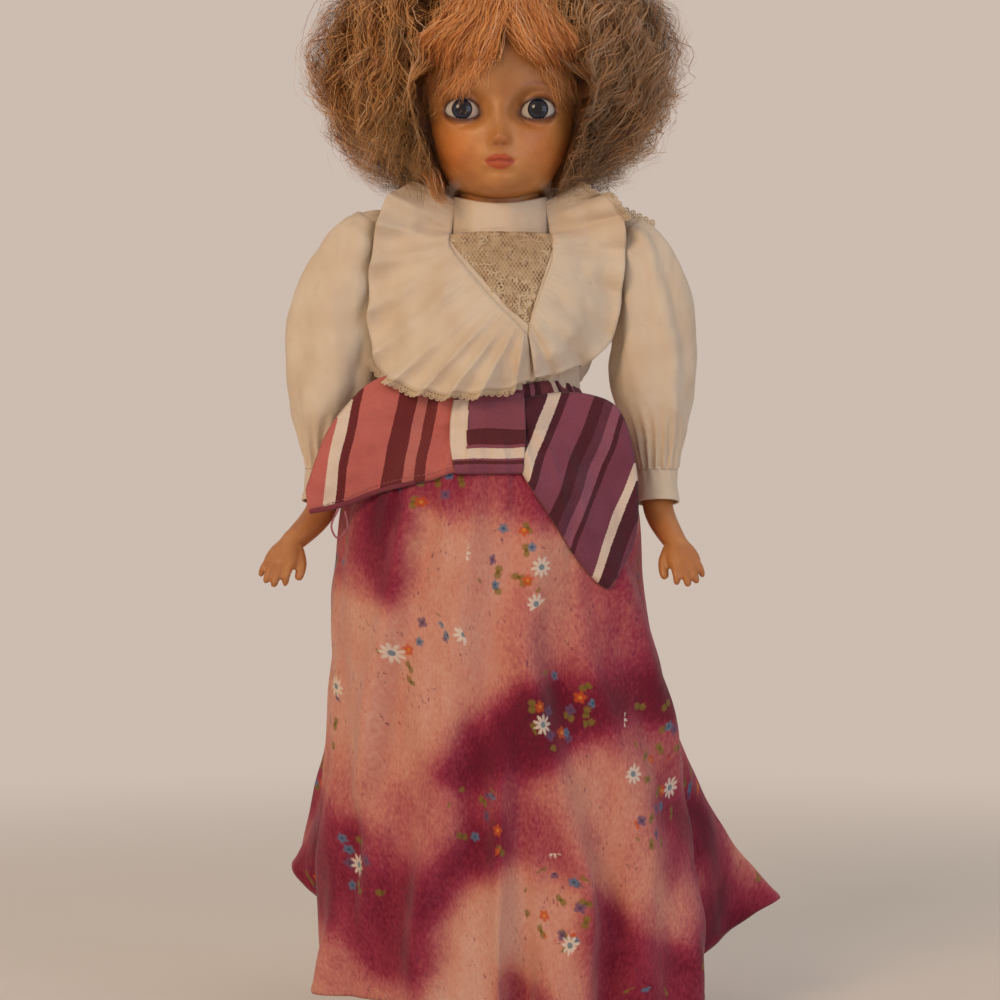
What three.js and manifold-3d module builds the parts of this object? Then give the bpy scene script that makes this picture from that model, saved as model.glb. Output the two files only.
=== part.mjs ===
// A dressed soft-body doll: a stuffed cloth torso, a hollow vinyl head with inset eyes and rooted hair,
// hollow vinyl arms and legs strung on elastic cords, and its clothes: a blouse with puffed sleeves,
// a lace yoke and ruffles, a flared long skirt on a waistband, and a striped sash tied in a bow.
// Millimetres, +Z up, the doll faces -Y, and its own left-hand side in the picture is -X.
// The origin is on the floor, under the middle of the whole doll's box.
import * as THREE from "three";
import { mergeVertices } from "three/addons/utils/BufferGeometryUtils.js";
import Module from "manifold-3d";

const wasm = await Module();
wasm.setup();

// Heights, as lengths stacked up from the floor.
const LEG_LENGTH = 208; // sole to hip axis
const HIP_TO_WAIST = 54;
const WAIST_TO_SHOULDER = 58; // to the shoulder axis
const SHOULDER_TO_NECK = 16.5; // to the groove that the cloth neck is tied in
const NECK_TO_CHIN = 8.5;
const HEAD_HEIGHT = 84; // chin to crown
const HAIR_ON_TOP = 20; // hair above the crown
const HAIR_LOBES = 0.05; // how far the bunches swell, as a share of the hair's half width
const PARTING_WIDE = 12;
const PARTING_DEEP = 6;

// The stuffed torso's half widths and half depths.
const SEAT_WIDE = 22; // between the legs
const HIPS_WIDE = 41;
const WAIST_WIDE = 35;
const WAIST_DEEP = 25;
const WAIST_SHIFT = 4; // the soft waist leans this far towards -X
const WAIST_BAND = 12; // height of the part of the waist that the bands sit on
const CHEST_WIDE = 41;
const CHEST_DEEP = 29;
const COVER_WALL = 0.8;

// Head, eyes and neck.
const FACE_WIDE = 35.4; // half the width at the temples
const FACE_DEEP = 35.4; // face, in front of the neck's axis
const SKULL_DEEP = 40; // back of the head, behind the axis
const VINYL_WALL = 2.4;
const EYE_RADIUS = 8.2;
const EYE_SPACING = 31; // centre to centre
const EYE_OPENING_WIDE = 6.6; // half the width of the almond opening
const EYE_OPENING_HIGH = 4.3;
const NECK_RADIUS = 13;
const NECK_GROOVE_RADIUS = 11.6;
const NECK_FLANGE_RADIUS = 13.8;

// Hair: half the width of the whole head of hair, and how far it reaches forwards and back.
const HAIR_WIDE = 76;
const HAIR_FRONT = 44;
const HAIR_BACK = 64;
const HAIR_ABOVE_CHIN = 6.5;

// Strung joints.
const CORD_RADIUS = 1.25;
const KNOT_RADIUS = 2.6;
const CUP_RADIUS = 8;
const CUP_THICK = 2.1;
const WASHER_RADIUS = 4;
const WASHER_THICK = 1.4;

// Limbs.
const ARM_TOP_RADIUS = 12;
const UPPER_ARM_RADIUS = 9.2;
const FOREARM_RADIUS = 6.3;
const WRIST_RADIUS = 4.8;
const UPPER_ARM_LENGTH = 82; // drop from the shoulder to just above the elbow
const ELBOW_LENGTH = 21; // drop along the elbow, which the cuff covers
const FOREARM_LENGTH = 14; // drop from there to the wrist
const HAND_LENGTH = 15.5; // drop from wrist to fingertips
const HAND_WIDE = 7.2;
const HAND_THICK = 4.2;
const THIGH_WIDE = 12.2;
const THIGH_DEEP = 16;
const KNEE_RADIUS = 9.8;
const ANKLE_RADIUS = 5.8;
const THIGH_CLEARANCE = 3; // under the torso's ledge, for the swing
const FOOT_WIDE = 8.6;
const FOOT_LENGTH = 60;
const HEEL_BACK = 24; // heel behind the ankle's middle

// Clothes.
const FIT = 0.3; // gap between pieces that touch
const CLOTH = 1.0;
const BLOUSE_EASE = 0.5; // between the torso's waist and the blouse tucked round it
const ARMHOLE_RADIUS = 15; // in the blouse's body
const SLEEVE_HOLE_RADIUS = 17;
const SLEEVE_GAP = 2.5; // between the arm's inner face and the sleeve's seam
const SLEEVE_RISE = 25; // the puffed head above the shoulder axis
const SLEEVE_FULL = 20; // half the width where the puff is fullest
const COLLAR_RADIUS = 21;
const COLLAR_HEIGHT = 13.2;
const CUFF_HEIGHT = 16;
const CUFF_THICK = 1.2;
const CUFF_EASE = 1.3; // looser than the arm by this much
const WAISTBAND_HEIGHT = 11;
const WAISTBAND_THICK = 1.2;
const BELT_HEIGHT = 13;
const BELT_THICK = 1.5;
const SKIRT_LENGTH = 236; // waistband to the lowest point of the hem
const FOLDS = 16; // the skirt's even folds, all round
const FOLD_HIGH = 2.2;
const LEFT_WING_LENGTH = 61; // from the knot to the tip, across
const RIGHT_WING_LENGTH = 75.5; // from the belt's top to the tip, down
const KNOT_WIDE = 27.8;
const KNOT_HEIGHT = 29;
const BOW_THICK = 3.2;
const BUTTON_RADIUS = 2.6;
const LACE_HEIGHT = 8;

const COLOURS = {
  vinyl: [0xc87f45, 0.45],
  eye: [0xd9d6cf, 0.15],
  hair: [0x8a5f36, 0.6],
  muslin: [0xcdb592, 0.95],
  filling: [0xe8e4da, 1.0],
  cord: [0xe6e2d6, 0.8],
  nylon: [0xd8d4c8, 0.5],
  blouse: [0xd9cdb9, 0.9],
  lace: [0xb8a283, 0.95],
  skirt: [0x9c4156, 0.9],
  stripes: [0x8f4350, 0.9],
  button: [0xefe9dc, 0.3],
};

const hipZ = LEG_LENGTH;
const waistZ = hipZ + HIP_TO_WAIST;
const shoulderZ = waistZ + WAIST_TO_SHOULDER;
const neckZ = shoulderZ + SHOULDER_TO_NECK;
const chinZ = neckZ + NECK_TO_CHIN;
const crownZ = chinZ + HEAD_HEIGHT;
const eyeZ = chinZ + 0.415 * HEAD_HEIGHT;

const doll = new THREE.Group();

// How far the soft body leans at a height.
function lean(z) {
  const rise = THREE.MathUtils.smoothstep(z, hipZ + THIGH_DEEP, waistZ - WAIST_BAND);
  const fall = THREE.MathUtils.smoothstep(z, waistZ + 14, shoulderZ - 22);
  return -WAIST_SHIFT * rise * (1 - fall);
}

// Adds a named piece to the doll.
function piece(name, shape, finish) {
  const geometry = shape.isBufferGeometry ? shape : geometryOf(shape);
  const [color, roughness] = COLOURS[finish];
  const material = new THREE.MeshStandardMaterial({ color, roughness, metalness: 0 });
  const mesh = new THREE.Mesh(geometry, material);
  mesh.name = name;
  doll.add(mesh);
  return mesh;
}

// A closed three.js geometry as a solid that can be joined and cut.
function solidOf(geometry) {
  const bare = geometry.clone();
  bare.deleteAttribute("normal");
  bare.deleteAttribute("uv");
  const merged = mergeVertices(bare, 1e-4);
  return new wasm.Manifold(
    new wasm.Mesh({
      numProp: 3,
      vertProperties: merged.attributes.position.array,
      triVerts: new Uint32Array(merged.index.array),
    }),
  );
}

// A solid back as a three.js geometry.
function geometryOf(solid) {
  const mesh = solid.getMesh();
  const geometry = new THREE.BufferGeometry();
  geometry.setAttribute("position", new THREE.BufferAttribute(mesh.vertProperties, 3));
  geometry.setIndex(new THREE.BufferAttribute(mesh.triVerts, 1));
  geometry.computeVertexNormals();
  return geometry;
}

// A closed skin over rings of points, each turning right-handed about the way the rings go.
function skin(rings) {
  const sides = rings[0].length;
  const points = rings.flat();
  const middleOf = (ring) =>
    ring.reduce((sum, p) => sum.add(p), new THREE.Vector3()).divideScalar(sides);
  points.push(middleOf(rings[0]), middleOf(rings.at(-1)));
  const first = points.length - 2;
  const last = points.length - 1;
  const faces = [];
  for (let j = 0; j < sides; j++) {
    const next = (j + 1) % sides;
    faces.push(first, next, j);
    const top = (rings.length - 1) * sides;
    faces.push(last, top + j, top + next);
    for (let i = 0; i + 1 < rings.length; i++) {
      const low = i * sides;
      const high = low + sides;
      faces.push(low + j, low + next, high + j, low + next, high + next, high + j);
    }
  }
  const geometry = new THREE.BufferGeometry().setFromPoints(points);
  geometry.setIndex(faces);
  return geometry;
}

// The half width and half depth of a profile, a list of [z, wide, deep] going up, at a height.
function sectionAt(profile, z) {
  const last = profile.length - 1;
  if (z <= profile[0][0]) return profile[0].slice(1);
  if (z >= profile[last][0]) return profile[last].slice(1);
  const i = profile.findIndex((row) => row[0] > z) - 1;
  const t = THREE.MathUtils.smoothstep(z, profile[i][0], profile[i + 1][0]);
  return [1, 2].map((k) => THREE.MathUtils.lerp(profile[i][k], profile[i + 1][k], t));
}

// A level oval ring.
function ovalRing(z, wide, deep, sides, x = 0, y = 0) {
  return Array.from({ length: sides }, (_, j) => {
    const angle = (2 * Math.PI * j) / sides;
    return new THREE.Vector3(x + wide * Math.cos(angle), y + deep * Math.sin(angle), z);
  });
}

// A stack of oval rings that follows a profile, grown by some distance, through the given levels.
function stack(profile, levels, grow, sides) {
  const rings = levels.map((z) => {
    const [wide, deep] = sectionAt(profile, z);
    return ovalRing(z, wide + grow, deep + grow, sides, lean(z));
  });
  return solidOf(skin(rings));
}

// A round or oval limb along keys of [x, y, z, wide, deep], smoothed through steps per key.
function limb(keys, sides, steps, grow = 0) {
  const centres = new THREE.CatmullRomCurve3(
    keys.map(([x, y, z]) => new THREE.Vector3(x, y, z)),
    false,
    "catmullrom",
    0.5,
  );
  const sizes = new THREE.CatmullRomCurve3(
    keys.map((key) => new THREE.Vector3(key[3], key[4], 0)),
    false,
    "catmullrom",
    0.3,
  );
  const count = (keys.length - 1) * steps;
  const rings = Array.from({ length: count + 1 }, (_, i) => {
    const t = i / count;
    const centre = centres.getPoint(t);
    const size = sizes.getPoint(t);
    const along = centres.getTangent(t).normalize();
    const across = new THREE.Vector3(1, 0, 0).addScaledVector(along, -along.x).normalize();
    const up = new THREE.Vector3().crossVectors(along, across);
    return Array.from({ length: sides }, (_, j) => {
      const angle = (2 * Math.PI * j) / sides;
      return centre
        .clone()
        .addScaledVector(across, (size.x + grow) * Math.cos(angle))
        .addScaledVector(up, (size.y + grow) * Math.sin(angle));
    });
  });
  return solidOf(skin(rings));
}

// A block between two corners.
function block(x0, y0, z0, x1, y1, z1) {
  const box = new THREE.BoxGeometry(x1 - x0, y1 - y0, z1 - z0);
  box.translate((x0 + x1) / 2, (y0 + y1) / 2, (z0 + z1) / 2);
  return solidOf(box);
}

// A turned piece whose axis lies along X at a height, from a profile of [radius, x].
function turnedAlongX(profile, z, sides = 12) {
  const lathe = new THREE.LatheGeometry(
    profile.map(([radius, x]) => new THREE.Vector2(radius, x)),
    sides,
  );
  lathe.rotateZ(-Math.PI / 2).translate(0, 0, z);
  const solid = solidOf(lathe);
  return solid.volume() < 0 ? solidOf(flipped(lathe)) : solid;
}

// The same surface with its faces turned round.
function flipped(geometry) {
  const turned = geometry.clone();
  const index = turned.index.array;
  for (let i = 0; i < index.length; i += 3) [index[i + 1], index[i + 2]] = [index[i + 2], index[i + 1]];
  return turned;
}

// A plain rod along X.
function rodAlongX(radius, x0, x1, z, sides = 12) {
  return turnedAlongX([[0, x0], [radius, x0], [radius, x1], [0, x1]], z, sides);
}

// A washer along X.
function washerAlongX(outer, inner, x0, x1, z) {
  return turnedAlongX([[inner, x0], [outer, x0], [outer, x1], [inner, x1], [inner, x0]], z);
}

// A slab whose back lies on a grid of points and whose front stands off it towards -Y.
function quilt(grid, thicknessAt) {
  const rows = grid.length;
  const columns = grid[0].length;
  const front = grid.map((row, i) =>
    row.map((p, j) => p.clone().add(new THREE.Vector3(0, -thicknessAt(i, j), 0))),
  );
  const points = [...grid.flat(), ...front.flat()];
  const offset = rows * columns;
  const faces = [];
  const at = (i, j) => i * columns + j;
  for (let i = 0; i + 1 < rows; i++)
    for (let j = 0; j + 1 < columns; j++) {
      const [a, b, c, d] = [at(i, j), at(i, j + 1), at(i + 1, j + 1), at(i + 1, j)];
      faces.push(a, b, c, a, c, d);
      faces.push(a + offset, c + offset, b + offset, a + offset, d + offset, c + offset);
    }
  const rim = [];
  for (let j = 0; j < columns; j++) rim.push(at(0, j));
  for (let i = 1; i < rows; i++) rim.push(at(i, columns - 1));
  for (let j = columns - 2; j >= 0; j--) rim.push(at(rows - 1, j));
  for (let i = rows - 2; i > 0; i--) rim.push(at(i, 0));
  rim.forEach((a, k) => {
    const b = rim[(k + 1) % rim.length];
    faces.push(b, a, a + offset, b, a + offset, b + offset);
  });
  const geometry = new THREE.BufferGeometry().setFromPoints(points);
  geometry.setIndex(faces);
  const solid = solidOf(geometry);
  return solid.volume() < 0 ? solidOf(flipped(geometry)) : solid;
}

// The first surface of the given meshes that a line along +Y meets, or a resting depth where it meets none.
const caster = new THREE.Raycaster();
function frontOf(meshes, x, z, otherwise) {
  caster.set(new THREE.Vector3(x, -400, z), new THREE.Vector3(0, 1, 0));
  const hit = caster.intersectObjects(meshes)[0];
  return hit ? Math.min(hit.point.y, otherwise) : otherwise;
}

// The highest surface of the given meshes under a point.
function topOf(meshes, x, y) {
  caster.set(new THREE.Vector3(x, y, 999), new THREE.Vector3(0, 0, -1));
  return caster.intersectObjects(meshes)[0].point.z;
}

const mirrorX = (keys, side) => keys.map(([x, ...rest]) => [side * x, ...rest]);

// The stuffed torso: narrow between the legs, a ledge over each thigh, a soft waist, and a tied neck.
const ledgeZ = hipZ + THIGH_DEEP + THIGH_CLEARANCE;
const torso = [
  [hipZ - 19, 8, 8],
  [hipZ - 15, SEAT_WIDE - 4, 15],
  [hipZ, SEAT_WIDE, 21],
  [ledgeZ - 1, SEAT_WIDE, 22],
  [ledgeZ + 4, HIPS_WIDE, 27],
  [waistZ - WAIST_BAND, WAIST_WIDE, WAIST_DEEP],
  [waistZ, WAIST_WIDE, WAIST_DEEP],
  [shoulderZ - 20, CHEST_WIDE, CHEST_DEEP],
  [shoulderZ, CHEST_WIDE, 20],
  [shoulderZ + 4.5, 35, 18],
  [shoulderZ + 7.5, 24, 16],
  [neckZ - 6.5, NECK_FLANGE_RADIUS + 2.2, NECK_FLANGE_RADIUS + 1.6],
  [neckZ - 3, NECK_FLANGE_RADIUS + 1.5, NECK_FLANGE_RADIUS + 1.5],
  [neckZ - 0.5, NECK_GROOVE_RADIUS + 1.4, NECK_GROOVE_RADIUS + 1.4],
  [neckZ + 0.8, NECK_GROOVE_RADIUS + 1.4, NECK_GROOVE_RADIUS + 1.4],
  [neckZ + 2.5, NECK_RADIUS + 1.6, NECK_RADIUS + 1.6],
  [neckZ + 5, NECK_RADIUS + 1.8, NECK_RADIUS + 1.8],
];
const fillTop = neckZ - 8;
const torsoLevels = torso.map((row) => row[0]);
torsoLevels.push(waistZ - 20, waistZ + 10, waistZ + 24, ledgeZ + 1.5, fillTop);
torsoLevels.sort((a, b) => a - b);
const TORSO_SIDES = 16;

// Where each strung joint's pieces lie along X, from the torso outwards.
const shoulderCupX = CHEST_WIDE + FIT;
const armFaceX = shoulderCupX + CUP_THICK + FIT;
const hipCupX = SEAT_WIDE + FIT;
const legFaceX = hipCupX + CUP_THICK + FIT;
const cordHole = CORD_RADIUS + FIT;

function makeTorso() {
  const bores = rodAlongX(cordHole, -HIPS_WIDE - 20, HIPS_WIDE + 20, shoulderZ, 8).add(
    rodAlongX(cordHole, -HIPS_WIDE - 20, HIPS_WIDE + 20, hipZ, 8),
  );
  const outer = stack(torso, torsoLevels, 0, TORSO_SIDES);
  const openTop = [...torsoLevels, neckZ + 8];
  const inner = stack(torso, openTop, -COVER_WALL, TORSO_SIDES);
  piece("torso_cover", outer.subtract(inner).subtract(bores), "muslin");
  const fillLevels = torsoLevels.filter((z) => z <= fillTop);
  const filling = stack(torso, fillLevels, -COVER_WALL - FIT, TORSO_SIDES);
  piece("torso_stuffing", filling.subtract(bores), "filling");
  const tie = new THREE.TorusGeometry(NECK_GROOVE_RADIUS + 2.4, 0.8, 6, 20);
  tie.translate(0, 0, neckZ);
  piece("neck_drawcord", solidOf(tie), "cord");
}

// One elastic cord joins a pair of limbs: it runs through the torso and ends in a knot inside each limb.
function makeStringing(name, z, cupX, faceX) {
  const washerX = faceX + VINYL_WALL + FIT;
  const knotX = washerX + WASHER_THICK + FIT + KNOT_RADIUS;
  const half = [
    [CORD_RADIUS, knotX - KNOT_RADIUS],
    [KNOT_RADIUS, knotX],
    [CORD_RADIUS, knotX + KNOT_RADIUS],
    [0, knotX + KNOT_RADIUS + 1],
  ];
  const profile = [...half.map(([r, x]) => [r, -x]).reverse(), ...half];
  piece(`${name}_elastic`, turnedAlongX(profile, z, 8), "cord");
  for (const [word, side] of [["left", -1], ["right", 1]]) {
    const spot = name === "arm" ? "shoulder" : "hip";
    const cup = [side * cupX, side * (cupX + CUP_THICK)].sort((a, b) => a - b);
    piece(`${word}_${spot}_cup`, washerAlongX(CUP_RADIUS, cordHole, ...cup, z), "nylon");
    const washer = [side * washerX, side * (washerX + WASHER_THICK)].sort((a, b) => a - b);
    piece(`${word}_${name}_washer`, washerAlongX(WASHER_RADIUS, cordHole, ...washer, z), "nylon");
  }
}

// The head's level sections: [share of the way from chin to crown, half width, face depth, back depth].
const headShape = [
  [0.0, 0.41, 0.42, 0.36],
  [0.012, 0.5, 0.7, 0.44],
  [0.04, 0.65, 0.87, 0.53],
  [0.11, 0.83, 0.965, 0.69],
  [0.2, 0.935, 0.99, 0.83],
  [0.32, 0.985, 1.0, 0.93],
  [0.48, 1.0, 0.965, 1.0],
  [0.66, 1.0, 0.975, 1.0],
  [0.8, 0.91, 0.885, 0.9],
  [0.905, 0.71, 0.68, 0.69],
  [0.975, 0.39, 0.35, 0.36],
  [1.0, 0.06, 0.06, 0.06],
];

// Soft bumps and hollows of the face: [x, share of the height, how far out, spread across, spread up].
const faceBumps = [
  [0, 0.262, 3.6, 3.0, 3.4],
  [0, 0.33, 1.5, 2.4, 6.0],
  [0, 0.155, 1.5, 5.0, 3.0],
  [0, 0.045, 1.6, 5.0, 4.0],
  [-17, 0.22, 1.4, 7.0, 7.0],
  [17, 0.22, 1.4, 7.0, 7.0],
  [-15.5, 0.415, -1.5, 6.5, 4.5],
  [15.5, 0.415, -1.5, 6.5, 4.5],
];

function headSection(share) {
  const i = Math.max(0, Math.min(headShape.length - 2, headShape.findIndex((row) => row[0] > share) - 1));
  const from = headShape[i];
  const to = headShape[i + 1];
  const t = THREE.MathUtils.clamp((share - from[0]) / (to[0] - from[0]), 0, 1);
  return [1, 2, 3].map((k) => THREE.MathUtils.lerp(from[k], to[k], t));
}

// One level ring of the head, grown or shrunk, with more points in front than behind.
function headRing(share, grow, frontSides, backSides, bumps) {
  const [wide, front, back] = headSection(share);
  const points = [];
  for (let j = 0; j < frontSides + backSides; j++) {
    const inFront = j >= backSides;
    const turn = inFront ? 1 + (j - backSides) / frontSides : j / backSides;
    const angle = Math.PI * turn;
    const depth = inFront ? front * FACE_DEEP : back * SKULL_DEEP;
    const x = (wide * FACE_WIDE + grow) * Math.cos(angle);
    let y = (depth + grow) * Math.sin(angle);
    if (inFront)
      for (const [bx, bShare, out, across, up] of bumps) {
        const dx = (x - bx) / across;
        const dz = ((share - bShare) * HEAD_HEIGHT) / up;
        y -= out * Math.exp(-0.5 * (dx * dx + dz * dz));
      }
    const z = chinZ + share * HEAD_HEIGHT + grow * (2 * share - 1);
    points.push(new THREE.Vector3(x, y, z));
  }
  return points;
}

const headSides = [16, 8];
const headShares = [
  0.012, 0.03, 0.065, 0.1, 0.14, 0.18, 0.22, 0.25, 0.28, 0.32, 0.37, 0.415, 0.46, 0.52, 0.6, 0.7, 0.8,
  0.87, 0.93, 0.975, 0.998,
];

function makeHead() {
  const skull = skin(headShares.map((share) => headRing(share, 0, ...headSides, faceBumps)));
  const neck = [
    [neckZ - 7, NECK_FLANGE_RADIUS - 0.4],
    [neckZ - 6.5, NECK_FLANGE_RADIUS],
    [neckZ - 3.5, NECK_FLANGE_RADIUS],
    [neckZ - 2.6, NECK_GROOVE_RADIUS],
    [neckZ + 1.8, NECK_GROOVE_RADIUS],
    [neckZ + 3, NECK_RADIUS],
    [chinZ + 6, NECK_RADIUS],
  ];
  const neckRings = neck.map(([z, radius]) => ovalRing(z, radius, radius, TORSO_SIDES));
  const insideShares = [0.09, 0.2, 0.35, 0.5, 0.7, 0.85, 0.94];
  const inside = skin(insideShares.map((share) => headRing(share, -VINYL_WALL, 10, 8, [])));
  const throat = skin(
    [neckZ - 10, chinZ + 18].map((z) => ovalRing(z, NECK_RADIUS - 4, NECK_RADIUS - 4, 12)),
  );
  let head = solidOf(skull).add(solidOf(skin(neckRings)));
  head = head.subtract(solidOf(inside).add(solidOf(throat)));
  for (const [word, side] of [["left", -1], ["right", 1]]) {
    const at = [(side * EYE_SPACING) / 2, -FACE_DEEP * 0.885 + EYE_RADIUS, eyeZ];
    const ball = new THREE.SphereGeometry(EYE_RADIUS, 12, 9).rotateX(Math.PI / 2).translate(...at);
    const socket = new THREE.SphereGeometry(EYE_RADIUS + FIT + 0.1, 12, 9)
      .rotateX(Math.PI / 2)
      .translate(...at);
    const almond = new THREE.CylinderGeometry(1, 1, 30, 12)
      .scale(EYE_OPENING_WIDE, 1, EYE_OPENING_HIGH)
      .translate(at[0], at[1] - 15, at[2]);
    head = head.subtract(solidOf(socket)).subtract(solidOf(almond));
    piece(`${word}_eye`, solidOf(ball), "eye");
  }
  piece("head", head, "vinyl");
}

// The whole head of hair as one rounded mass, then parted into the rooted bunches.
function makeHair() {
  const bottom = chinZ + HAIR_ABOVE_CHIN;
  const height = crownZ + HAIR_ON_TOP - bottom;
  const outline = [
    [0, 0.62], [0.07, 0.82], [0.16, 0.93], [0.3, 1.0], [0.45, 0.985], [0.6, 0.95], [0.74, 0.86],
    [0.86, 0.68], [0.95, 0.43], [1, 0.15],
  ];
  const rings = outline.map(([share, size]) => {
    const sides = 24;
    return Array.from({ length: sides }, (_, j) => {
      const angle = (2 * Math.PI * j) / sides;
      const lobes = 1 + HAIR_LOBES * Math.cos(6 * angle + 9 * share);
      const deep = Math.sin(angle) < 0 ? HAIR_FRONT : HAIR_BACK;
      const x = size * lobes * HAIR_WIDE * Math.cos(angle);
      const y = size * lobes * deep * Math.sin(angle);
      // The parting is a shallow valley over the crown, open towards the forehead.
      const near = Math.exp(-(((x - 2) / PARTING_WIDE) ** 2));
      const above = THREE.MathUtils.smoothstep(share, 0.7, 0.97) * (1 - THREE.MathUtils.smoothstep(y, 4, 30));
      return new THREE.Vector3(x, y, bottom + share * height - PARTING_DEEP * near * above);
    });
  });
  const scalp = solidOf(skin(headShares.map((share) => headRing(share, 0.9, ...headSides, faceBumps))));
  const mass = solidOf(skin(rings)).subtract(scalp);
  const fringeZ = chinZ + 0.56 * HEAD_HEIGHT;
  const crownCutZ = chinZ + 0.8 * HEAD_HEIGHT;
  const cheekX = FACE_WIDE - 4;
  const backY = 12;
  const far = 200;
  const cut = (...corners) => mass.intersect(block(...corners));
  piece("hair_crown", cut(-far, -far, crownCutZ + FIT, far, far, far * 3), "hair");
  piece("hair_fringe", cut(-cheekX, -far, fringeZ, cheekX, -6, crownCutZ), "hair");
  piece("hair_left", cut(-far, -far, 0, -cheekX - FIT, backY, crownCutZ), "hair");
  piece("hair_right", cut(cheekX + FIT, -far, 0, far, backY, crownCutZ), "hair");
  piece("hair_back", cut(-far, backY + FIT, 0, far, far, crownCutZ), "hair");
}

// Each stretch of an arm, from the shoulder axis down: how far it slants outwards, as a share of its drop.
// The picture's left arm slants further out.
const armSides = {
  left: { side: -1, slant: [0.211, 0.095, 0.786, 0.516] },
  right: { side: 1, slant: [0.126, 0.024, 0.43, 0.387] },
};
const forward = [-0.037, 0.19, 1, 1]; // the same towards the front
const armX = armFaceX + ARM_TOP_RADIUS;

// The middles of the elbow's top and foot, of the wrist and of the fingertips, on the +X side.
function armPoints({ slant }) {
  let point = [armX, 1, shoulderZ];
  return [UPPER_ARM_LENGTH, ELBOW_LENGTH, FOREARM_LENGTH, HAND_LENGTH].map((drop, i) => {
    point = [point[0] + slant[i] * drop, point[1] - forward[i] * drop, point[2] - drop];
    return point;
  });
}

// The arm's centre line and half sizes from the top of the shoulder to the wrist.
function armKeys(arm) {
  const [elbow, low, wrist] = armPoints(arm);
  const upper = elbow[0] - armX;
  return [
    [armX - 0.5, 1, shoulderZ + 1.04 * ARM_TOP_RADIUS, 0.2 * ARM_TOP_RADIUS, 0.2 * ARM_TOP_RADIUS],
    [armX - 0.3, 1, shoulderZ + 0.83 * ARM_TOP_RADIUS, 0.62 * ARM_TOP_RADIUS, 0.62 * ARM_TOP_RADIUS],
    [armX, 1, shoulderZ, ARM_TOP_RADIUS, 0.96 * ARM_TOP_RADIUS],
    [armX + 0.3 * upper, 2, shoulderZ - 0.27 * UPPER_ARM_LENGTH, UPPER_ARM_RADIUS, UPPER_ARM_RADIUS],
    [
      armX + 0.7 * upper, 3, shoulderZ - 0.68 * UPPER_ARM_LENGTH,
      0.85 * UPPER_ARM_RADIUS, 0.87 * UPPER_ARM_RADIUS,
    ],
    [...elbow, FOREARM_RADIUS, FOREARM_RADIUS],
    [...low, FOREARM_RADIUS, FOREARM_RADIUS],
    [...wrist, WRIST_RADIUS, WRIST_RADIUS],
  ];
}

// The cord's hole through a limb's flat face, and the round seat of the washer behind it.
function jointHole(side, faceX, endX, z) {
  const span = (from, to) => [side * from, side * to].sort((a, b) => a - b);
  const seat = rodAlongX(WASHER_RADIUS + FIT, ...span(faceX + VINYL_WALL, endX), z);
  return rodAlongX(cordHole, ...span(0, endX), z, 8).add(seat);
}

function makeArm(word) {
  const { side } = armSides[word];
  const keys = armKeys(armSides[word]);
  const [, , wrist, fingers] = armPoints(armSides[word]);
  const between = (t, wide, thick) => [
    ...wrist.map((value, k) => THREE.MathUtils.lerp(value, fingers[k], t)),
    wide * HAND_WIDE,
    thick * HAND_THICK,
  ];
  const palm = [
    between(0.4, 0.94, 1),
    between(0.7, 1, 0.86),
    between(1, 0.78, 0.64),
    between(1.1, 0.3, 0.26),
  ];
  let arm = limb(mirrorX([...keys, ...palm], side), 12, 1);
  const thumb = [
    [0.13, 0.23, 0.13, 0.142],
    [0.3, 0.52, 0.45, 0.135],
    [0.27, 0.77, 0.77, 0.11],
    [0.25, 0.84, 0.85, 0.045],
  ].map(([inwards, ahead, down, radius]) => [
    wrist[0] - inwards * HAND_LENGTH,
    wrist[1] - ahead * HAND_LENGTH,
    wrist[2] - down * HAND_LENGTH,
    radius * HAND_LENGTH,
    radius * HAND_LENGTH,
  ]);
  arm = arm.add(limb(mirrorX(thumb, side), 8, 1));
  for (const finger of [-1, 0, 1]) {
    const groove = new THREE.BoxGeometry(0.1 * HAND_WIDE, 0.8 * HAND_LENGTH, 0.58 * HAND_LENGTH)
      .rotateY(side * -0.45)
      .translate(side * (fingers[0] + 0.6 + 0.37 * HAND_WIDE * finger), fingers[1] - 0.5, fingers[2] - 0.5);
    arm = arm.subtract(solidOf(groove));
  }
  const cavity = limb(mirrorX(keys.slice(1, 6), side), 8, 1, -VINYL_WALL).intersect(
    side > 0
      ? block(armFaceX + VINYL_WALL, -99, 0, 200, 99, 999)
      : block(-200, -99, 0, -armFaceX - VINYL_WALL, 99, 999),
  );
  const inner = side > 0 ? block(0, -99, 0, armFaceX, 99, 999) : block(-armFaceX, -99, 0, 0, 99, 999);
  const hole = jointHole(side, armFaceX, armX, shoulderZ);
  piece(`${word}_arm`, arm.subtract(inner).subtract(cavity.add(hole)), "vinyl");
}

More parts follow.
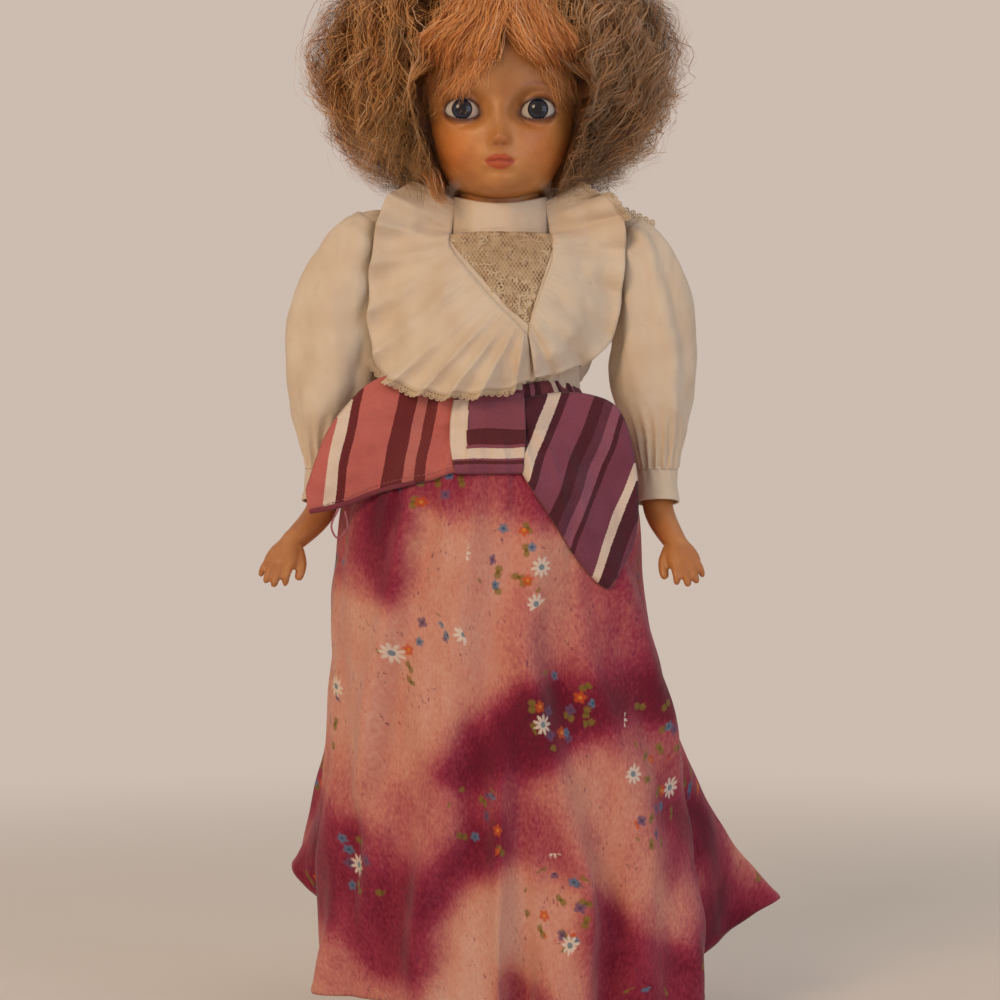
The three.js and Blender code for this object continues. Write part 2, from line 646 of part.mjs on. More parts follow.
// A leg with its foot. The sole is flat on the floor.
function makeLeg(word, side) {
  const hipX = legFaceX + THIGH_WIDE;
  const ankleX = hipX - 9;
  const drop = (share) => hipZ * (1 - share);
  const keys = [
    [hipX - 0.5, 0, hipZ + THIGH_DEEP + 0.3, 3, 3],
    [hipX - 0.3, 0, hipZ + THIGH_DEEP - 2, 0.7 * THIGH_WIDE, 0.6 * THIGH_DEEP],
    [hipX, 0, hipZ, THIGH_WIDE, THIGH_DEEP],
    [hipX - 1.5, 0, drop(0.14), THIGH_WIDE, 0.94 * THIGH_DEEP],
    [hipX - 3.5, -1, drop(0.29), 0.93 * THIGH_WIDE, 0.8 * THIGH_DEEP],
    [hipX - 5, -1, drop(0.46), KNEE_RADIUS, KNEE_RADIUS + 0.6],
    [hipX - 6, 2.5, drop(0.59), KNEE_RADIUS, KNEE_RADIUS + 1],
    [hipX - 8, 2, drop(0.77), 0.5 * (KNEE_RADIUS + ANKLE_RADIUS), 7.6],
    [ankleX, 1, drop(0.9), ANKLE_RADIUS, ANKLE_RADIUS + 0.6],
    [ankleX, 0, drop(0.96), ANKLE_RADIUS + 0.6, ANKLE_RADIUS + 1.6],
  ];
  const foot = [
    [ankleX, HEEL_BACK, 4, 4, 5.6],
    [ankleX, HEEL_BACK - 4, 6, 0.8 * FOOT_WIDE, 8.4],
    [ankleX, HEEL_BACK - 0.3 * FOOT_LENGTH, 7, 0.86 * FOOT_WIDE, 10.2],
    [ankleX + 0.5, HEEL_BACK - 0.55 * FOOT_LENGTH, 5, 0.92 * FOOT_WIDE, 8],
    [ankleX + 1, HEEL_BACK - 0.78 * FOOT_LENGTH, 3.4, FOOT_WIDE, 6],
    [ankleX + 1.3, HEEL_BACK - 0.94 * FOOT_LENGTH, 2.6, 0.86 * FOOT_WIDE, 4.4],
    [ankleX + 1.5, HEEL_BACK - FOOT_LENGTH, 2, 4, 3],
  ];
  let leg = limb(mirrorX(keys, side), 12, 1).add(limb(mirrorX(foot, side), 10, 1));
  leg = leg.subtract(block(-99, -99, -99, 99, 99, 0));
  const cavity = limb(mirrorX(keys.slice(1, 9), side), 8, 1, -VINYL_WALL).intersect(
    side > 0
      ? block(legFaceX + VINYL_WALL, -99, 0, 200, 99, 999)
      : block(-200, -99, 0, -legFaceX - VINYL_WALL, 99, 999),
  );
  const inner =
    side > 0 ? block(0, -99, hipZ - 60, legFaceX, 99, 999) : block(-legFaceX, -99, hipZ - 60, 0, 99, 999);
  const hole = jointHole(side, legFaceX, hipX, hipZ);
  piece(`${word}_leg`, leg.subtract(inner).subtract(cavity.add(hole)), "vinyl");
}

// The blouse's body hangs from the shoulders, swells over the bust and tucks in at the waist.
const tuckWide = WAIST_WIDE + BLOUSE_EASE + CLOTH;
const tuckDeep = WAIST_DEEP + BLOUSE_EASE + CLOTH;
const bodice = [
  [waistZ - WAIST_BAND + 2, tuckWide, tuckDeep],
  [waistZ + 1, tuckWide, tuckDeep],
  [waistZ + 3, tuckWide + 1.2, tuckDeep + 5],
  [waistZ + 6.5, tuckWide + 2.6, tuckDeep + 10],
  [waistZ + 13, tuckWide + 4.5, tuckDeep + 12.8],
  [shoulderZ - 36, tuckWide + 7.5, tuckDeep + 12.6],
  [shoulderZ - 20, CHEST_WIDE + 5, CHEST_DEEP + 5],
  [shoulderZ - 4, CHEST_WIDE + 4, CHEST_DEEP - 2],
  [shoulderZ + 3, CHEST_WIDE + 2, CHEST_DEEP - 5],
  [shoulderZ + 7, CHEST_WIDE - 4.5, CHEST_DEEP - 7],
  [shoulderZ + 9.5, COLLAR_RADIUS + 6, COLLAR_RADIUS - 0.5],
  [shoulderZ + 11, COLLAR_RADIUS, COLLAR_RADIUS - 1.5],
];
const collarZ = shoulderZ + 11;

function makeBlouse() {
  const sides = 24;
  const levels = bodice.map((row) => row[0]);
  levels.push(shoulderZ - 28, shoulderZ - 12);
  levels.sort((a, b) => a - b);
  const outer = stack(bodice, levels, 0, sides);
  const inner = stack(bodice, [levels[0] - 2, ...levels, collarZ + 2], -CLOTH, sides);
  const holes = rodAlongX(ARMHOLE_RADIUS, CHEST_WIDE - 1, 99, shoulderZ, 20).add(
    rodAlongX(ARMHOLE_RADIUS, -99, 1 - CHEST_WIDE, shoulderZ, 20),
  );
  const shell = outer.subtract(inner).subtract(holes);
  const yoke = (grow) => {
    const outline = new THREE.Shape([
      new THREE.Vector2(-21 - grow, collarZ + 9),
      new THREE.Vector2(24 + grow, collarZ + 9),
      new THREE.Vector2(23 + grow, collarZ - 4),
      new THREE.Vector2(11.5 + grow, collarZ - 42 - grow),
      new THREE.Vector2(10.5 - grow, collarZ - 42 - grow),
      new THREE.Vector2(-21 - grow, collarZ - 4),
    ]);
    const prism = new THREE.ExtrudeGeometry(outline, { depth: 99, bevelEnabled: false });
    return solidOf(prism.rotateX(Math.PI / 2));
  };
  piece("lace_yoke", shell.intersect(yoke(-FIT / 2)), "lace");
  const seam = FIT / 2;
  const front = shell.intersect(block(-99, -99, 0, 99, -seam, 999));
  piece("blouse_front", front.subtract(yoke(FIT / 2)), "blouse");
  piece("blouse_back_left", shell.intersect(block(-99, seam, 0, -seam, 99, 999)), "blouse");
  piece("blouse_back_right", shell.intersect(block(seam, seam, 0, 99, 99, 999)), "blouse");

  const band = (radius) =>
    solidOf(skin([collarZ + FIT, collarZ + COLLAR_HEIGHT].map((z) => ovalRing(z, radius, radius - 1.5, 32))));
  const bore = solidOf(
    skin([collarZ, collarZ + 99].map((z) => ovalRing(z, COLLAR_RADIUS - 1.4, COLLAR_RADIUS - 2.9, 32))),
  );
  piece("collar_band", band(COLLAR_RADIUS).subtract(bore), "blouse");

  ["top", "middle", "bottom"].forEach((word, i) => {
    const z = shoulderZ - 3 - 20 * i;
    const backY = Math.max(...[z - 2, z, z + 2].map((level) => sectionAt(bodice, level)[1]));
    const disc = new THREE.CylinderGeometry(BUTTON_RADIUS, BUTTON_RADIUS, 1.2, 14);
    disc.translate(-1.5, backY + 0.8 + FIT, z);
    piece(`back_button_${word}`, solidOf(disc), "button");
  });
}

// Puffed sleeves, from the head of the sleeve down: [out from the arm's inner face, forwards, share of the
// way down to the elbow, half width, half depth], where the lengths are shares of SLEEVE_FULL.
const sleeveShapes = {
  left: [
    [0.565, 0.05, 0, 0.2, 0.25], [0.69, 0.05, 0.037, 0.5, 0.55], [0.865, 0.05, 0.131, 0.725, 0.825],
    [1.065, 0.075, 0.318, 0.925, 0.9], [1.205, 0.1, 0.514, 1.04, 0.9], [1.315, 0.1, 0.682, 0.95, 0.875],
    [1.44, 0.125, 0.85, 0.71, 0.75],
  ],
  right: [
    [0.515, 0.05, 0.037, 0.2, 0.25], [0.615, 0.05, 0.07, 0.45, 0.55], [0.765, 0.05, 0.15, 0.625, 0.825],
    [0.935, 0.075, 0.327, 0.79, 0.9], [1.025, 0.1, 0.533, 0.865, 0.9], [1.015, 0.1, 0.682, 0.88, 0.875],
    [1.115, 0.125, 0.86, 0.665, 0.75],
  ],
};

function makeSleeve(word) {
  const { side } = armSides[word];
  const keys = armKeys(armSides[word]);
  const [elbow, low] = [keys[5], keys[6]];
  const drop = elbow[2] - low[2];
  // A ring round the arm below the elbow, by how far it has dropped.
  const ringAt = (fall, radius) => {
    const at = [0, 1, 2].map((k) => THREE.MathUtils.lerp(elbow[k], low[k], fall / drop));
    return [...at, radius, radius];
  };
  const tube = (from, to, radius) =>
    limb(mirrorX([ringAt(from, radius), ringAt((from + to) / 2, radius), ringAt(to, radius)], side), 16, 1);
  const sleeveEnd = 3;
  const cuffEnd = sleeveEnd + CUFF_HEIGHT;
  const inside = FOREARM_RADIUS + CUFF_EASE;
  const outside = inside + CUFF_THICK;
  const shape = sleeveShapes[word].map(([out, ahead, down, wide, deep]) => [
    armFaceX + out * SLEEVE_FULL,
    ahead * SLEEVE_FULL,
    shoulderZ + SLEEVE_RISE - down * (SLEEVE_RISE + UPPER_ARM_LENGTH),
    wide * SLEEVE_FULL,
    deep * SLEEVE_FULL,
  ]);
  const outer = limb(mirrorX([...shape, ringAt(sleeveEnd, outside)], side), 16, 1);
  const innerKeys = shape.map(([x, y, z, wide, deep]) => [x, y, z - CLOTH, wide - CLOTH, deep - CLOTH]);
  innerKeys.push(ringAt(sleeveEnd, inside), ringAt(sleeveEnd + 8, inside));
  const seamX = armFaceX + SLEEVE_GAP;
  const bodySide = side > 0 ? block(0, -99, 0, seamX, 99, 999) : block(-seamX, -99, 0, 0, 99, 999);
  const armhole = side > 0 ? [0, armX + 4] : [-armX - 4, 0];
  const open = bodySide.add(rodAlongX(SLEEVE_HOLE_RADIUS, ...armhole, shoulderZ, 20));
  const inner = limb(mirrorX(innerKeys, side), 16, 1);
  const below = tube(sleeveEnd, sleeveEnd + 30, 30);
  piece(`${word}_sleeve`, outer.subtract(inner).subtract(open).subtract(below), "blouse");
  const cuff = tube(sleeveEnd + FIT, cuffEnd, outside).subtract(tube(sleeveEnd - 5, cuffEnd + 5, inside));
  piece(`${word}_cuff`, cuff, "blouse");
}

// The skirt, from the waistband to the hem. Each hem point is [x, y, height above the lowest hem].
const bandWide = tuckWide + FIT + WAISTBAND_THICK;
const bandDeep = tuckDeep + FIT + WAISTBAND_THICK;
const bandZ = waistZ - WAIST_BAND;
const hemPoints = [
  [119, 28, 35], [100, 42, 22], [72, 36, 8], [50, 52, 3], [26, 40, 1], [4, 54, 0], [-20, 41, 2],
  [-42, 50, 7], [-62, 34, 21], [-82, 32, 43], [-89, 22, 51], [-78, 6, 38], [-66, -8, 20], [-75, -26, 9],
  [-62, -46, 7], [-40, -50, 6], [-20, -60, 6], [2, -55, 6], [22, -64, 5], [44, -56, 5], [64, -54, 5],
  [82, -34, 4], [74, -12, 9], [94, 8, 20],
];

// The long folds in front: [x and z of the top, x and z of the foot, half width, height].
const skirtFolds = [
  [-40, 212, -57, 103, 5.5, 2.6], [0, 90, -1, 12, 5, 2.8], [8, 161, 36, 55, 7, 2.6], [35, 60, 37, 12, 5, 2.2],
  [-12, 210, -20, 130, 8, 1.8], [50, 190, 74, 110, 6, 2], [80, 90, 74, 20, 5.5, 2.8], [-66, 90, -70, 20, 5, 2],
];

// How far the skirt's folds stand out: even waves all round, and the long folds in front.
function foldHeight(turn, share, x, y, z) {
  const { smoothstep, clamp } = THREE.MathUtils;
  let out = FOLD_HIGH * Math.sin(2 * Math.PI * FOLDS * turn + 2.2 * Math.sin(7 * share)) *
    smoothstep(share, 0.15, 0.8);
  const front = 1 - smoothstep(y, -10, 5);
  for (const [x0, z0, x1, z1, wide, high] of skirtFolds) {
    const t = clamp((z0 - z) / (z0 - z1), -0.25, 1.25);
    const across = (x - (x0 + (x1 - x0) * t)) / wide;
    const ends = smoothstep(t, -0.25, 0.1) * (1 - smoothstep(t, 0.95, 1.25));
    out += front * ends * high * (Math.exp(-(across ** 2)) - 0.8 * Math.exp(-((across - 1.5) ** 2)));
  }
  return out;
}

// The skirt's oval, before the hem's folds: [share of the way down, half width, half depth, middle].
const skirtShape = [
  [0, bandWide, bandDeep, -WAIST_SHIFT],
  [0.06, bandWide + 14, bandDeep + 6, -WAIST_SHIFT],
  [0.15, bandWide + 24, bandDeep + 11, -WAIST_SHIFT],
  [0.3, bandWide + 27, bandDeep + 15, -WAIST_SHIFT - 1],
  [0.5, bandWide + 32, bandDeep + 19, -1],
  [1, bandWide + 42, bandDeep + 26, 3],
];

function skirtSolid() {
  const around = 72;
  const hemZ = bandZ - SKIRT_LENGTH;
  const hem = new THREE.CatmullRomCurve3(
    hemPoints.map(([x, y, up]) => new THREE.Vector3(x, y, hemZ + up)),
    true,
  );
  const shares = [0, 0.06, 0.15, 0.32, 0.52, 0.7, 0.86, 1];
  const surface = (inset) =>
    shares.map((share) => {
      const i = Math.max(0, skirtShape.findIndex((row) => row[0] >= share) - 1);
      const t = (share - skirtShape[i][0]) / (skirtShape[i + 1][0] - skirtShape[i][0]);
      const [wide, deep, middle] = [1, 2, 3].map((k) =>
        THREE.MathUtils.lerp(skirtShape[i][k], skirtShape[i + 1][k], t),
      );
      return Array.from({ length: around }, (_, j) => {
        const low = hem.getPoint(j / around);
        const angle = Math.atan2((low.y + 4) / 58, (low.x - 6) / 85);
        const point = new THREE.Vector3(middle + wide * Math.cos(angle), deep * Math.sin(angle), 0);
        point.lerp(new THREE.Vector3(low.x, low.y, 0), share ** 4);
        const radius = Math.hypot(point.x, point.y);
        const z = THREE.MathUtils.lerp(bandZ - FIT, low.z, share);
        const fold = foldHeight(j / around, share, point.x, point.y, z);
        point.multiplyScalar((radius + fold - inset) / radius);
        return point.setZ(z);
      });
    });
  const outer = surface(0).reverse();
  const inner = surface(CLOTH).reverse();
  inner.unshift(inner[0].map((p) => p.clone().setZ(p.z - 4)));
  inner.push(inner.at(-1).map((p) => p.clone().setZ(p.z + 4)));
  return solidOf(skin(outer)).subtract(solidOf(skin(inner)));
}

// An oval band round the waist.
function waistRing(wide, deep, thick, low, high) {
  const oval = (grow, z0, z1) =>
    solidOf(skin([z0, z1].map((z) => ovalRing(z, wide + grow, deep + grow, 32, -WAIST_SHIFT))));
  return oval(0, low, high).subtract(oval(-thick, low - 1, high + 1));
}

function makeSkirtAndSash() {
  const skirt = piece("skirt", skirtSolid(), "skirt");
  const band = waistRing(bandWide, bandDeep, WAISTBAND_THICK, bandZ, bandZ + WAISTBAND_HEIGHT);
  piece("skirt_waistband", band, "skirt");
  const beltWide = bandWide + FIT + BELT_THICK;
  const beltDeep = bandDeep + FIT + BELT_THICK;
  const beltZ = bandZ;
  const belt = piece(
    "sash_belt",
    waistRing(beltWide, beltDeep, BELT_THICK, beltZ, beltZ + BELT_HEIGHT),
    "stripes",
  );
  const under = [skirt, belt, doll.getObjectByName("blouse_front")];

  // Each wing is rows of [x, top, x, bottom] from the knot to the tip, as shares of its length. Heights are
  // from the belt's lower edge.
  const wing = (name, unit, restY, shares) => {
    const columns = 6;
    const rows = shares.map((row) => row.map((share) => share * unit));
    const grid = rows.map(([topX, top, bottomX, bottom]) =>
      Array.from({ length: columns }, (_, j) => {
        const t = j / (columns - 1);
        const x = THREE.MathUtils.lerp(bottomX, topX, t);
        const z = beltZ + THREE.MathUtils.lerp(bottom, top, t);
        const reach = 3;
        const near = [-reach, 0, reach].flatMap((dx) =>
          [-reach, 0, reach].map((dz) => frontOf(under, x + dx, z + dz, restY)),
        );
        return new THREE.Vector3(x, Math.min(...near) - FIT, z);
      }),
    );
    const crown = (i, j) => {
      const across = Math.sin((Math.PI * j) / (columns - 1));
      const outwards = Math.sin(Math.PI * Math.min(1, (i + 0.6) / rows.length));
      return BOW_THICK * (0.45 + 0.55 * across * outwards);
    };
    return piece(name, quilt(grid, crown), "stripes");
  };
  wing("bow_left_wing", LEFT_WING_LENGTH, -WAIST_DEEP + 5, [
    [-0.295, 0.189, -0.295, -0.262], [-0.469, 0.27, -0.443, -0.328], [-0.669, 0.336, -0.639, -0.377],
    [-0.869, 0.295, -0.836, -0.434], [-1.036, 0.131, -1, -0.5], [-1.17, -0.066, -1.148, -0.549],
    [-1.295, -0.41, -1.279, -0.557],
  ]);
  wing("bow_right_wing", RIGHT_WING_LENGTH, -WAIST_DEEP + 1, [
    [0.172, 0.152, 0.152, -0.252], [0.331, 0.172, 0.205, -0.358], [0.49, 0.166, 0.278, -0.477],
    [0.623, 0.113, 0.344, -0.596], [0.695, -0.04, 0.411, -0.689], [0.735, -0.318, 0.477, -0.768],
    [0.722, -0.596, 0.53, -0.821], [0.636, -0.781, 0.576, -0.848],
  ]);
  const knotRows = [-0.6, -0.32, -0.04, 0.25, 0.4].map((share) =>
    Array.from({ length: 5 }, (_, j) => {
      const x = share * KNOT_WIDE;
      const z = beltZ + BELT_HEIGHT - 2 - KNOT_HEIGHT * (1 - j / 4);
      const near = [-3, 0, 3].flatMap((dx) =>
        [-3, 0, 3].map((dz) => frontOf(under, x + dx, z + dz, -WAIST_DEEP + 5)),
      );
      return new THREE.Vector3(x, Math.min(...near) - FIT, z);
    }),
  );
  const knot = quilt(knotRows, (i, j) => 5 + 1.6 * Math.sin((Math.PI * i) / 4) * Math.sin((Math.PI * j) / 4));
  piece("bow_knot", knot, "stripes");

  const snap = new THREE.CylinderGeometry(2.4, 2.4, 0.9, 12);
  snap.translate(-WAIST_SHIFT, beltDeep + 0.45 + FIT, beltZ + BELT_HEIGHT / 2);
  piece("sash_snap", solidOf(snap), "button");
}

// Ruffles are sewn down beside the yoke along their inner edge, and stand up on the shoulders.
function makeRuffles() {
  const under = [doll.getObjectByName("blouse_front"), doll.getObjectByName("lace_yoke")];
  const rows = 9;
  const columns = 5;
  for (const [word, side] of [["left", -1], ["right", 1]]) {
    const grid = Array.from({ length: rows }, (_, i) => {
      const down = i / (rows - 1);
      const z = THREE.MathUtils.lerp(collarZ + 16, collarZ - 49, down);
      const outer = THREE.MathUtils.lerp(CHEST_WIDE + 3, CHEST_WIDE + 4.5, down);
      const inner = THREE.MathUtils.lerp(COLLAR_RADIUS + 3, COLLAR_RADIUS + 9, down);
      return Array.from({ length: columns }, (_, j) => {
        const out = j / (columns - 1);
        const x = side * THREE.MathUtils.lerp(inner, outer, out);
        const wave = 2.2 * out * (0.5 + 0.5 * Math.cos((2 * Math.PI * (i + 0.5 * j)) / 3));
        const reach = 0.6 + 2 * out;
        const near = [-reach, 0, reach].flatMap((dx) =>
          [-reach, 0, reach].map((dz) => frontOf(under, x + dx, Math.min(z, shoulderZ - 2) + dz, -15)),
        );
        return new THREE.Vector3(x, Math.min(...near) - FIT - wave, z);
      });
    });
    piece(`${word}_ruffle`, quilt(grid, () => CLOTH), "blouse");
  }
  // Lace stands along the right shoulder's seam.
  const laceY = -6;
  const edge = Array.from({ length: 7 }, (_, i) => {
    const x = THREE.MathUtils.lerp(COLLAR_RADIUS + 6, CHEST_WIDE - 2, i / 6);
    const wave = laceY - 0.5 - 0.5 * Math.cos(i * 2.2);
    const low = Math.max(...[-2, 0, 2].map((dx) => topOf(under, x + dx, laceY - 1))) + FIT + 0.1;
    return [low, low + LACE_HEIGHT].map((z) => new THREE.Vector3(x, wave, z));
  });
  piece("shoulder_lace", quilt(edge, () => 0.8), "lace");
}

makeTorso();
makeStringing("arm", shoulderZ, shoulderCupX, armFaceX);
makeStringing("leg", hipZ, hipCupX, legFaceX);
makeHead();
makeHair();
makeArm("left");
makeArm("right");
makeLeg("left", -1);
makeLeg("right", 1);
makeBlouse();
makeSleeve("left");
makeSleeve("right");
makeSkirtAndSash();
makeRuffles();

// The whole doll stands on the floor, centred over the origin.
doll.updateMatrixWorld(true);
const box = new THREE.Box3().setFromObject(doll, true);
doll.position.set(-(box.min.x + box.max.x) / 2, -(box.min.y + box.max.y) / 2, -box.min.z);
doll.updateMatrixWorld(true);

export default doll;
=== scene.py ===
"""A dressed soft-body doll.

Vinyl head and limbs on a stuffed cloth torso, wavy rooted hair, a blouse with a lace yoke and ruffles, a
striped sash tied in a bow, and a long flared skirt printed with small flowers.

Shapes are written in millimetres in the doll's own frame: its neck stands over X = Y = 0 and it faces -Y.
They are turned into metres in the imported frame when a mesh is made.
"""
import logging
import math
from collections.abc import Iterable, Sequence
from dataclasses import dataclass, field
from enum import Enum

import bmesh
import bpy
import numpy as np
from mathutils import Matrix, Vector, noise
from mathutils.bvhtree import BVHTree


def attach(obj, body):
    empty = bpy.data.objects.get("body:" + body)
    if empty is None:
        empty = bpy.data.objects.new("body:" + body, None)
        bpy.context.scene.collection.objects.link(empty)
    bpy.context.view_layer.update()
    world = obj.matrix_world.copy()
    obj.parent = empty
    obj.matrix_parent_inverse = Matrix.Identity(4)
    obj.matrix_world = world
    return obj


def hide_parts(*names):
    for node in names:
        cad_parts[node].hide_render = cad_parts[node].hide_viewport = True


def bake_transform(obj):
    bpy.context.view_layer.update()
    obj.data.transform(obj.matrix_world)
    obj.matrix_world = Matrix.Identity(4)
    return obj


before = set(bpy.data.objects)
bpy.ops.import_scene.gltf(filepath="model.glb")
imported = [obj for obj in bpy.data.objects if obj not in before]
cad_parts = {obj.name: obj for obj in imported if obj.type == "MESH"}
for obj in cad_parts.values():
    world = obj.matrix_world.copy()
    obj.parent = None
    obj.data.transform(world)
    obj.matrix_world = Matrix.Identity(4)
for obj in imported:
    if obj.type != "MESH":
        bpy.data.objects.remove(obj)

Array = np.ndarray
Material = bpy.types.Material
Object = bpy.types.Object
Socket = bpy.types.NodeSocket

log = logging.getLogger("doll")
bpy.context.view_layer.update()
MM = 0.001
DOLL_TO_FRAME = np.array([-10.925, -0.414, 0.0])

BAND_Z = 250.0
SHOULDER_Z = 320.0
COLLAR_Z = 331.0
NECK_Z = 336.5
CHIN_Z = 345.0
HEAD_HEIGHT = 84.0
EYE_Z = CHIN_Z + 0.415 * HEAD_HEIGHT
ARM_FACE_X = 43.7
LEG_FACE_X = 24.7


class Side(Enum):
    """Left and right as the picture shows them."""

    LEFT = -1
    RIGHT = 1

    @property
    def word(self) -> str:
        """The side's name in lower case."""
        return self.name.lower()


# Shapes

def to_frame(points: Array) -> Array:
    """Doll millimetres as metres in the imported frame."""
    return (np.asarray(points, float) + DOLL_TO_FRAME) * MM


def spline(keys: Sequence, count: int, closed: bool = False) -> Array:
    """Points on a smooth curve through keys.

    Args:
        keys: Rows of numbers of any width.
        count: How many points to return.
        closed: Whether the curve runs back to its first key.

    Returns:
        An array of count rows.
    """
    keys = np.asarray(keys, float)
    last = len(keys) - 1
    spans = len(keys) if closed else last
    t = np.linspace(0, spans, count, endpoint=not closed)
    i = np.minimum(t.astype(int), spans - 1)
    f = (t - i)[:, None]

    def key(k: Array) -> Array:
        """The keys at indices k."""
        return keys[k % len(keys)] if closed else keys[np.clip(k, 0, last)]

    a, b, c, d = key(i - 1), key(i), key(i + 1), key(i + 2)
    return 0.5 * (2 * b + (c - a) * f + (2 * a - 5 * b + 4 * c - d) * f**2 + (3 * b - a - 3 * c + d) * f**3)


def along(table: Sequence, at: Array) -> Array:
    """A table's columns at chosen places, without overshoot.

    Args:
        table: Rows of [place, value, value, ...] with rising places.
        at: The places asked for.

    Returns:
        One row of values for each place.
    """
    table = np.asarray(table, float)
    x, y = table[:, 0], table[:, 1:]
    slope = np.diff(y, axis=0) / np.diff(x)[:, None]
    same = slope[1:] * slope[:-1] > 0
    total = np.where(same, slope[1:] + slope[:-1], 1)
    tilt = np.zeros_like(y)
    tilt[1:-1] = np.where(same, 2 * slope[1:] * slope[:-1] / total, 0)
    tilt[0], tilt[-1] = slope[0], slope[-1]
    at = np.clip(at, x[0], x[-1])
    i = np.clip(np.searchsorted(x, at, side="right") - 1, 0, len(x) - 2)
    h = (x[i + 1] - x[i])[:, None]
    t = ((at - x[i])[:, None]) / h
    return (
        y[i] * (1 + 2 * t) * (1 - t) ** 2 + y[i + 1] * t**2 * (3 - 2 * t)
        + tilt[i] * h * t * (1 - t) ** 2 + tilt[i + 1] * h * t**2 * (t - 1)
    )


def step(low: float, high: float, at: Array) -> Array:
    """A soft step from 0 at low to 1 at high."""
    t = np.clip((np.asarray(at, float) - low) / (high - low), 0, 1)
    return t * t * (3 - 2 * t)


def bell(x: Array, z: Array, x0: float, z0: float, wide: float, high: float) -> Array:
    """A round bump of height 1 at (x0, z0)."""
    return np.exp(-0.5 * (((x - x0) / wide) ** 2 + ((z - z0) / high) ** 2))


def ripple(points: Array, size: Sequence[float], seed: float = 0.0) -> Array:
    """Smooth noise from about -1 to 1 at each point.

    Args:
        points: An array whose last axis is X, Y, Z in millimetres.
        size: The noise's grain along X, Y and Z in millimetres.
        seed: Moves the noise, so that two pieces differ.

    Returns:
        An array of the points' shape without its last axis.
    """
    scaled = (np.asarray(points, float) / np.asarray(size, float)).reshape(-1, 3) + seed * 17.31
    values = np.fromiter((noise.noise(Vector(p)) for p in scaled), float, len(scaled))
    return (1.6 * values).reshape(points.shape[:-1])


def turns(count: int) -> Array:
    """Evenly spaced angles once round."""
    return np.linspace(0, 2 * np.pi, count, endpoint=False)


def ring(turn: Array) -> Array:
    """A flat ring of radius 1, as one X, Y, Z row for each angle."""
    return np.stack([np.cos(turn), np.sin(turn), 0 * turn], -1)


def run_of(path: Array) -> Array:
    """How far along a path each of its points lies."""
    return np.r_[0, np.cumsum(np.linalg.norm(np.diff(path, axis=0), axis=1))]


def places(at: Array, run: Array, values: Array) -> Array:
    """The columns of values kept along a path, at distances along it."""
    return np.stack([np.interp(at, run, column) for column in values.T], -1)


def face_area(grid: Array) -> float:
    """The area of an open grid, in its own units squared."""
    down, over = np.diff(grid[:, :-1], axis=0), np.diff(grid, axis=1)[:-1]
    return float(np.linalg.norm(np.cross(down, over), axis=2).sum())


def unit(ways: Array) -> Array:
    """Vectors brought to length 1."""
    return ways / np.maximum(np.linalg.norm(ways, axis=-1, keepdims=True), 1e-9)


def normals(grid: Array, closed: bool) -> Array:
    """Unit normals of a grid of points, along row direction x column direction.

    Args:
        grid: Points as rows x columns x 3.
        closed: Whether the columns join up.

    Returns:
        An array like grid.
    """
    down = np.gradient(grid, axis=0)
    if closed:
        across = np.roll(grid, -1, 1) - np.roll(grid, 1, 1)
    else:
        across = np.gradient(grid, axis=1)
    return unit(np.cross(down, across))


def outward(grid: Array, level: bool = False) -> Array:
    """Normals of a tube's points, turned away from its middle, and laid level if asked."""
    n = normals(grid, True)
    off = n * (grid - grid.mean(1, keepdims=True))
    n *= np.sign((off[..., :2] if level else off).sum(-1, keepdims=True))
    return n * [1, 1, 0] if level else n


def rim(rows: int, columns: int) -> list[int]:
    """The points round the edge of an open grid, in order."""
    loop = list(range(columns)) + [i * columns + columns - 1 for i in range(1, rows)]
    loop += [(rows - 1) * columns + j for j in range(columns - 2, -1, -1)]
    return loop + [i * columns for i in range(rows - 2, 0, -1)]


def grid_faces(rows: int, columns: int, closed: bool, start: int = 0) -> Array:
    """Quads over a grid of points numbered row by row."""
    across = np.arange(columns if closed else columns - 1)
    i, j = np.meshgrid(np.arange(rows - 1) * columns, across, indexing="ij")
    k = (j + 1) % columns
    quads = np.stack([i + j, i + k, i + columns + k, i + columns + j], -1)
    return quads.reshape(-1, 4) + start


@dataclass
class Shape:
    """Points in doll millimetres, faces, and flat cloth coordinates for each point."""

    points: Array
    faces: list
    flat: Array | None = None

    @classmethod
    def joined(cls, shapes: Iterable["Shape"]) -> "Shape":
        """Several shapes as one, in their order."""
        shapes = list(shapes)
        starts = np.r_[0, np.cumsum([len(shape.points) for shape in shapes])].tolist()
        faces = [
            [k + start for k in face] for start, shape in zip(starts, shapes) for face in shape.faces]
        flat = None if shapes[0].flat is None else np.vstack([shape.flat for shape in shapes])
        return cls(np.vstack([shape.points for shape in shapes]), faces, flat)


def surface(grid: Array, closed: bool = False, flat: Array | None = None) -> Shape:
    """One layer of faces over a grid of points."""
    rows, columns = grid.shape[:2]
    faces = grid_faces(rows, columns, closed).tolist()
    return Shape(grid.reshape(-1, 3), faces, None if flat is None else flat.reshape(-1, 2))


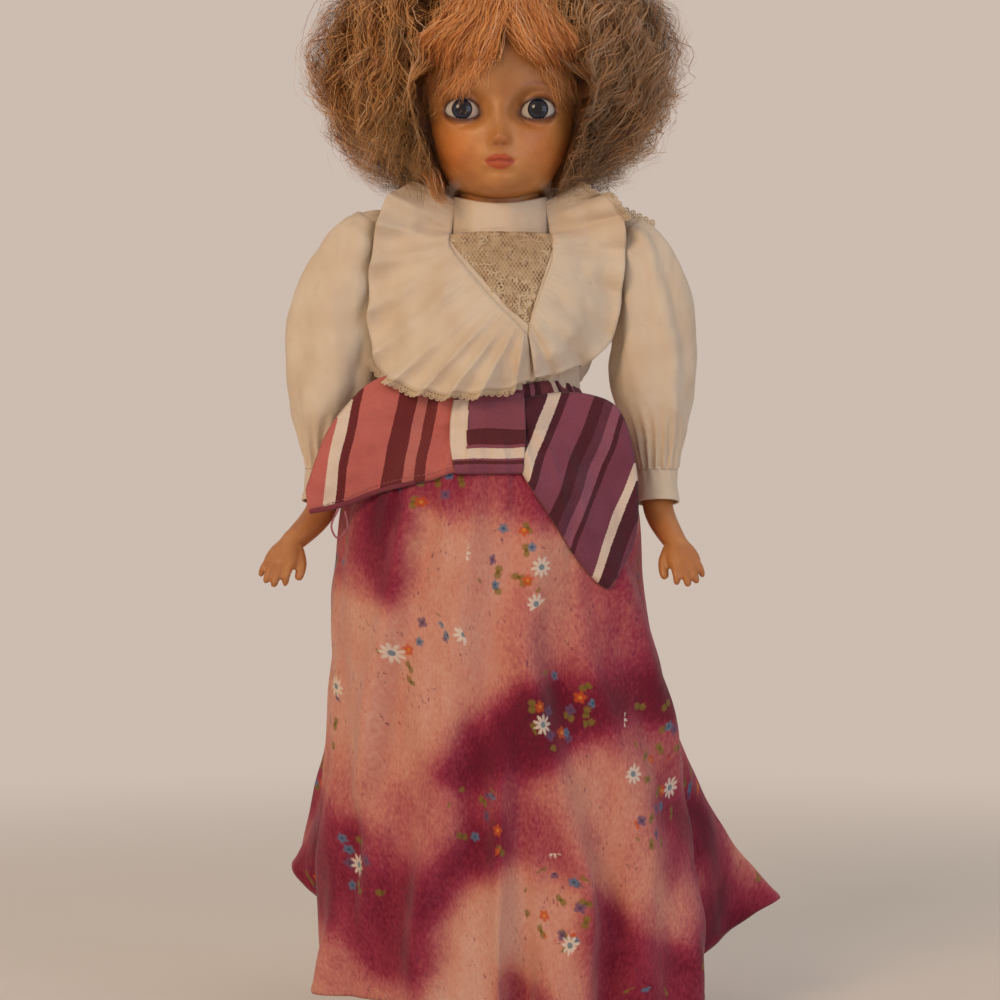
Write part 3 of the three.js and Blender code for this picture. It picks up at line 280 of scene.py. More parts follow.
def cloth(grid: Array, thick: float, closed: bool = False, flat: Array | None = None) -> Shape:
    """A closed layer of cloth: the grid is its face side, and its back lies one thickness behind.

    Args:
        grid: Points as rows x columns x 3.
        thick: The cloth's thickness.
        closed: Whether the columns join up into a tube.
        flat: Flat cloth coordinates, rows x columns x 2; made from the grid's own lengths if left out.

    Returns:
        The cloth as one closed shape.
    """
    rows, columns = grid.shape[:2]
    flat = flat_lengths(grid) if flat is None else flat
    back = grid - normals(grid, closed) * thick
    count = rows * columns
    front_faces = grid_faces(rows, columns, closed)
    back_faces = grid_faces(rows, columns, closed, count)[:, ::-1]
    if closed:
        top = [(a, (a + 1) % columns) for a in range(columns)]
        base = count - columns
        edges = [(b, a) for a, b in top] + [(a + base, b + base) for a, b in top]
    else:
        loop = rim(rows, columns)
        edges = list(zip(loop[1:] + loop[:1], loop))
    sides = [[a, b, b + count, a + count] for a, b in edges]
    faces = front_faces.tolist() + back_faces.tolist() + sides
    points = np.vstack([grid.reshape(-1, 3), back.reshape(-1, 3)])
    return Shape(points, faces, np.vstack([flat.reshape(-1, 2)] * 2))


def flat_lengths(grid: Array) -> Array:
    """Flat coordinates of a grid, from the mean lengths along its rows and columns, in metres."""
    across = np.linalg.norm(np.diff(grid, axis=1), axis=2).mean(0)
    down = np.linalg.norm(np.diff(grid, axis=0), axis=2).mean(1)
    u = np.concatenate([[0], np.cumsum(across)])
    v = np.concatenate([[0], np.cumsum(down)])
    return np.stack(np.meshgrid(u, v), -1) * MM


def tube(keys: Sequence, rows: int, columns: int, across: Sequence = (1, 0, 0)) -> Array:
    """Rings round a smooth centre line.

    Args:
        keys: Rows of [x, y, z, half width, half depth].
        rows: How many rings.
        columns: How many points each ring has.
        across: Roughly the way that the width runs.

    Returns:
        Points as rows x columns x 3.
    """
    run = spline(keys, rows)
    centre, size = run[:, :3], np.maximum(run[:, 3:5], 0.05)
    way = unit(np.gradient(centre, axis=0))
    across = np.asarray(across, float)
    wide = unit(across - way * (way @ across)[:, None])
    deep = np.cross(way, wide)
    angle = turns(columns)
    return (
        centre[:, None]
        + wide[:, None] * (size[:, :1] * np.cos(angle))[..., None]
        + deep[:, None] * (size[:, 1:] * np.sin(angle))[..., None]
    )


def capped(grid: Array) -> Shape:
    """A closed skin over a tube's rings, with its ends filled."""
    rows, columns = grid.shape[:2]
    points = np.vstack([grid.reshape(-1, 3), grid[0].mean(0), grid[-1].mean(0)])
    faces = grid_faces(rows, columns, True).tolist()
    first, last, base = rows * columns, rows * columns + 1, (rows - 1) * columns
    for j in range(columns):
        k = (j + 1) % columns
        faces.append([first, k, j])
        faces.append([last, base + j, base + k])
    return Shape(points, faces)


def strand(path: Array, radius: float | Array, sides: int = 6) -> Shape:
    """A round thread along a path, closed at both ends."""
    size = np.broadcast_to(radius, len(path))
    way = unit(np.gradient(path, axis=0))
    hint = np.where(np.abs(way[:, 2:]) > 0.9, [[1.0, 0, 0]], [[0, 0, 1.0]])
    wide = unit(np.cross(way, hint))
    deep = np.cross(way, wide)
    angle = turns(sides)[:, None]
    around = wide[:, None] * np.cos(angle) + deep[:, None] * np.sin(angle)
    # Measures the face of a sewn, turned piece of the sash; the measures are not used.
    return capped(path[:, None] + around * size[:, None, None])


def make(name: str, shape: Shape, material: Material, tint: Array | None = None,
         closed: bool = True) -> Object:
    """A named object from a shape.

    Args:
        name: The piece's name.
        shape: Its points, faces and flat coordinates.
        material: Its finish.
        tint: A colour for each point, kept as the attribute "tint".
        closed: Whether the shape is closed, so that its faces can be turned outwards.

    Returns:
        The new object, linked to the scene.
    """
    mesh = bpy.data.meshes.new(name)
    mesh.from_pydata(to_frame(shape.points).tolist(), [], shape.faces)
    if shape.flat is not None:
        loops = np.empty(len(mesh.loops), int)
        mesh.loops.foreach_get("vertex_index", loops)
        mesh.uv_layers.new(name="flat").data.foreach_set("uv", shape.flat[loops].ravel())
    if tint is not None:
        rgba = np.ones((len(shape.points), 4))
        rgba[:, : tint.shape[1]] = tint
        mesh.color_attributes.new("tint", "FLOAT_COLOR", "POINT").data.foreach_set("color", rgba.ravel())
    if closed:
        work = bmesh.new()
        work.from_mesh(mesh)
        bmesh.ops.recalc_face_normals(work, faces=work.faces)
        work.to_mesh(mesh)
        work.free()
    mesh.polygons.foreach_set("use_smooth", np.ones(len(mesh.polygons), bool))
    mesh.materials.append(material)
    piece = bpy.data.objects.new(name, mesh)
    bpy.context.scene.collection.objects.link(piece)
    return piece


def apply_modifiers(piece: Object) -> None:
    """Turns what the piece's modifiers show into its mesh."""
    shown = piece.evaluated_get(bpy.context.evaluated_depsgraph_get())
    mesh = bpy.data.meshes.new_from_object(shown)
    old = piece.data
    piece.modifiers.clear()
    piece.data = mesh
    bpy.data.meshes.remove(old)


def melt(piece: Object, voxel: float) -> None:
    """Fuses the piece's overlapping parts into one smooth skin."""
    fused = piece.modifiers.new("fuse", "REMESH")
    fused.mode, fused.voxel_size, fused.use_smooth_shade = "VOXEL", voxel * MM, True
    soft = piece.modifiers.new("soften", "SMOOTH")
    soft.factor, soft.iterations = 0.5, 3
    apply_modifiers(piece)


def dress(piece: Object, body: str, slot: str, *nodes: str) -> Object:
    """Makes a piece ride on a body, in place of the plain nodes it stands for."""
    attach(piece, body)
    if nodes:
        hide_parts(*nodes)
    return piece


def blend_to_lap(piece: Object) -> None:
    """Bakes the piece's placement into its mesh."""
    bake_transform(piece)


def seal(both: Shape, rows: int, columns: int) -> Shape:
    """Closes two joined grids of one size along their edges.

    Args:
        both: The front grid's points and faces, followed by the back's.
        rows: The rows of each grid.
        columns: The columns of each grid.

    Returns:
        The same shape, closed.
    """
    count, loop = rows * columns, rim(rows, columns)
    half = len(both.faces) // 2
    both.faces[half:] = [face[::-1] for face in both.faces[half:]]
    both.faces += [[b, a, a + count, b + count] for a, b in zip(loop, loop[1:] + loop[:1])]
    return both


# Finishes

def linear(code: str) -> tuple[float, float, float, float]:
    """A six-digit colour code as linear red, green, blue and a full alpha."""
    parts = [int(code[i : i + 2], 16) / 255 for i in (0, 2, 4)]
    red, green, blue = [c / 12.92 if c <= 0.04045 else ((c + 0.055) / 1.055) ** 2.4 for c in parts]
    return red, green, blue, 1.0


def rgb(code: str) -> Array:
    """A six-digit colour code as linear red, green and blue."""
    return np.array(linear(code)[:3])


class Paint:
    """One material's nodes, with short ways to add them."""

    def __init__(self, name: str, roughness: float, **sockets: float | tuple) -> None:
        """Starts a material with its plain values set on the shader's own sockets."""
        self.material = bpy.data.materials.new(name)
        self.material.use_nodes = True
        self.tree = self.material.node_tree
        self.shader = self.tree.nodes["Principled BSDF"]
        self.shader.inputs["Roughness"].default_value = roughness
        for key, value in sockets.items():
            self.shader.inputs[key.replace("_", " ")].default_value = value

    def put(self, node: bpy.types.Node, key: str | int, value: object) -> None:
        """Sets or links one input of a node."""
        if isinstance(value, Socket):
            self.tree.links.new(value, node.inputs[key])
        elif value is not None:
            node.inputs[key].default_value = value

    def add(self, kind: str, inputs: dict | None = None, **settings: object) -> bpy.types.Node:
        """Adds a node, with its settings and inputs."""
        node = self.tree.nodes.new("ShaderNode" + kind)
        for key, value in settings.items():
            setattr(node, key, value)
        for key, value in (inputs or {}).items():
            self.put(node, key, value)
        return node

    def place(self, kind: str = "Object") -> Socket:
        """The surface's own coordinates in metres: Object, or UV for flat cloth."""
        return self.add("TexCoord").outputs[kind]

    def tint(self) -> Socket:
        """The colour kept on the mesh's points."""
        return self.add("VertexColor", layer_name="tint").outputs["Color"]

    def grain(self, scale: float, detail: float = 3, where: Socket | None = None, **more: float) -> Socket:
        """Noise from 0 to 1, of a scale per metre."""
        inputs = {"Vector": where or self.place(), "Scale": scale, "Detail": detail}
        inputs.update({key.replace("_", " "): value for key, value in more.items()})
        return self.add("TexNoise", inputs).outputs["Fac"]

    def sum(self, kind: str, a: object, b: object = 0.0, c: object = 0.0, clamp: bool = False) -> Socket:
        """One step of arithmetic, named as Blender's Math node names it."""
        return self.add("Math", {0: a, 1: b, 2: c}, operation=kind, use_clamp=clamp).outputs[0]

    def ramp(self, share: Socket, stops: Sequence[tuple[float, str]], hard: bool = False) -> Socket:
        """Colours along a share from 0 to 1."""
        node = self.add("ValToRGB", {0: share})
        node.color_ramp.interpolation = "CONSTANT" if hard else "LINEAR"
        band = node.color_ramp.elements
        band[0].position, band[0].color = stops[0][0], linear(stops[0][1])
        band[1].position, band[1].color = stops[-1][0], linear(stops[-1][1])
        for at, code in stops[1:-1]:
            band.new(at).color = linear(code)
        return node.outputs[0]

    def between(self, share: Socket, low: float, high: float, to_low: float = 0.0,
                to_high: float = 1.0) -> Socket:
        """A value moved from one range to another, softly, and kept inside it."""
        inputs = {0: share, 1: low, 2: high, 3: to_low, 4: to_high}
        return self.add("MapRange", inputs, interpolation_type="SMOOTHSTEP").outputs[0]

    def mix(self, share: object, a: object, b: object, how: str = "MIX") -> Socket:
        """Two colours mixed."""
        a = linear(a) if isinstance(a, str) else a
        b = linear(b) if isinstance(b, str) else b
        return self.add("Mix", {0: share, 6: a, 7: b}, data_type="RGBA", blend_type=how).outputs[2]

    def weave(self, pitch: float, where: Socket | None = None) -> Socket:
        """The height of crossing threads, from 0 to 1, with their spacing in metres."""
        parts = self.add("SeparateXYZ", {0: where or self.place("UV")})
        waves = []
        for axis in (0, 1):
            turn = self.sum("MULTIPLY", parts.outputs[axis], 2 * math.pi / pitch)
            waves.append(self.sum("MULTIPLY_ADD", self.sum("SINE", turn), 0.5, 0.5))
        return self.sum("MAXIMUM", *waves)

    def bump(self, height: Socket, distance: float, strength: float = 1.0,
             over: Socket | None = None) -> Socket:
        """A normal from a height, with its depth in metres, over another bump if one is given."""
        inputs = {"Height": height, "Distance": distance, "Strength": strength, "Normal": over}
        return self.add("Bump", inputs).outputs[0]

    def finish(self, colour: object = None, normal: Socket | None = None,
               roughness: Socket | None = None) -> Material:
        """Links the shader and returns the material."""
        colour = linear(colour) if isinstance(colour, str) else colour
        for key, value in (("Base Color", colour), ("Normal", normal), ("Roughness", roughness)):
            self.put(self.shader, key, value)
        return self.material


@dataclass(frozen=True)
class Vinyl:
    """Soft flesh-coloured vinyl, slightly waxy, with fine pores and handling marks."""

    colour: str = "c08048"
    painted: bool = False

    def material(self) -> Material:
        """Makes the finish; a painted one takes its colours from the mesh's tint."""
        paint = Paint("vinyl_face" if self.painted else "vinyl", 0.46, Subsurface_Weight=0.12,
                      Subsurface_Scale=0.002, Subsurface_Radius=(1.0, 0.45, 0.2), Coat_Weight=0.12,
                      Coat_Roughness=0.35)
        base = paint.tint() if self.painted else linear(self.colour)
        patches = paint.between(paint.grain(95, 3), 0.3, 0.7)
        colour = paint.mix(paint.sum("MULTIPLY", patches, 0.3), base, "a85f30", "MULTIPLY")
        sheen = paint.sum("MULTIPLY", paint.grain(700, 2), 0.08)
        colour = paint.mix(sheen, colour, "e8b98a", "SOFT_LIGHT")
        pores = paint.bump(paint.grain(1500, 2), 0.00012, 0.35)
        normal = paint.bump(paint.grain(160, 2), 0.0004, 0.3, pores)
        rough = paint.between(paint.grain(240, 4), 0.25, 0.75, 0.38, 0.56)
        return paint.finish(colour, normal, rough)


@dataclass(frozen=True)
class EyeGlass:
    """A glossy inset eye: white, with a ringed blue-grey iris round a black pupil.

    Its top is darkened by a painted shadow of the upper lid.
    """

    centre: tuple[float, float]
    iris: float = 4.1

    def material(self, name: str) -> Material:
        """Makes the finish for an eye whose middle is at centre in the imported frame, in metres."""
        paint = Paint(name, 0.08, Coat_Weight=0.4, Coat_Roughness=0.03, Specular_IOR_Level=0.3)
        parts = paint.add("SeparateXYZ", {0: paint.place()})
        x = paint.sum("SUBTRACT", parts.outputs[0], self.centre[0])
        z = paint.sum("SUBTRACT", parts.outputs[2], self.centre[1])
        square = paint.sum("ADD", paint.sum("MULTIPLY", x, x), paint.sum("MULTIPLY", z, z))
        far = paint.sum("SQRT", square)
        share = paint.sum("DIVIDE", far, 0.01)
        spokes = paint.sum("MULTIPLY", paint.sum("ARCTAN2", z, x), 9.0)
        inputs = {"W": spokes, "Scale": 2.2, "Detail": 3}
        fibres = paint.add("TexNoise", inputs, noise_dimensions="1D").outputs[0]
        edge = self.iris / 10
        stops = [
            (0.0, "08080c"), (edge * 0.55, "0a0b11"), (edge * 0.62, "1a2130"), (edge * 0.8, "2c354b"),
            (edge * 0.93, "141826"), (edge * 1.0, "12141d"), (edge * 1.07, "c4bcb0"), (1.0, "d8d0c4"),
        ]
        rings = paint.ramp(share, stops)
        inside = paint.between(share, edge * 0.98, edge * 0.86)
        colour = paint.mix(paint.sum("MULTIPLY", inside, fibres), rings, "3c4663", "SOFT_LIGHT")
        # Painted shade: the top of the eye is darkened as if under the upper lid's shadow.
        shade = paint.between(z, 0.0052, 0.002, 0.45, 0.0)
        return paint.finish(paint.mix(shade, colour, "5a4a48", "MULTIPLY"))


@dataclass(frozen=True)
class Hair:
    """Fine synthetic hair with a satin gleam; each strand carries its own colour."""

    rough: float = 0.5

    def material(self) -> Material:
        """Makes the finish."""
        paint = Paint("hair", self.rough, Sheen_Weight=0.06, Sheen_Roughness=0.4, Specular_IOR_Level=0.4)
        streaks = paint.between(paint.grain(420, 3), 0.25, 0.75)
        colour = paint.mix(paint.sum("MULTIPLY", streaks, 0.22), paint.tint(), "8a5a30", "MULTIPLY")
        return paint.finish(colour, paint.bump(paint.grain(2600, 2), 0.0002, 0.4))


@dataclass(frozen=True)
class Weave:
    """A plain woven cloth."""

    name: str
    colour: str
    shade: str
    pitch: float = 0.00045
    sheen: float = 0.2
    worn: float = 0.35
    slub: float = 0.5
    cloud: float = 55

    def material(self) -> Material:
        """Makes the finish: threads, slubs, faint stains and small creases."""
        paint = Paint(
            self.name, 0.88, Sheen_Weight=self.sheen, Sheen_Roughness=0.5, Specular_IOR_Level=0.2)
        threads = paint.weave(self.pitch)
        slubs = paint.grain(900, 3, paint.place("UV"))
        stains = paint.between(paint.grain(self.cloud, 4), 0.35, 0.72)
        colour = paint.mix(paint.sum("MULTIPLY", stains, self.worn), self.colour, self.shade)
        colour = paint.mix(paint.sum("MULTIPLY", slubs, self.slub), colour, self.shade, "SOFT_LIGHT")
        fine = paint.bump(threads, 0.00012, 0.5)
        fine = paint.bump(slubs, 0.0002, 0.45, fine)
        normal = paint.bump(paint.grain(210, 4), 0.0009, 0.35, fine)
        return paint.finish(colour, normal, paint.between(slubs, 0.2, 0.8, 0.8, 0.95))


@dataclass(frozen=True)
class Stripes:
    """Woven cotton striped across its flat width; each stripe is a width in millimetres and a colour."""

    name: str
    start: float
    bands: tuple[tuple[float, str], ...]

    def material(self) -> Material:
        """Makes the finish, with the stripes laid along U from start."""
        total = sum(width for width, _ in self.bands)
        paint = Paint(self.name, 0.86, Sheen_Weight=0.15, Sheen_Roughness=0.5, Specular_IOR_Level=0.2)
        flat = paint.place("UV")
        parts = paint.add("SeparateXYZ", {0: flat})
        sway = paint.sum("MULTIPLY_ADD", paint.grain(38, 1, flat), 0.0034, -0.0017 - self.start * MM)
        grain = paint.grain(1300, 1, flat)
        jitter = paint.sum("MULTIPLY_ADD", grain, 0.0005, paint.sum("SUBTRACT", sway, 0.00025))
        share = paint.sum("DIVIDE", paint.sum("ADD", parts.outputs[0], jitter), total * MM)
        share = paint.sum("FRACT", share)
        stops, at = [], 0.0
        for width, code in self.bands:
            stops.append((at / total, code))
            at += width
        colour = paint.ramp(share, stops + [(1.0, self.bands[-1][1])], hard=True)
        threads = paint.weave(0.0005)
        flecks = paint.grain(1500, 2, flat)
        colour = paint.mix(paint.sum("MULTIPLY", flecks, 0.55), colour, "54242c", "SOFT_LIGHT")
        worn = paint.sum("MULTIPLY", paint.between(paint.grain(70, 3), 0.4, 0.7), 0.22)
        colour = paint.mix(worn, colour, "c9a0a0", "MULTIPLY")
        fine = paint.bump(threads, 0.00014, 0.6)
        normal = paint.bump(paint.grain(230, 4), 0.0009, 0.35, fine)
        return paint.finish(colour, normal, paint.between(flecks, 0.2, 0.8, 0.78, 0.94))


@dataclass(frozen=True)
class Bloom:
    """One kind of printed flower, scattered over the cloth."""

    cell: float
    radius: float
    petals: float
    colour: str
    heart: str
    share: float
    seed: float
    notch: float = 0.45
    spread: float = 0.3


@dataclass(frozen=True)
class PrintedCotton:
    """Cotton shaded from pale pink to burgundy, with fine scratchy marks and scattered small flowers."""

    blooms: tuple[Bloom, ...] = (
        Bloom(0.0092, 0.0031, 2, "8f7d35", "74682a", 0.52, 3.1, 0.75, 0.33),
        Bloom(0.0105, 0.0028, 4, "75597c", "5a4a66", 0.42, 7.7, 0.35, 0.27),
        Bloom(0.0112, 0.0029, 5, "d35f26", "e39a3c", 0.5, 1.3, 0.3, 0.27),
        Bloom(0.0125, 0.0024, 5, "5f86a3", "3f5f78", 0.42, 5.2, 0.3, 0.3),
        Bloom(0.033, 0.0047, 9, "ece3d3", "5f8797", 0.62, 2.4, 0.5, 0.42),
    )
    bunches: float = 0.05

    def flower(self, paint: Paint, flat: Socket, colour: Socket, bloom: Bloom) -> Socket:
        """Adds one kind of flower over a colour.

        Args:
            paint: The material's nodes.
            flat: The cloth's flat coordinates.
            colour: What the flower is printed on.
            bloom: The flower.

        Returns:
            The colour with the flowers on it.
        """
        shift = (bloom.seed, bloom.seed * 0.7, 0)
        moved = paint.add("VectorMath", {0: flat, 1: shift}, operation="ADD").outputs[0]
        inputs = {"Vector": moved, "Scale": 1 / bloom.cell, "Randomness": 0.8}
        cells = paint.add("TexVoronoi", inputs, voronoi_dimensions="2D")
        inputs = {0: moved, 1: cells.outputs["Position"]}
        way = paint.add("VectorMath", inputs, operation="SUBTRACT").outputs[0]
        parts = paint.add("SeparateXYZ", {0: way})
        far = paint.add("VectorMath", {0: way}, operation="LENGTH").outputs["Value"]
        chance = paint.add("SeparateColor", {0: cells.outputs["Color"]})
        turn = paint.sum("ARCTAN2", parts.outputs[1], parts.outputs[0])
        turn = paint.sum("MULTIPLY_ADD", chance.outputs[1], 6.0, turn)
        lobe = paint.sum("ABSOLUTE", paint.sum("COSINE", paint.sum("MULTIPLY", turn, bloom.petals / 2)))
        radius = bloom.radius
        reach = paint.sum("MULTIPLY_ADD", lobe, radius * bloom.notch, radius * (1 - bloom.notch))
        ragged = paint.sum("MULTIPLY", paint.grain(1400, 2, flat), radius * 0.5)
        edge = paint.sum("ADD", far, paint.sum("SUBTRACT", ragged, radius * 0.2))
        inside = paint.sum("SUBTRACT", reach, edge)
        inputs = {"Vector": flat, "Scale": 1 / self.bunches, "Randomness": 0.95}
        bunch = paint.add("TexVoronoi", inputs, voronoi_dimensions="2D")
        gate = paint.add("SeparateColor", {0: bunch.outputs["Color"]}).outputs[0]
        near = paint.sum("LESS_THAN", bunch.outputs["Distance"], bloom.spread)
        here = paint.sum("LESS_THAN", chance.outputs[0], bloom.share)
        here = paint.sum("MULTIPLY", paint.sum("MULTIPLY", here, near), paint.sum("LESS_THAN", gate, 0.8))
        petals = paint.sum("MULTIPLY", paint.between(inside, -0.0003, 0.0009), here)
        heart = paint.sum("MULTIPLY", paint.between(far, radius * 0.3, radius * 0.2), here)
        colour = paint.mix(paint.sum("MULTIPLY", petals, 0.8), colour, bloom.colour)
        return paint.mix(paint.sum("MULTIPLY", heart, 0.8), colour, bloom.heart)

    def brushed(self, paint: Paint, flat: Socket, long: float, turn: float) -> Socket:
        """The flat coordinates drawn out along one way, for marks left by a brush."""
        inputs = {"Vector": flat, "Scale": (1.0, long, 1.0), "Rotation": (0, 0, turn)}
        return paint.add("Mapping", inputs).outputs[0]

    def material(self) -> Material:
        """Makes the finish; the broad shading is kept on the mesh's points."""
        paint = Paint("skirt_print", 0.87, Sheen_Weight=0.18, Sheen_Roughness=0.5, Specular_IOR_Level=0.2)
        flat = paint.place("UV")
        broad = paint.add("SeparateColor", {0: paint.tint()}).outputs[0]
        brushed = self.brushed(paint, flat, 0.55, 0.5)
        swept = self.brushed(paint, flat, 0.62, 0.95)
        soft = paint.sum("MULTIPLY_ADD", paint.grain(62, 7, swept, Roughness=0.72), 0.5, -0.25)
        hatch = paint.sum("MULTIPLY_ADD", paint.grain(820, 4, brushed), 0.36, -0.18)
        share = paint.sum("ADD", paint.sum("ADD", broad, soft), hatch, clamp=True)
        stops = [(0.0, "5b1329"), (0.2, "811b38"), (0.38, "a53c53"), (0.55, "c26f6e"), (0.72, "d89884"),
                 (1.0, "e4bea9")]
        colour = paint.ramp(share, stops)
        marks = self.brushed(paint, flat, 0.5, -0.7)
        scratch = paint.between(paint.grain(620, 3, marks), 0.6, 0.7)
        patch = paint.between(paint.grain(60, 2, flat), 0.45, 0.6)
        scratched = paint.sum("MULTIPLY", paint.sum("MULTIPLY", scratch, patch), 0.7)
        colour = paint.mix(scratched, colour, "7c3552")
        for bloom in self.blooms:
            colour = self.flower(paint, flat, colour, bloom)
        threads = paint.weave(0.00045)
        flecks = paint.grain(1700, 2, flat)
        colour = paint.mix(paint.sum("MULTIPLY", flecks, 0.5), colour, "6a3038", "SOFT_LIGHT")
        fine = paint.bump(threads, 0.00013, 0.55)
        normal = paint.bump(paint.grain(200, 4), 0.001, 0.35, fine)
        return paint.finish(colour, normal, paint.between(flecks, 0.2, 0.8, 0.8, 0.95))


@dataclass(frozen=True)
class Moulded:
    """A small hard piece: moulded nylon, pearl plastic or painted metal."""

    name: str
    colour: str
    rough: float = 0.35
    coat: float = 0.2

    def material(self) -> Material:
        """Makes the finish: cloudy, with moulding marks and small scratches."""
        paint = Paint(self.name, self.rough, Coat_Weight=self.coat, Coat_Roughness=0.2)
        cloud = paint.between(paint.grain(380, 3), 0.3, 0.7)
        colour = paint.mix(paint.sum("MULTIPLY", cloud, 0.3), self.colour, "b9a98e")
        rough = paint.between(paint.grain(1500, 3), 0.3, 0.7, self.rough - 0.08, self.rough + 0.15)
        return paint.finish(colour, paint.bump(paint.grain(900, 3), 0.0001, 0.4), rough)


def made(finish: Vinyl | Hair | Weave | Moulded | PrintedCotton) -> Material:
    """A field that starts as the finish's material."""
    return field(default_factory=finish.material)


@dataclass
class Finishes:
    """Every finish that the doll uses, made once."""

    vinyl: Material = made(Vinyl())
    face: Material = made(Vinyl(painted=True))
    hair: Material = made(Hair())
    voile: Material = made(Weave("blouse", "e5d6c1", "c9ad90"))
    lace: Material = made(Weave("lace", "e2cfb2", "b89c78", 0.0004, 0.3, 0.4))
    tulle: Material = made(Weave("tulle", "d8c2a2", "94714d", 0.0006, 0.2, 0.95, 0.7, 230))
    muslin: Material = made(Weave("muslin", "c9b38f", "a58c68", 0.0006, 0.15, 0.45))
    fibre: Material = made(Weave("filling", "e6e1d6", "cfc8b8", 0.0009, 0.5, 0.2))
    cord: Material = made(Weave("cord", "e2ddcf", "bdb5a2", 0.0006, 0.3, 0.3))
    thread: Material = made(Weave("thread", "b8747c", "8a4c58", 0.0004, 0.3, 0.3))
    nylon: Material = made(Moulded("nylon", "d8d3c6"))
    pearl: Material = made(Moulded("pearl", "ece5d8", 0.22, 0.6))
    skirt: Material = made(PrintedCotton())


# Head

# The head's share of its width, front depth and back depth, at each share of its height.
HEAD_SHAPE = np.array([
    [0.0, 0.41, 0.42, 0.36], [0.012, 0.5, 0.7, 0.44], [0.04, 0.65, 0.87, 0.53],
    [0.11, 0.83, 0.965, 0.69], [0.2, 0.935, 0.99, 0.83], [0.32, 0.985, 1.0, 0.93],
    [0.48, 1.0, 0.965, 1.0], [0.66, 1.0, 0.975, 1.0], [0.8, 0.91, 0.885, 0.9],
    [0.905, 0.71, 0.68, 0.69], [0.975, 0.39, 0.35, 0.36], [1.0, 0.06, 0.06, 0.06],
])


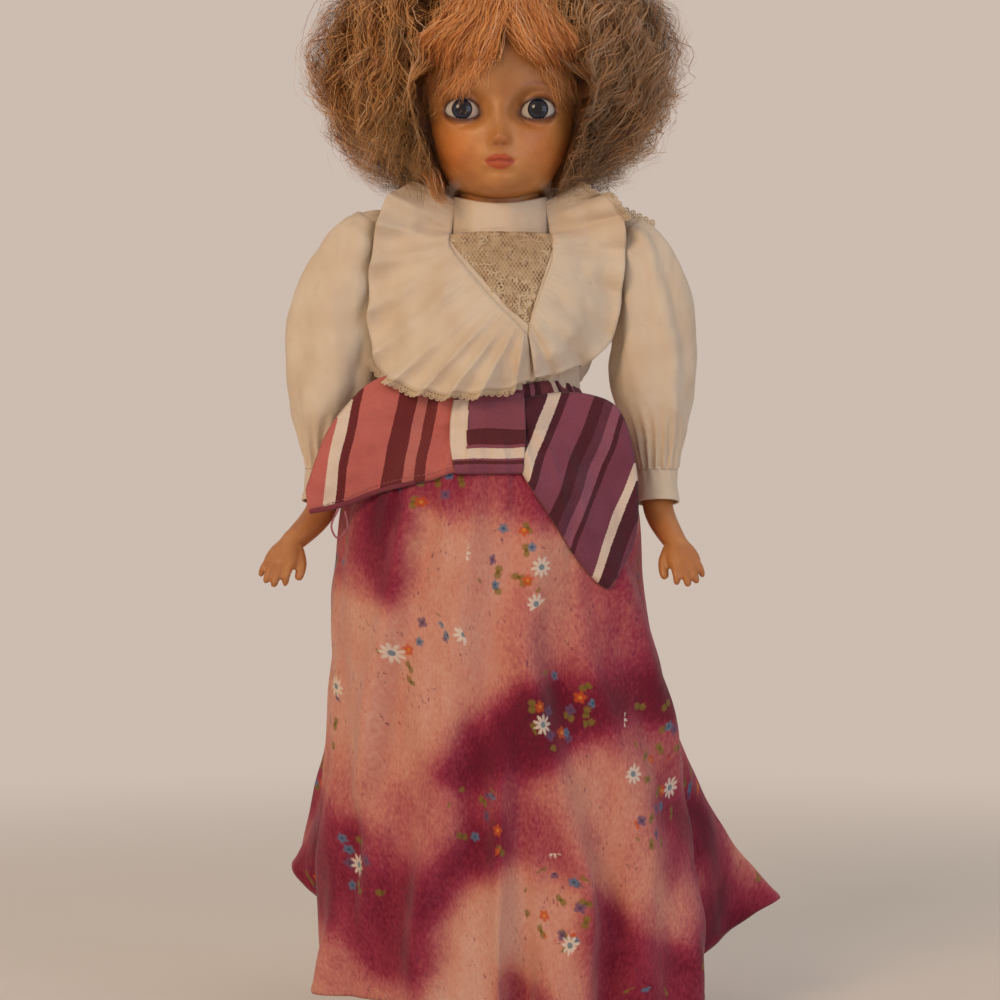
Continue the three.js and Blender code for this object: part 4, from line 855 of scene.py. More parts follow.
@dataclass
class Head:
    """The hollow vinyl head: a sculpted, painted face, a short neck with its tying groove, and eyes."""

    finishes: Finishes
    face_wide: float = 35.4
    face_deep: float = 35.4
    skull_deep: float = 40.0
    eye_radius: float = 8.2
    eye_spacing: float = 31.0
    eye_half_wide: float = 7.0
    eye_up: float = 4.7
    eye_down: float = 3.6
    mouth_z: float = CHIN_Z + 13.0
    jaw: tuple = (
        (0, 0.56), (0.012, 0.6), (0.04, 0.68), (0.11, 0.785), (0.2, 0.87), (0.32, 0.935), (0.48, 0.985),
        (0.62, 1.0), (0.75, 1.0), (1.0, 1.0),
    )

    @property
    def eye_y(self) -> float:
        """How far forward an eyeball's middle lies."""
        return -self.face_deep * 0.885 + self.eye_radius

    def eye_x(self, side: Side) -> float:
        """How far from the middle an eyeball lies."""
        return side.value * self.eye_spacing / 2

    def ball_front(self, off: Array) -> Array:
        """How far forward an eyeball lies, at a distance from its middle as seen from in front."""
        return self.eye_y - np.sqrt(self.eye_radius**2 - np.minimum(off, 7.4) ** 2)

    def skin_at(self, share: Array, angle: Array, grow: float = 0.0) -> Array:
        """Points of the bare head, before its features.

        Args:
            share: The height as a share of the way from chin to crown.
            angle: Round the head, from the +X side by way of the back.
            grow: How far outside the surface.

        Returns:
            Points with one more axis than share.
        """
        shape = np.shape(share)
        wide, front, back = along(HEAD_SHAPE, np.ravel(share)).T
        wide, front, back = wide.reshape(shape), front.reshape(shape), back.reshape(shape)
        depth = np.where(np.sin(angle) < 0, front * self.face_deep, back * self.skull_deep)
        narrow = np.interp(share, *zip(*self.jaw))
        wide = wide * (1 - (1 - narrow) * step(0.45, -0.25, np.sin(angle)))
        x = (wide * self.face_wide + grow) * np.cos(angle)
        y = (depth + grow) * np.sin(angle)
        z = CHIN_Z + share * HEAD_HEIGHT + grow * (2 * share - 1)
        return np.stack([x, y, z], -1)

    def lid_line(self, side: Side, count: int = 96) -> Array:
        """The almond edge of an eye opening, as x and z."""
        turn = turns(count)
        out, rise = np.cos(turn), np.abs(np.sin(turn))
        high = np.where(np.sin(turn) > 0, self.eye_up * rise**1.15, -self.eye_down * rise**1.05)
        x = side.value * (self.eye_spacing / 2 + self.eye_half_wide * out)
        return np.stack([x, EYE_Z - 0.5 + high + 0.35 * out], -1)

    def from_lid(self, x: Array, z: Array, side: Side) -> tuple[Array, Array]:
        """How far points lie outside an eye opening, or inside if negative, and the nearest of its edge.

        Args:
            x: Where, across.
            z: Where, up.
            side: Which eye.

        Returns:
            The distances, and the edge's nearest points as x and z.
        """
        edge = self.lid_line(side)
        ahead = np.roll(edge, -1, 0)
        spots = np.stack([x, z], -1)[:, None]
        run = ahead - edge
        t = np.clip(((spots - edge) * run).sum(-1) / (run**2).sum(-1), 0, 1)
        near = edge + run * t[..., None]
        gap = np.linalg.norm(spots - near, axis=-1)
        best = gap.argmin(1)
        rows = np.arange(len(best))
        centre = np.array([self.eye_x(side), EYE_Z - 0.5])
        off = spots[:, 0] - centre
        turn = np.arctan2(off[:, 1] / 4.2, side.value * off[:, 0] / 7.0) % (2 * np.pi)
        far = np.linalg.norm(edge - centre, axis=1)
        reach = np.interp(turn, np.linspace(0, 2 * np.pi, 97), np.r_[far, far[0]])
        inside = np.linalg.norm(off, axis=1) < reach
        return np.where(inside, -gap[rows, best], gap[rows, best]), near[rows, best]

    def feature_depth(self, x: Array, z: Array) -> Array:
        """How far the face's features stand out from the bare head."""
        m = self.mouth_z
        nose_z = CHIN_Z + 0.262 * HEAD_HEIGHT
        bridge_z = CHIN_Z + 0.34 * HEAD_HEIGHT
        out = 3.6 * bell(x, z, 0, nose_z, 2.7, 3.0) + 1.5 * bell(x, z, 0, bridge_z, 2.4, 6.5)
        out += 1.5 * bell(x, z, 0, m + 0.6, 5.8, 3.6) + 1.9 * bell(x, z, 0, CHIN_Z + 4.2, 5.5, 4.4)
        out += 0.8 * bell(x, z, 0, CHIN_Z + 0.6 * HEAD_HEIGHT, 15, 11)
        out -= 0.4 * bell(x, z, 0, m + 4.6, 0.9, 1.5)
        out += 1.1 * bell(x, z, 0, m - 1.5, 3.0, 1.15) - 1.1 * bell(x, z, 0, m - 4.6, 4.5, 1.3)
        line = m + 0.25 * np.cos(x * 1.1) - 0.1
        out -= 0.75 * np.exp(-(((z - line) / 0.42) ** 2)) * step(5.8, 4.4, np.abs(x))
        for s in (-1, 1):
            out += 1.5 * bell(x, z, s * 17, CHIN_Z + 0.215 * HEAD_HEIGHT, 7.5, 7.5)
            out += 1.0 * bell(x, z, s * 2.9, nose_z - 0.9, 1.25, 1.3)
            out -= 0.8 * bell(x, z, s * 1.6, nose_z - 2.7, 0.8, 0.6)
            out += 0.85 * bell(x, z, s * 1.9, m + 1.35, 1.7, 0.95)
            out -= 0.6 * bell(x, z, s * 5.9, m, 0.9, 0.9)
            out += 0.5 * bell(x, z, s * 14, CHIN_Z + 0.51 * HEAD_HEIGHT, 8, 2.6)
        return out

    def shape_face(self, points: Array) -> Array:
        """Adds the features and lays the lids on the eyeballs.

        Args:
            points: Points of the bare head.

        Returns:
            The points, moved forwards or back.
        """
        front = points[:, 1] < -2
        x, z = points[:, 0], points[:, 2]
        points = points.copy()
        points[:, 1] -= np.where(front, self.feature_depth(x, z), 0)
        for side in Side:
            off = np.hypot(x - self.eye_x(side), z - EYE_Z)
            near = front & (off < 16)
            gap, _ = self.from_lid(x[near], z[near], side)
            lid = self.ball_front(off[near]) - 0.75 - 0.35 * np.exp(-(((gap - 0.9) / 0.7) ** 2))
            share = np.exp(-((np.maximum(gap, 0) / 3.2) ** 2))
            points[near, 1] += (lid - points[near, 1]) * share
        return points

    def paint(self, points: Array) -> Array:
        """The painted colour of each point: blush, lips, lid lines, lash shadow and brows.

        It also paints light and shade: painted light on the cheeks, a painted highlight on the lower lip,
        and painted shade on the forehead under the fringe and in the nostrils.
        """
        x, z, front = points[:, 0], points[:, 2], points[:, 1] < -4
        tint = np.tile(rgb("c68a4c"), (len(points), 1))

        def lay(code: str, share: Array) -> None:
            """Lays a colour over the tint."""
            nonlocal tint
            share = np.where(front, share, 0)[:, None]
            tint = tint * (1 - share) + rgb(code) * share

        for s in (-1, 1):
            # Painted light: a pale patch on each cheek lifts it out of the hair's shade; the orange blush
            # lies over it.
            lay("ea9a50", 0.6 * bell(x, z, s * 20.5, self.mouth_z + 6, 8.5, 9))
            lay("d0682e", 0.35 * bell(x, z, s * 19.5, self.mouth_z + 4.5, 6.5, 6))
            lay("8f4a2a", 0.28 * bell(x, z, s * 14.5, EYE_Z + 6.2, 6.5, 2.2))
        # Painted shadow of the fringe across the forehead.
        lay("7d5730", 0.45 * bell(x, z, 4, CHIN_Z + 55, 24, 10))
        lay("c06a35", 0.3 * bell(x, z, 0, CHIN_Z + 22, 2.6, 2.2))
        lay("c98552", 0.35 * bell(x, z, 0, CHIN_Z + 4, 5, 3.5))
        # Painted shade in the nostril dents.
        nostril_shade = [bell(x, z, s * 1.6, CHIN_Z + 19.2, 0.8, 0.5) for s in (-1, 1)]
        lay("8a4726", 0.55 * (nostril_shade[0] + nostril_shade[1]))
        for side in Side:
            near = np.flatnonzero(front & (np.hypot(x - self.eye_x(side), z - EYE_Z) < 13))
            gap, _ = self.from_lid(x[near], z[near], side)
            low = step(EYE_Z + 1.0, EYE_Z - 1.5, z[near])
            wide = 1.05 + 0.75 * low
            lined = np.zeros(len(points))
            lined[near] = np.exp(-((np.maximum(gap, 0) / wide) ** 2)) * (0.78 + 0.1 * low)
            lay("4a2a30", lined)
            out = side.value * x - self.eye_spacing / 2
            rise = EYE_Z + 10.6 - 0.030 * (out - 1.0) ** 2
            strokes = 0.75 + 0.25 * np.sin(out * 5.2 + (z - rise) * 3.0)
            brow = np.exp(-(((z - rise) / (0.75 - 0.03 * out)) ** 2))
            brow = brow * step(-6.5, -3.0, out) * step(9.0, 5.0, out)
            lay("80452a", 0.6 * brow * strokes)
        m = self.mouth_z
        half = 6.5
        u = np.clip(np.abs(x) / half, 0, 1)
        top = m + 2.9 * (1 - u**1.7) - 0.8 * np.exp(-((x / 0.95) ** 2))
        bottom = m - 3.5 * (1 - u**2.2)
        inside = step(-0.3, 0.3, top - z) * step(-0.3, 0.3, z - bottom)
        inside = inside * step(half + 0.1, half - 0.5, np.abs(x))
        lay("c4512a", 0.92 * inside)
        lay("8a3420", 0.6 * np.exp(-(((z - m + 0.05) / 0.38) ** 2)) * step(6.2, 4.8, np.abs(x)))
        # A painted highlight on the lower lip.
        lay("da7a4c", 0.45 * bell(x, z, 0.6, m - 1.8, 2.2, 0.7))
        return tint

    def skull(self) -> Shape:
        """The whole skin with the eye openings cut and their rims turned in."""
        shares = np.r_[0.0, 0.006, 0.012, np.linspace(0.02, 0.62, 112), np.linspace(0.635, 0.995, 44), 1.0]
        back = np.linspace(0, np.pi, 60, endpoint=False)
        face = np.linspace(np.pi, 2 * np.pi, 240, endpoint=False)
        share, angle = np.meshgrid(shares, np.r_[back, face], indexing="ij")
        skin = capped(self.skin_at(share, angle))
        points = self.shape_face(skin.points)
        faces = skin.faces
        edges: list = []
        for side in Side:
            off = np.hypot(points[:, 0] - self.eye_x(side), points[:, 2] - EYE_Z)
            near = np.flatnonzero((points[:, 1] < -5) & (off < 12))
            gap = np.full(len(points), 9.0)
            spot = np.zeros((len(points), 2))
            gap[near], spot[near] = self.from_lid(points[near, 0], points[near, 2], side)
            inside = gap < 0
            kept = [face for face in faces if sum(inside[k] for k in face) < 3]
            used = {k for face in kept for k in face if inside[k]}
            edge = [k for k in range(len(points)) if k in used or 0 <= gap[k] < 0.18]
            for k in edge:
                points[k, 0], points[k, 2] = spot[k]
            faces = kept
            off = np.hypot(points[edge, 0] - self.eye_x(side), points[edge, 2] - EYE_Z)
            points[edge, 1] = self.ball_front(off) - 0.85
            edges.append(set(edge))
        counts: dict = {}
        for face in faces:
            for a, b in zip(face, face[1:] + face[:1]):
                counts.setdefault(frozenset((a, b)), []).append((a, b))
        extra, extra_faces, new = [], [], {}
        for pair, ways in counts.items():
            if len(ways) == 1 and any(pair <= edge for edge in edges):
                a, b = ways[0]
                for k in (a, b):
                    if k not in new:
                        new[k] = len(points) + len(extra)
                        extra.append(points[k] + [0, 1.7, 0])
                extra_faces.append([b, a, new[a], new[b]])
        return Shape(np.vstack([points, extra]), faces + extra_faces)

    def neck(self) -> Shape:
        """The neck with the groove that the cloth is tied into."""
        profile = [
            (NECK_Z - 7, 13.4), (NECK_Z - 6.5, 13.8), (NECK_Z - 3.5, 13.8), (NECK_Z - 2.6, 11.6),
            (NECK_Z + 1.8, 11.6), (NECK_Z + 3, 16.2), (CHIN_Z + 1, 16.6), (CHIN_Z + 5, 17.0),
        ]
        z = np.concatenate([np.linspace(a[0], b[0], 5)[:-1] for a, b in zip(profile, profile[1:])])
        radius = np.interp(z, *zip(*profile))
        grid = ring(turns(72)) * radius[:, None, None]
        grid[..., 2] = z[:, None]
        return capped(grid)

    def eye(self, side: Side) -> None:
        """One eyeball, with its clear dome over the iris."""
        x, turn = self.eye_x(side), turns(64)
        tilt = np.linspace(0.03, np.pi - 0.03, 56)
        radius = self.eye_radius + 0.35 * np.exp(-((tilt / 0.42) ** 4))
        out = (radius * np.sin(tilt))[:, None]
        y = self.eye_y - (radius * np.cos(tilt))[:, None] + 0 * turn
        grid = np.stack([x + out * np.cos(turn), y, EYE_Z + out * np.sin(turn)], -1)
        name = f"{side.word}_eye"
        middle = to_frame([x, 0, EYE_Z - 0.1])
        glass = EyeGlass((float(middle[0]), float(middle[2]))).material(name)
        dress(make(f"{name}_glass", capped(grid), glass), "head", "eye", name)

    def lashes(self, side: Side) -> Shape:
        """Short upper lashes set in the lid, and fine painted-on ones below."""
        edge = self.lid_line(side, 240)
        rng = np.random.default_rng(5)
        hairs = []
        for index in range(0, 240, 4):
            x, z = edge[index]
            high = z > EYE_Z + 0.6
            low = z < EYE_Z - 1.4
            if not (high or low) or (low and index % 8):
                continue
            out = (x - self.eye_x(side)) / self.eye_half_wide
            off = np.hypot(x - self.eye_x(side), z - EYE_Z)
            start = np.array([x, self.ball_front(off) - 0.8, z])
            long = (2.3 if high else 1.5) * rng.uniform(0.75, 1.1)
            way = np.array([out * 0.75, -0.75 if high else -0.12, 0.62 if high else -1.0])
            way /= np.linalg.norm(way)
            t = np.linspace(0, 1, 6)[:, None]
            bend = np.array([0, 0, 0.55 if high else 0.0]) * t**2
            path = start + way * t * long + bend + [0, -0.12, 0]
            hairs.append(strand(path, 0.13 * (1.1 - t[:, 0]), 4))
        return Shape.joined(hairs)

    def build(self) -> None:
        """Makes and dresses the head."""
        skin = Shape.joined([self.skull(), self.neck()])
        head = make("head_skin", skin, self.finishes.face, self.paint(skin.points), closed=False)
        dress(head, "head", "vinyl", "head")
        for side in Side:
            self.eye(side)
            rows = self.lashes(side)
            dark = np.tile(rgb("2e1a17"), (len(rows.points), 1))
            dress(make(f"{side.word}_lashes", rows, self.finishes.hair, dark), "head", "hair")
        log.info("head: face, neck, eyes and lashes")


# Hair

class HairPart(Enum):
    """The rooted bunches, by where they lie."""

    CROWN = "hair_crown"
    FRINGE = "hair_fringe"
    LEFT = "hair_left"
    RIGHT = "hair_right"
    BACK = "hair_back"


@dataclass
class HairDo:
    """A full head of wavy, frizzed hair: parted over the crown, with a fringe swept to both sides."""

    finishes: Finishes
    head: Head
    locks: int = 470
    under_locks: int = 150
    parting_locks: int = 210
    fringe_locks: int = 260
    in_lock: int = 15
    loose: int = 620
    in_fringe_lock: int = 11
    in_fallen_lock: int = 90
    steps: int = 31
    wave: float = 3.0
    wave_length: float = 17.0
    frizz: float = 1.15
    outline: tuple = (
        (346, 37), (350, 45), (355, 52), (361, 58.5), (367, 64), (376, 70.5), (388, 76.5), (399, 78.5),
        (410, 78), (419, 76), (428, 71), (436, 63), (443, 52), (449, 38), (453.5, 22), (455.5, 7),
    )

    def __post_init__(self) -> None:
        """Starts the seeded randomness and measures the outline's arc from the top down."""
        self.rng = np.random.default_rng(11)
        self.table = np.array(self.outline, float)[::-1]
        run = np.r_[0, np.cumsum(np.hypot(*np.diff(self.table, axis=0).T))]
        self.arc = run / run[-1]

    def shell(self, turn: Array, share: Array, layer: Array) -> Array:
        """Points on a layer of the hair.

        Args:
            turn: The angle round the head, -90 degrees being the face.
            share: From 0 at the top to 1 at the lower edge.
            layer: 1 on the outside, less within.

        Returns:
            Points with one more axis than share.
        """
        z = np.interp(share, self.arc, self.table[:, 0])
        wide = np.interp(share, self.arc, self.table[:, 1])
        deep = np.where(np.sin(turn) < 0, 0.56, 0.83)
        lumps = 1 + 0.05 * np.cos(6 * turn + 9 * (z - 351.5) / 97.5) + 0.02 * np.sin(13 * turn + 0.21 * z)
        x = wide * lumps * np.where(np.cos(turn) > 0, 0.955, 1.0) * np.cos(turn)
        y = wide * deep * lumps * np.sin(turn)
        z = z - 5.0 * np.exp(-(((x - 2) / 12) ** 2)) * step(420, 444, z) * step(30, 4, y)
        z = z - 0.0034 * y**2 * step(398, 440, z)
        spot = np.stack([x, y, z], -1)
        lower = np.where(z > 392, 0.55, 0.9)
        inner = np.stack([0 * z, 0 * z + 4.0, 392 + lower * (z - 392)], -1)
        return inner + (spot - inner) * np.asarray(layer)[..., None]

    def clear_face(self, path: Array) -> Array:
        """Keeps strands out of the face, the head and the collar."""
        x, y, z = path[..., 0], path[..., 1], path[..., 2]
        low = step(402, 388, z) * step(4, -8, y)
        side = np.where(x < 2, -1, 1)
        least = np.interp(z, [345, 354, 366, 380, 392], [22, 25, 30, 33.5, 34.5])
        least = least + np.where(x < 2, 0, 2) * step(366, 385, z)
        x = np.where(np.abs(x) < least, x + (side * (least + 0.1 * np.abs(x)) - x) * low, x)
        share = np.clip((z - CHIN_Z) / HEAD_HEIGHT, 0.0, 1.0)
        skin = self.head.skin_at(share, np.arctan2(y / 1.05, x), 1.2)
        near = np.where(z > CHIN_Z + 1, np.hypot(skin[..., 0], skin[..., 1]), 24.0)
        far = np.maximum(np.hypot(x, y), 1e-6)
        push = np.where(far < near, near / far, 1.0)
        return np.stack([x * push, y * push, z], -1)

    def curves(self, keys: list) -> Array:
        """Smooth lines through keys, each of which holds one place for every lock."""
        return np.stack([spline(lock, self.steps) for lock in np.stack(keys, 1)])

    def guides(self) -> tuple[Array, Array]:
        """The middle line of each lock at the sides and back, and how far out its layer is."""
        rng, t = self.rng, np.linspace(0, 1, self.steps)
        n, low = self.locks, self.under_locks
        turn = np.r_[rng.uniform(-np.pi, np.pi, n), rng.uniform(-0.25, np.pi + 0.25, low)]
        face = (turn + np.pi / 2 + np.pi) % (2 * np.pi) - np.pi
        turn = np.where(np.abs(face) < 0.62, turn + np.where(face < 0, -1, 1) * 0.62, turn)
        layer = np.r_[1 - 0.5 * rng.uniform(0, 1, n) ** 1.5, rng.uniform(0.45, 0.8, low)]
        start = np.r_[rng.uniform(0.1, 0.62, n), rng.uniform(0.4, 0.6, low)]
        end = np.minimum(start + rng.uniform(0.34, 0.7, n + low), rng.uniform(0.9, 1.0, n + low))
        end[n:] = rng.uniform(0.93, 1.0, low)
        share = start[:, None] + (end - start)[:, None] * t
        drift = rng.normal(0, 0.16, n + low)[:, None] * t
        run = self.shell(turn[:, None] + drift, share, layer[:, None] * (0.97 + 0.05 * t))
        root = self.head.skin_at(np.clip(0.985 - 0.62 * start, 0.35, 0.985), turn, 0.4)
        lift = step(0.0, 0.34, t)[:, None]
        return root[:, None] * (1 - lift) + run * lift, layer

    def parting(self) -> tuple[Array, Array]:
        """Locks rooted along the parting, lying over the crown and down both sides."""
        rng, n = self.rng, self.parting_locks
        side = np.where(rng.uniform(0, 1, n) < 0.5, -1.0, 1.0)
        deep = rng.uniform(-1, 1, n)
        reach = np.where(deep > 0, 1.56, 1.25) * deep
        turn = np.where(side > 0, 0.1 + reach, np.pi - 0.1 - reach)
        layer = 1 - 0.28 * rng.uniform(0, 1, n) ** 1.4
        root_y = -2 + 27 * deep
        keys = [np.stack([2 + side * 1.5, root_y, 431 - 0.008 * root_y**2 - 4 * (deep < -0.8)], -1)]
        rise = 443 + 6 * (layer - 0.72) / 0.28 - 0.009 * root_y**2
        keys.append(np.stack([2 + side * 6, root_y, rise], -1))
        end = rng.uniform(0.62, 1.0, n)
        for share in (0.2, 0.34, 0.5, 0.68, 0.84, 1.0):
            at = 0.2 + (end - 0.2) * (share - 0.2) / 0.8
            keys.append(self.shell(turn + rng.normal(0, 0.05, n), at, layer))
        return self.curves(keys), layer

    def sway(self, path: Array, phase: Array, size: Array) -> Array:
        """Waves along each path, sideways and in and out."""
        way = np.gradient(path, axis=1)
        long = np.linalg.norm(way, axis=2)
        way = way / np.maximum(long[..., None], 1e-6)
        out = unit(path - np.array([0, 4.0, 385.0]))
        pitch = self.wave_length * self.rng.uniform(0.75, 1.3, (len(path), 1))
        turn = 2 * np.pi * np.cumsum(long, axis=1) / pitch + phase[:, None]
        t = np.linspace(0, 1, path.shape[1])
        grow = size[:, None] * step(0.05, 0.5, t) * (1 + 0.8 * step(0.65, 1.0, t))
        move = np.cross(way, out) * (grow * np.sin(turn))[..., None]
        return path + move + out * (0.6 * grow * np.cos(turn))[..., None]

    def strands(self, guide: Array, count: int, spread: float, close: float, frizz: float) -> Array:
        """Single strands about each guide.

        Args:
            guide: Middle lines, locks x steps x 3.
            count: Strands in each lock.
            spread: The lock's radius at its root.
            close: How far it narrows to its tip.
            frizz: How far each strand strays.

        Returns:
            Paths, strands x steps x 3.
        """
        n, steps = guide.shape[:2]
        t = np.linspace(0, 1, steps)
        off = self.rng.normal(0, 1, (n, count, 1, 3)) * spread * (1 - close * t)[:, None]
        fuzz = self.rng.normal(0, 1, (n, count, steps, 3))
        for _ in range(3):
            fuzz = (fuzz + np.roll(fuzz, 1, 2) + np.roll(fuzz, -1, 2)) / 2.2
        fuzz *= (frizz * step(0.0, 0.35, t) * (0.5 + 0.7 * t))[:, None]
        return (guide[:, None] + off + fuzz).reshape(n * count, steps, 3)

    def ribbons(self, paths: Array, width: Array, tint: Array) -> tuple[Shape, Array]:
        """Flat tapering ribbons along paths, facing outwards, with a colour for each of their points.

        Args:
            paths: Strands x steps x 3.
            width: Each strand's width.
            tint: Each strand's colour at root and tip, strands x 2 x 3.

        Returns:
            The shape, and its colours.
        """
        n, steps = paths.shape[:2]
        way = np.gradient(paths, axis=1)
        out = paths - np.array([0, 6.0, 385.0]) + self.rng.normal(0, 12, (n, 1, 3))
        side = unit(np.cross(way, out))
        t = np.linspace(0, 1, steps)
        half = 0.5 * width[:, None] * np.interp(t, [0, 0.15, 0.6, 1], [0.8, 1.0, 0.8, 0.12])
        both = np.stack([paths - side * half[..., None], paths + side * half[..., None]], 2)
        base = np.arange(n)[:, None] * steps * 2 + np.arange(steps - 1) * 2
        faces = np.stack([base, base + 1, base + 3, base + 2], -1).reshape(-1, 4)
        blend = t[:, None] ** 0.8
        # The strands' colours are darkened by painted shade within the hair.
        colour = (tint[:, :1] * (1 - blend) + tint[:, 1:] * blend) * self.painted_depth_shade(paths)[..., None]
        return Shape(both.reshape(-1, 3), faces.tolist()), np.repeat(colour, 2, 1).reshape(-1, 3)

    def painted_depth_shade(self, paths: Array) -> Array:
        """Painted shade within the hair: darker beside the cheeks, in a hollow at the left and under the
        bob's edge.
        """
        x, y, z = paths[..., 0], paths[..., 1], paths[..., 2]
        cheek = bell(np.abs(x), z, 37, 369, 8.5, 12) * step(24, 4, y)
        hollow = bell(x, z, -40, 407, 2.2, 4.5) * step(10, -6, y)
        far = np.hypot(x / 74, (y - 4) / 52)
        deep = step(0.86, 0.5, far) * step(436, 424, z)
        return (1 - 0.5 * cheek) * (1 - 0.6 * hollow) * (1 - 0.4 * deep)

    def colours(self, paths: Array, layer: Array, warm: float) -> Array:
        """A root and a tip colour for each strand: honey outside, deeper within, with pale streaks.

        The colours carry painted light and shade: painted shade darkens the inner layers, an ash tint with
        painted shade darkens the right side, and the pale streaks, scattered thinly, gather at the upper
        right as a painted highlight.
        """
        rng, n = self.rng, len(paths)
        deep, mid, pale, auburn, ash = map(rgb, ("80471c", "cc8a48", "f0c88c", "d0782a", "b8946c"))
        # Inner layers are darkened: painted shade within the hair.
        pick = np.clip(rng.normal(0.5, 0.22, n) + 0.9 * (layer - 0.85), 0, 1)[:, None]
        root, tip = deep * (1 - pick) + mid * pick, mid * (1 - pick) + pale * pick
        middle = paths[:, self.steps // 2]
        # Near-white strands, few everywhere and many at the upper right: a painted highlight.
        highlight_odds = bell(middle[:, 0], middle[:, 2], 42, 418, 16, 14) * 0.45 + 0.07
        highlit = (rng.uniform(0, 1, n) < highlight_odds)[:, None]
        root, tip = np.where(highlit, mid, root), np.where(highlit, rgb("f4e3c6"), tip)
        # An ash tint with painted shade: strands on the right side are darker, as if lit from the left.
        ash_and_shade = (0.45 * step(5, 45, middle[:, 0]))[:, None]
        tip = (tip * (1 - ash_and_shade) + ash * ash_and_shade) * (1 - 0.4 * ash_and_shade) * (1 + 3.2 * warm**3)
        root = root * (1 - 0.6 * ash_and_shade) + ash * 0.2 * ash_and_shade
        red = np.clip(warm + rng.normal(0, 0.15, n), 0, 1)[:, None]
        root = root * (1 - red) + auburn * 0.8 * red
        tip = tip * (1 - red) + auburn * (1.1 + 0.6 * warm) * red
        return np.stack([root, tip], 1)

    def part_of(self, paths: Array) -> Array:
        """Which bunch each strand belongs to."""
        middle = paths.mean(1)
        names = np.where(middle[:, 0] < 0, HairPart.LEFT.value, HairPart.RIGHT.value)
        names = np.where(middle[:, 1] > 12, HairPart.BACK.value, names)
        return np.where(middle[:, 2] > CHIN_Z + 0.8 * HEAD_HEIGHT, HairPart.CROWN.value, names)

    def fringe(self) -> Array:
        """Locks from the crown that part over the middle of the forehead and sweep to both sides."""
        rng, n = self.rng, self.fringe_locks
        to_left = rng.uniform(0, 1, n) < 0.64
        share = rng.uniform(0, 1, n)
        lift = rng.uniform(0, 1, n) ** 1.6
        root_x = np.where(to_left, -17 + 20 * share, 1 + 18 * share) + rng.normal(0, 1.5, n)
        bend_x = np.where(to_left, -31 + 27 * share, 13 + 16 * share) + rng.normal(0, 1.8, n)
        tip_x = np.where(to_left, -38 + 30 * share**1.15, 26 + 10 * share) + rng.normal(0, 1.8, n)
        tip_z = np.where(to_left, 384 + 10 * share**2, 389) + rng.normal(0, 4.5, n)
        middle = 0.45 * bend_x + 0.55 * tip_x + np.where(to_left, 1.5, -1.0)
        sweep = (
            (2 + 0.3 * (root_x - 2), -3 + rng.normal(0, 3, n), 447.5 + 3 * lift),
            (0.6 * root_x + 1, -17, 443 + 3 * lift),
            (root_x, -27.5 - 3 * lift, 432 + 2 * lift),
            (0.8 * root_x + 0.2 * bend_x, -34 - 5 * lift, 418),
            (bend_x, -36 - 4.5 * lift, 405 - 3 * np.where(to_left, share, 1 - share)),
            (middle, None, 0.5 * (408 + tip_z)),
            (tip_x, None, tip_z),
        )
        keys = []
        for x, y, z in sweep:
            if y is None:
                high = np.clip((z - CHIN_Z) / HEAD_HEIGHT, 0, 1)
                wide, front, _ = along(HEAD_SHAPE, high).T * self.head.face_wide
                y = -front * np.sqrt(np.clip(1 - (x / wide) ** 2, 0.02, 1)) - 1.4 - 1.5 * lift
            keys.append(np.stack(np.broadcast_arrays(x, y, z), -1))
        return self.curves(keys)

    def fallen_lock(self) -> Array:
        """The lock that falls in front of the collar."""
        keys = [[-33, -15, 385], [-34, -19, 371], [-31, -22, 358], [-26.5, -25.5, 349], [-23, -26.5, 341]]
        return spline(keys, self.steps)[None]

    def under(self) -> dict[str, tuple[Shape, Array]]:
        """Dark inner hair, coloured as painted shade, that keeps the scalp from showing, one closed mass
        for each bunch.
        """
        shade_masses = {}
        # These dark browns stand in for hair in shade: painted shade.
        dark, light = rgb("38200f"), rgb("7d4f2a")
        spans = {
            HairPart.LEFT: (0.9, 1.31), HairPart.RIGHT: (-0.29, 0.1), HairPart.BACK: (0.08, 0.92),
            HairPart.CROWN: (-1, 1),
        }
        for part, (first, last) in spans.items():
            crown = part is HairPart.CROWN
            turn = np.linspace(first, last, 90 if crown else 48, endpoint=not crown) * np.pi
            share = np.linspace(0.01, 0.34, 20) if crown else np.linspace(0.24, 0.95, 40)
            turn, share = np.meshgrid(turn, share)
            grid = self.shell(turn, share, np.full(turn.shape, 0.7 if crown else 0.74))
            grid += normals(grid, crown) * (2.0 * ripple(grid, (7, 7, 15), 3))[..., None]
            grid = self.clear_face(grid) - [0, 0, 3.0 if crown else 0]
            if crown:
                mass = capped(grid)
            else:
                inner = grid * [0.86, 0.86, 1] + [0, 0.5, 0]
                mass = seal(Shape.joined([surface(grid), surface(inner)]), *grid.shape[:2])
            shade = 0.5 + 0.5 * ripple(mass.points, (2.5, 2.5, 12), 8)
            shade_masses[part.value] = (mass, dark + (light - dark) * np.clip(shade, 0, 1)[:, None])
        return shade_masses

